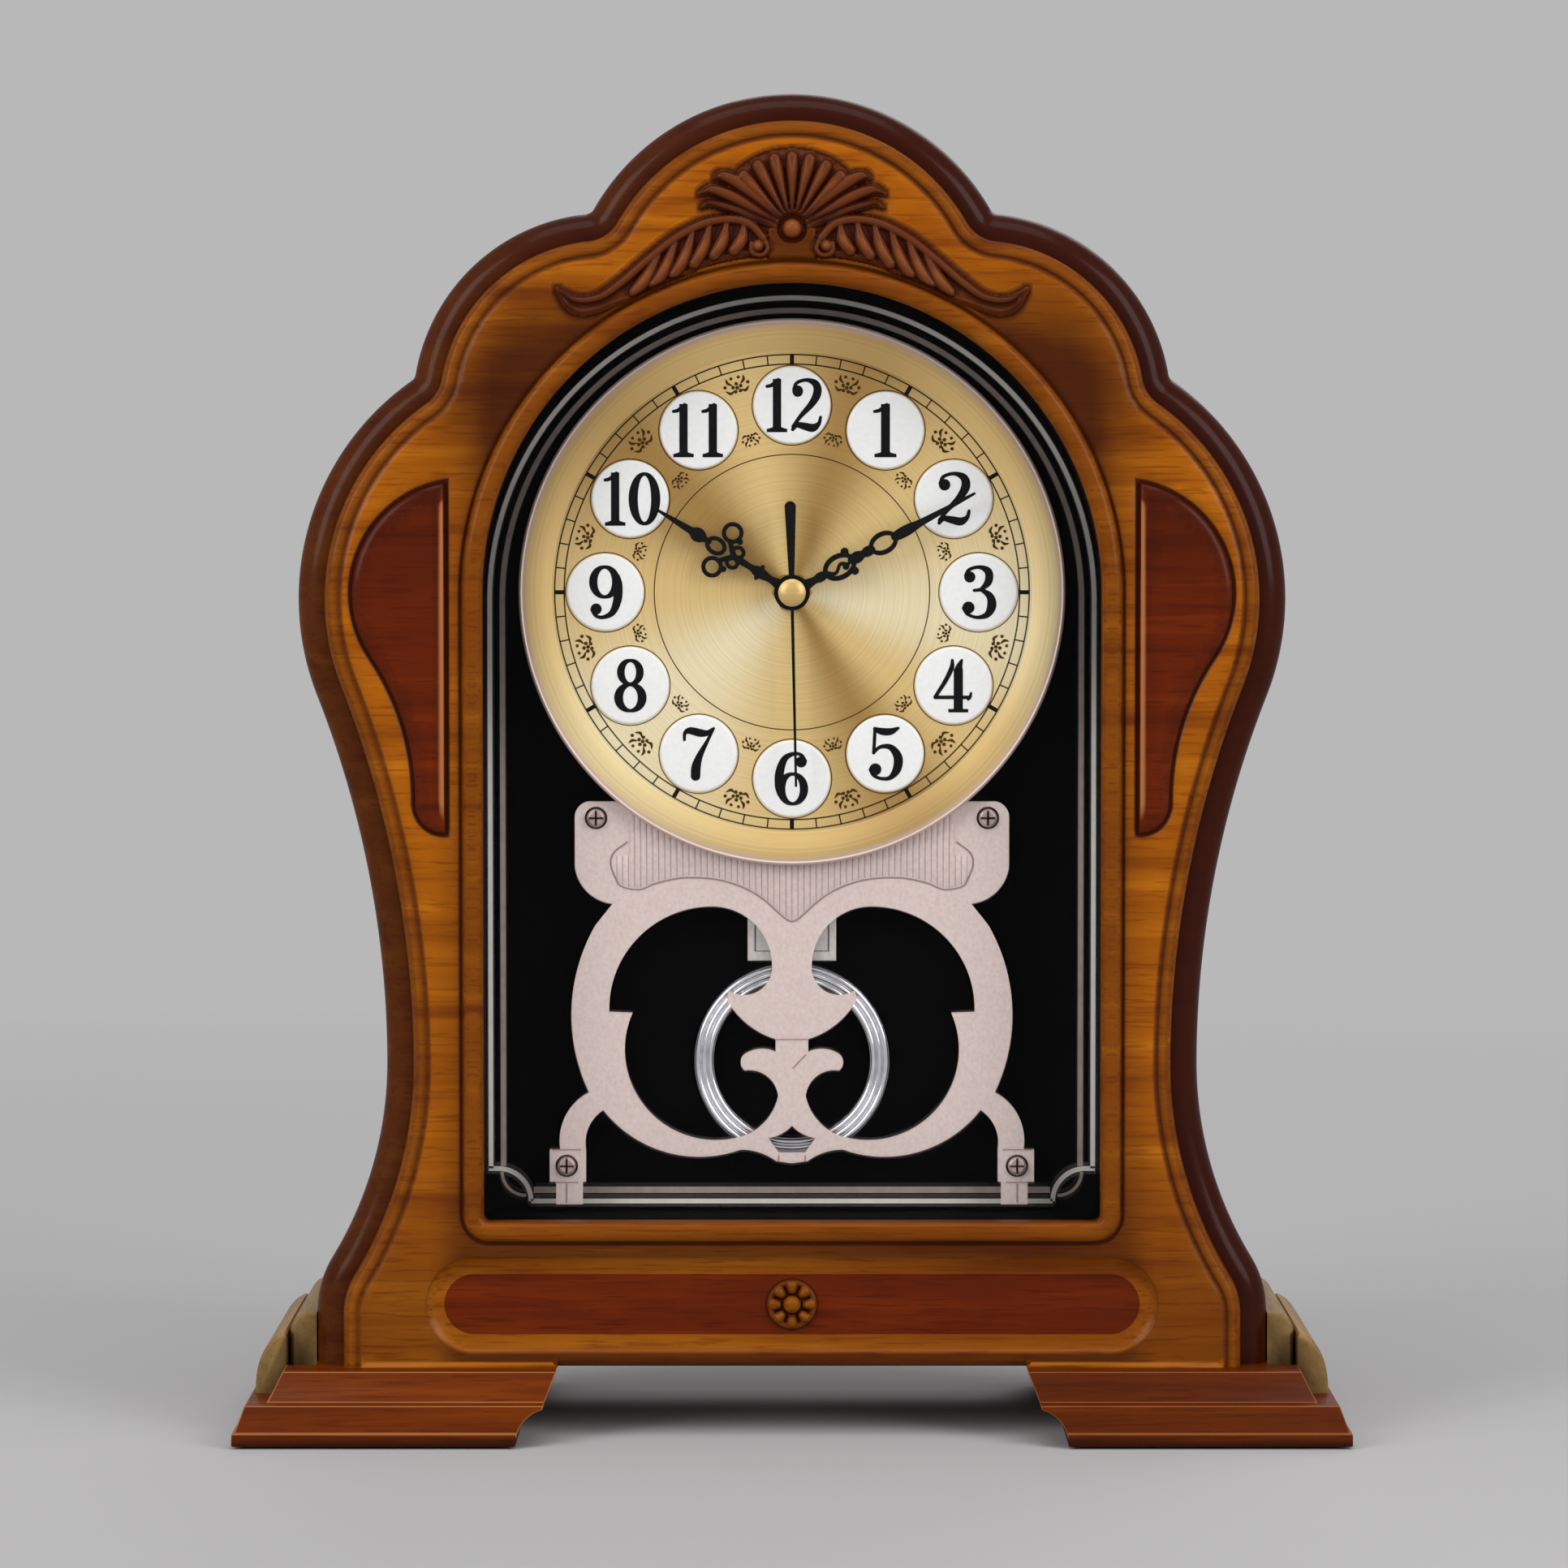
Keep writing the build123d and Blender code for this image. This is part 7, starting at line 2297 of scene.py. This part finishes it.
@dataclass
class Ornament:
    """Fluted field, border line, joints and painted shadows round the screws on the pierced ornament, and the
    bracket's groove.

    Curves and joints hold distances from the middle and rises over the ornament's foot.
    """

    border: tuple[Spot, ...] = (
        (0.0, 89.7), (2.5, 91.0), (9.0, 96.8), (15.5, 100.6), (23.9, 103.1), (34.1, 103.6), (42.5, 102.0),
        (48.1, 99.9), (54.0, 101.0), (56.0, 104.2),
    )
    curl: tuple[Spot, ...] = ((56.0, 104.2), (57.2, 108.0), (56.2, 111.6), (51.8, 115.0))
    border_w: float = 0.5
    border_tone: float = 0.8
    joints: tuple[tuple[Spot, Spot], ...] = (
        ((-5.0, 52.4), (5.0, 52.4)), ((0.2, 43.2), (4.4, 47.6)), ((-4.2, 15.6), (-4.2, 13.6)),
        ((4.2, 15.6), (4.2, 13.6)),
    )
    joint_w: float = 0.4
    joint_tone: float = 0.7
    lug_inset: float = 5.3
    lug_joints: tuple[tuple[Spot, Spot], ...] = (
        ((-4.6, 17.4), (4.6, 17.4)), ((-3.6, 7.0), (3.6, 7.0)), ((0.0, 0.6), (0.0, 6.6)),
    )
    line_lift: float = 0.12
    line_sink: float = 0.05
    pitch: float = 1.9
    rib_h: float = 0.35
    rib_inset: float = 0.6
    rib_end: float = 0.8
    rib_power: float = 0.7
    rib_tones: Spot = (0.75, 1.5)
    rib_lift: float = 0.02
    top_rise: float = 127.0
    shoulder_x: float = 51.0
    shoulder_rise: float = 110.6
    seat: tuple[Line, ...] = ((3.6, 0.05, 0.6), (3.5, -0.1, 0.6), (2.7, -0.12, 1.0), (2.6, 0.05, 1.0))
    slot_r: float = 2.3
    slot_w: float = 0.68
    slot_depths: Spot = (0.35, 0.69)
    groove_x: float = 11.6
    groove_rise: float = 3.0
    groove_w: float = 0.6
    groove_gap: float = 0.4
    groove_depths: Spot = (-0.04, 0.1)

    def __post_init__(self) -> None:
        """Takes the place of the plate from the frame."""
        low, high = node_box("ornament_plate")
        self.face_y, self.foot_z = low[1], low[2]
        self.lug_x = high[0] - self.lug_inset

    def build(self) -> None:
        """Builds the fluting, the lines, the painted screw shadows and the groove."""
        self.fluting()
        self.lines()
        self.screw_seats()
        self.bracket_groove()

    def fluting(self) -> None:
        """Upright ribs that fill the field under the dial."""
        draft = MeshDraft()
        inset, reach = self.rib_inset, self.border[-1][0] - self.rib_inset
        ribs = int(2 * reach / self.pitch)
        xs = np.linspace(-reach, reach, ribs * 8 + 1)
        height = self.rib_h * np.abs(np.sin(np.linspace(0, HALF * ribs, len(xs)))) ** self.rib_power
        # Painted shade in the hollows between the ribs, none on their crests.
        flute_hollow_shade, fall = self.rib_tones
        tone = np.clip(flute_hollow_shade - fall * height / self.rib_h, 0, 1)
        lower = self.foot_z + np.interp(np.abs(xs), *smooth_curve(self.border).T) + inset
        upper = self.foot_z + np.where(np.abs(xs) > self.shoulder_x, self.shoulder_rise, self.top_rise)
        rows = []
        for z, share in ((lower, 0.0), (lower + self.rib_end, 1.0), (upper - inset, 1.0), (upper, 0.0)):
            y = self.face_y - self.rib_lift - share * height
            rows.append(draft.add(np.column_stack((xs, y, z)), tone))
        draft.skin(rows)
        draft.piece("ornament_fluting", "case", "ornament", crease=60.0)

    def lines(self) -> None:
        """Dark border of the fluting and the joints pressed into the plate."""
        draft = MeshDraft()
        depths = (self.face_y - self.line_lift, self.face_y + self.line_sink)
        foot = np.array((0.0, self.foot_z))
        for side in SIDES:
            for curve in (self.border, self.curl):
                path = mirrored(smooth_curve(curve), side) + foot
                ribbon(draft, path, self.border_w, *depths, self.border_tone)
            for joint, width in zip(self.lug_joints, (self.joint_w, self.joint_w, self.border_w)):
                path = np.array(joint) + np.array((self.lug_x, 0.0))
                ribbon(draft, mirrored(path, side) + foot, width, *depths, self.joint_tone)
        for joint in self.joints:
            ribbon(draft, np.array(joint) + foot, self.joint_w, *depths, self.joint_tone)
        draft.piece("ornament_lines", "case", "ornament")

    def screw_seats(self) -> None:
        """Dark dished seats round the four screws and dark slots in them: a painted shadow round each head and
        painted shade in its cross recess.
        """
        head_y = node_box("ornament_screws")[0][1]
        depths = [head_y + depth for depth in self.slot_depths]
        draft = MeshDraft()
        for x, z in self.screw_spots():
            # Painted shadow round the head and painted shade in the cross recess.
            turn_section(draft, sunk(self.seat, self.face_y), (x, z), 40)
            for dx, dz in ((self.slot_r, 0.0), (0.0, self.slot_r)):
                ribbon(draft, ((x - dx, z - dz), (x + dx, z + dz)), self.slot_w, *depths)
        draft.piece("screw_seats", "case", "ornament", finish=INK, crease=30.0)

    def bracket_groove(self) -> None:
        """Groove that runs round the face of the pendulum's bracket, a dark strip of painted shade."""
        low, high = node_box("pendulum_bracket")
        foot, top, half = low[2] + self.groove_rise, high[2] - self.groove_gap, self.groove_x
        draft = MeshDraft()
        path = ((-half, top), (-half, foot), (half, foot), (half, top))
        ribbon(draft, path, self.groove_w, *(low[1] + depth for depth in self.groove_depths), 1.0)
        draft.piece("bracket_groove", "case", "bracket")

    def screw_spots(self) -> list[Spot]:
        """Middles of the four screws, from the solid's own points.

        Returns:
            Places in x and z.
        """
        mesh = frame["nodes"]["ornament_screws"].data
        points = np.array([point.co[:] for point in mesh.vertices]) / MM
        middle_z = (points[:, 2].min() + points[:, 2].max()) / 2
        spots = []
        for side in SIDES:
            for level in SIDES:
                group = points[(side * points[:, 0] > 0) & (level * (points[:, 2] - middle_z) > 0)]
                centre = (group.min(axis=0) + group.max(axis=0)) / 2
                spots.append((float(centre[0]), float(centre[2])))
        return spots


# ---------------------------------------------------------------- case


@dataclass(frozen=True)
class SoftCopy:
    """Copy of a solid with its sharp edges rounded, a painted highlight on them and painted shade along the
    floor.

    Args:
        node: The solid.
        radius: Rounding of the edges in millimetres.
        body: Body that carries it.
        sharp: Angle in degrees over which an edge is rounded.
        rub: Strength of the painted highlight on the rounded edges.
        shade_h: Height of the dark band along the floor in millimetres.
        shade: Tone of that band, painted shade along the floor.
        stain: Tone of the rest; on the right foot it is painted shade.
        weld: Distance in millimetres under which points merge.
        flat: Angle in degrees under which faces merge.
    """

    node: str
    radius: float
    body: str = "case"
    sharp: float = 24.0
    rub: float = 0.2
    shade_h: float = 0.0
    shade: float = 0.8
    stain: float = 0.0
    weld: float = 0.01
    flat: float = 1.0

    def build(self) -> None:
        """Builds the copy."""
        shape = bmesh.new()
        shape.from_mesh(frame["nodes"][self.node].data)
        bmesh.ops.remove_doubles(shape, verts=shape.verts, dist=self.weld * MM)
        bmesh.ops.dissolve_limit(
            shape, angle_limit=math.radians(self.flat), verts=shape.verts, edges=shape.edges, delimit=set()
        )
        limit = math.radians(self.sharp)
        edges = [edge for edge in shape.edges if edge.is_manifold and edge.calc_face_angle() > limit]
        made = bmesh.ops.bevel(
            shape, geom=edges, offset=self.radius * MM, offset_type="OFFSET", segments=3, profile=0.5,
            affect="EDGES", clamp_overlap=True,
        )
        tone = shape.verts.layers.float.new("tone")
        rounded = set(made["faces"])
        # Painted shade along the floor and a painted highlight on the rounded edges.
        for vert in shape.verts:
            vert[tone] = self.stain
            if vert.co.z < self.shade_h * MM:
                vert[tone] = self.shade
            elif all(face in rounded for face in vert.link_faces):
                vert[tone] = -self.rub
        bmesh.ops.triangulate(shape, faces=[face for face in shape.faces if len(face.verts) > 4])
        mesh = bpy.data.meshes.new(self.node + "_soft")
        shape.to_mesh(mesh)
        shape.free()
        piece = new_object(self.node + "_soft", mesh)
        dress(piece, self.body, NODE_SLOTS[self.node], None, (self.node,), 40.0)


SOFT_COPIES = (
    SoftCopy("foot_left", 1.2, rub=0.5, shade_h=3.6),
    # The right foot gets painted shade and less painted highlight than the left.
    SoftCopy("foot_right", 1.2, rub=0.3, shade_h=3.6, stain=0.25),
    SoftCopy("rear_door", 1.2, body="door"),
    SoftCopy("case_side_left", 0.5), SoftCopy("case_side_right", 0.5), SoftCopy("base_board", 0.6),
    SoftCopy("movement_rear_shell", 0.5), SoftCopy("pendulum_bracket", 0.15),
)


@dataclass
class SideMoulding:
    """Olive moulding on top of a foot: a bead by the board, a quirk and a large ovolo outside it."""

    hem_x: float = 149.75
    bead_w: float = 8.4
    bead_round: Spot = (5.6, 6.4)
    bead_z: float = 37.6
    bead_back: float = 6.5
    quirk_w: float = 0.7
    quirk_drop: float = 0.9
    ovolo_z: float = 32.2
    ovolo_powers: Spot = (1.25, 0.8)
    nose: float = 1.2

    def build(self) -> None:
        """Builds the two mouldings."""
        low, high = node_box("side_moulding_right")
        for side, node in zip(SIDES, ("side_moulding_left", "side_moulding_right")):
            draft = MeshDraft()
            self.run(draft, self.bead(low[2]), low[1] + self.bead_back, high[1], side)
            self.run(draft, self.ovolo(low[2], high[0]), low[1], high[1], side)
            draft.piece(node + "_run", "case", "moulding_wood", replaced=(node,), crease=40.0)

    def bead(self, foot_z: float) -> np.ndarray:
        """Section of the bead by the board.

        Args:
            foot_z: Height of its foot.

        Returns:
            Rows of x, z and tone, the outer wall in painted shade.
        """
        edge_x, (round_x, round_z) = self.hem_x + self.bead_w, self.bead_round
        turns = np.linspace(0, QUARTER, 9)
        across = edge_x - round_x * (1 - np.sin(turns))
        top = np.column_stack((across, self.bead_z - round_z * (1 - np.cos(turns)), np.full(9, 0.1)))
        # Painted shade on the bead's outer wall, down into the quirk.
        top[-1, 2] = 0.8
        inner = ((self.hem_x, foot_z, 0.4), (self.hem_x, self.bead_z, 0.2))
        return np.concatenate((inner, top, ((edge_x, foot_z, 1.0),)))

    def ovolo(self, foot_z: float, toe_x: float) -> np.ndarray:
        """Section of the ovolo outside the bead.

        Args:
            foot_z: Height of its foot.
            toe_x: Where it ends on the foot.

        Returns:
            Rows of x, z and tone, with painted shade in the quirk and a painted highlight on top.
        """
        start_x = self.hem_x + self.bead_w + self.quirk_w
        turns = np.linspace(0.12, QUARTER, 14)
        out, up = self.ovolo_powers
        across = start_x + (toe_x - start_x) * np.sin(turns) ** out
        rise = foot_z + (self.ovolo_z - foot_z) * np.cos(turns) ** up
        # Painted shade on the quirk's wall, and a painted highlight along the top of the ovolo.
        inner = ((start_x, foot_z, 1.0), (start_x, self.ovolo_z - self.quirk_drop, 0.6))
        return np.concatenate((inner, np.column_stack((across, rise, np.where(turns < 0.4, -0.15, 0.1)))))

    def run(self, draft: MeshDraft, section: np.ndarray, front_y: float, back_y: float, side: int) -> None:
        """Runs a section from its rounded front end to the back.

        Args:
            draft: Mesh to add to.
            section: Rows of x, z and tone.
            front_y: Depth of the front end.
            back_y: Depth of the back end.
            side: 1 on the right, -1 on the left.
        """
        outline, tone = section[:, :2], section[:, 2]
        foot, size = outline[0], np.ptp(outline, axis=0)
        rows = []
        for turn in np.linspace(0, QUARTER, 6):
            inset = self.nose * (1 - math.sin(turn))
            flat = foot + (outline - foot) * (1 - inset / size)
            y = front_y + self.nose * (1 - math.cos(turn))
            rows.append(draft.add(at_depth(mirrored(flat, side), y), tone))
        rows.append(draft.add(at_depth(mirrored(outline, side), back_y), tone))
        draft.skin(rows, closed=True)
        draft.face(rows[0])
        draft.face(rows[-1][::-1])


# ---------------------------------------------------------------- scene


def aim(item: bpy.types.Object, target: Vector) -> None:
    """Turns a lamp or the camera to a target."""
    item.rotation_euler = (target - item.location).to_track_quat("-Z", "Y").to_euler()


@dataclass
class Studio:
    """Pale floor and backdrop, soft lamps and the camera.

    Each soft box holds its name, its place, width and height in metres, and its power in watts.
    """

    distance: float = 1.9
    elevation: float = 3.0
    lens: float = 140.0
    sensor: float = 36.0
    centre_x: float = -2.5
    centre_z: float = 205.0
    floor_half: float = 5000.0
    floor_back: float = 2700.0
    sweep_r: float = 900.0
    wall_h: float = 4000.0
    paper: Paper = Paper("studio_paper", srgb(180, 179, 180), srgb(185, 184, 185))
    sky: Colour = srgb(232, 232, 234)
    surround: float = 0.42
    reflected: float = 0.6
    lamp_target: Line = (0.0, 0.0, 0.2)
    soft_boxes: tuple[tuple[str, Line, Spot, float], ...] = (
        ("left_box", (-1.5, -1.3, 1.1), (0.9, 1.4), 21.0), ("right_box", (1.5, -1.2, 1.0), (0.9, 1.4), 20.0),
        ("top_box", (0.0, -0.6, 2.2), (1.8, 1.2), 17.0), ("rear_box", (0.4, 1.7, 1.5), (1.4, 1.0), 12.0),
    )

    def build(self) -> None:
        """Builds the floor, the lamps and the camera."""
        self.backdrop()
        self.lamps()
        self.surroundings()
        self.camera()
        bpy.context.scene.view_settings.view_transform = "Standard"

    def backdrop(self) -> None:
        """Floor that curves up into a wall behind the clock."""
        half, far, radius = self.floor_half, self.floor_back, self.sweep_r
        turns = np.linspace(0, QUARTER, 16)
        bend = np.column_stack((far + radius * np.sin(turns), radius * (1 - np.cos(turns))))
        section = np.concatenate((((-half, 0.0),), bend, ((far + radius, self.wall_h),)))
        draft = MeshDraft()
        draft.skin([draft.add(np.array(((-half, y, z), (half, y, z)))) for y, z in section])
        mesh = draft.mesh("studio_floor")
        mesh.shade_smooth()
        mesh.materials.append(material_of(self.paper))
        new_object("studio_floor", mesh)

    def lamps(self) -> None:
        """Soft boxes on both sides, above and behind, aimed at the clock."""
        for name, place, size, power in self.soft_boxes:
            light = bpy.data.lights.new(name, "AREA")
            light.shape = "RECTANGLE"
            light.size, light.size_y = size
            light.energy = power
            lamp = new_object(name, light)
            lamp.location = place
            aim(lamp, Vector(self.lamp_target))

    def surroundings(self) -> None:
        """Even light from all round, a little brighter where gloss and glass show it."""
        world = bpy.data.worlds.new("studio")
        sheet = NodeSheet(world, "Background")
        level = sheet.fit(sheet.seen(), (0.0, 1.0), (self.surround, self.reflected))
        sheet.surface(Color=self.sky, Strength=level)
        bpy.context.scene.world = world

    def camera(self) -> None:
        """Camera in front of the clock, a little above its middle."""
        view = bpy.data.cameras.new("view")
        view.lens = self.lens
        view.sensor_width = self.sensor
        eye = new_object("view", view)
        target = Vector((self.centre_x, node_box("front_panel")[0][1], self.centre_z)) * MM
        rise = math.radians(self.elevation)
        eye.location = target + self.distance * Vector((0.0, -math.cos(rise), math.sin(rise)))
        aim(eye, target)
        bpy.context.scene.camera = eye


def dress_solids() -> None:
    """Gives every solid of the frame its slot's finish."""
    for node, solid in frame["nodes"].items():
        solid.data.materials.clear()
        solid.data.materials.append(material_of(SLOT_FINISH[NODE_SLOTS[node]]))


def main() -> None:
    """Builds the clock piece by piece, then the studio round it."""
    logging.basicConfig(level=logging.INFO, format="%(name)s: %(message)s")
    dress_solids()
    board, dial = FrontBoard(), Dial()
    board.build()
    Crest().build(board)
    Rosette().build()
    dial.build()
    Hands().build(dial)
    BoardLines().build()
    Ornament().build()
    SideMoulding().build()
    for copy in SOFT_COPIES:
        copy.build()
    Studio().build()


if __name__ == "__main__":
    main()
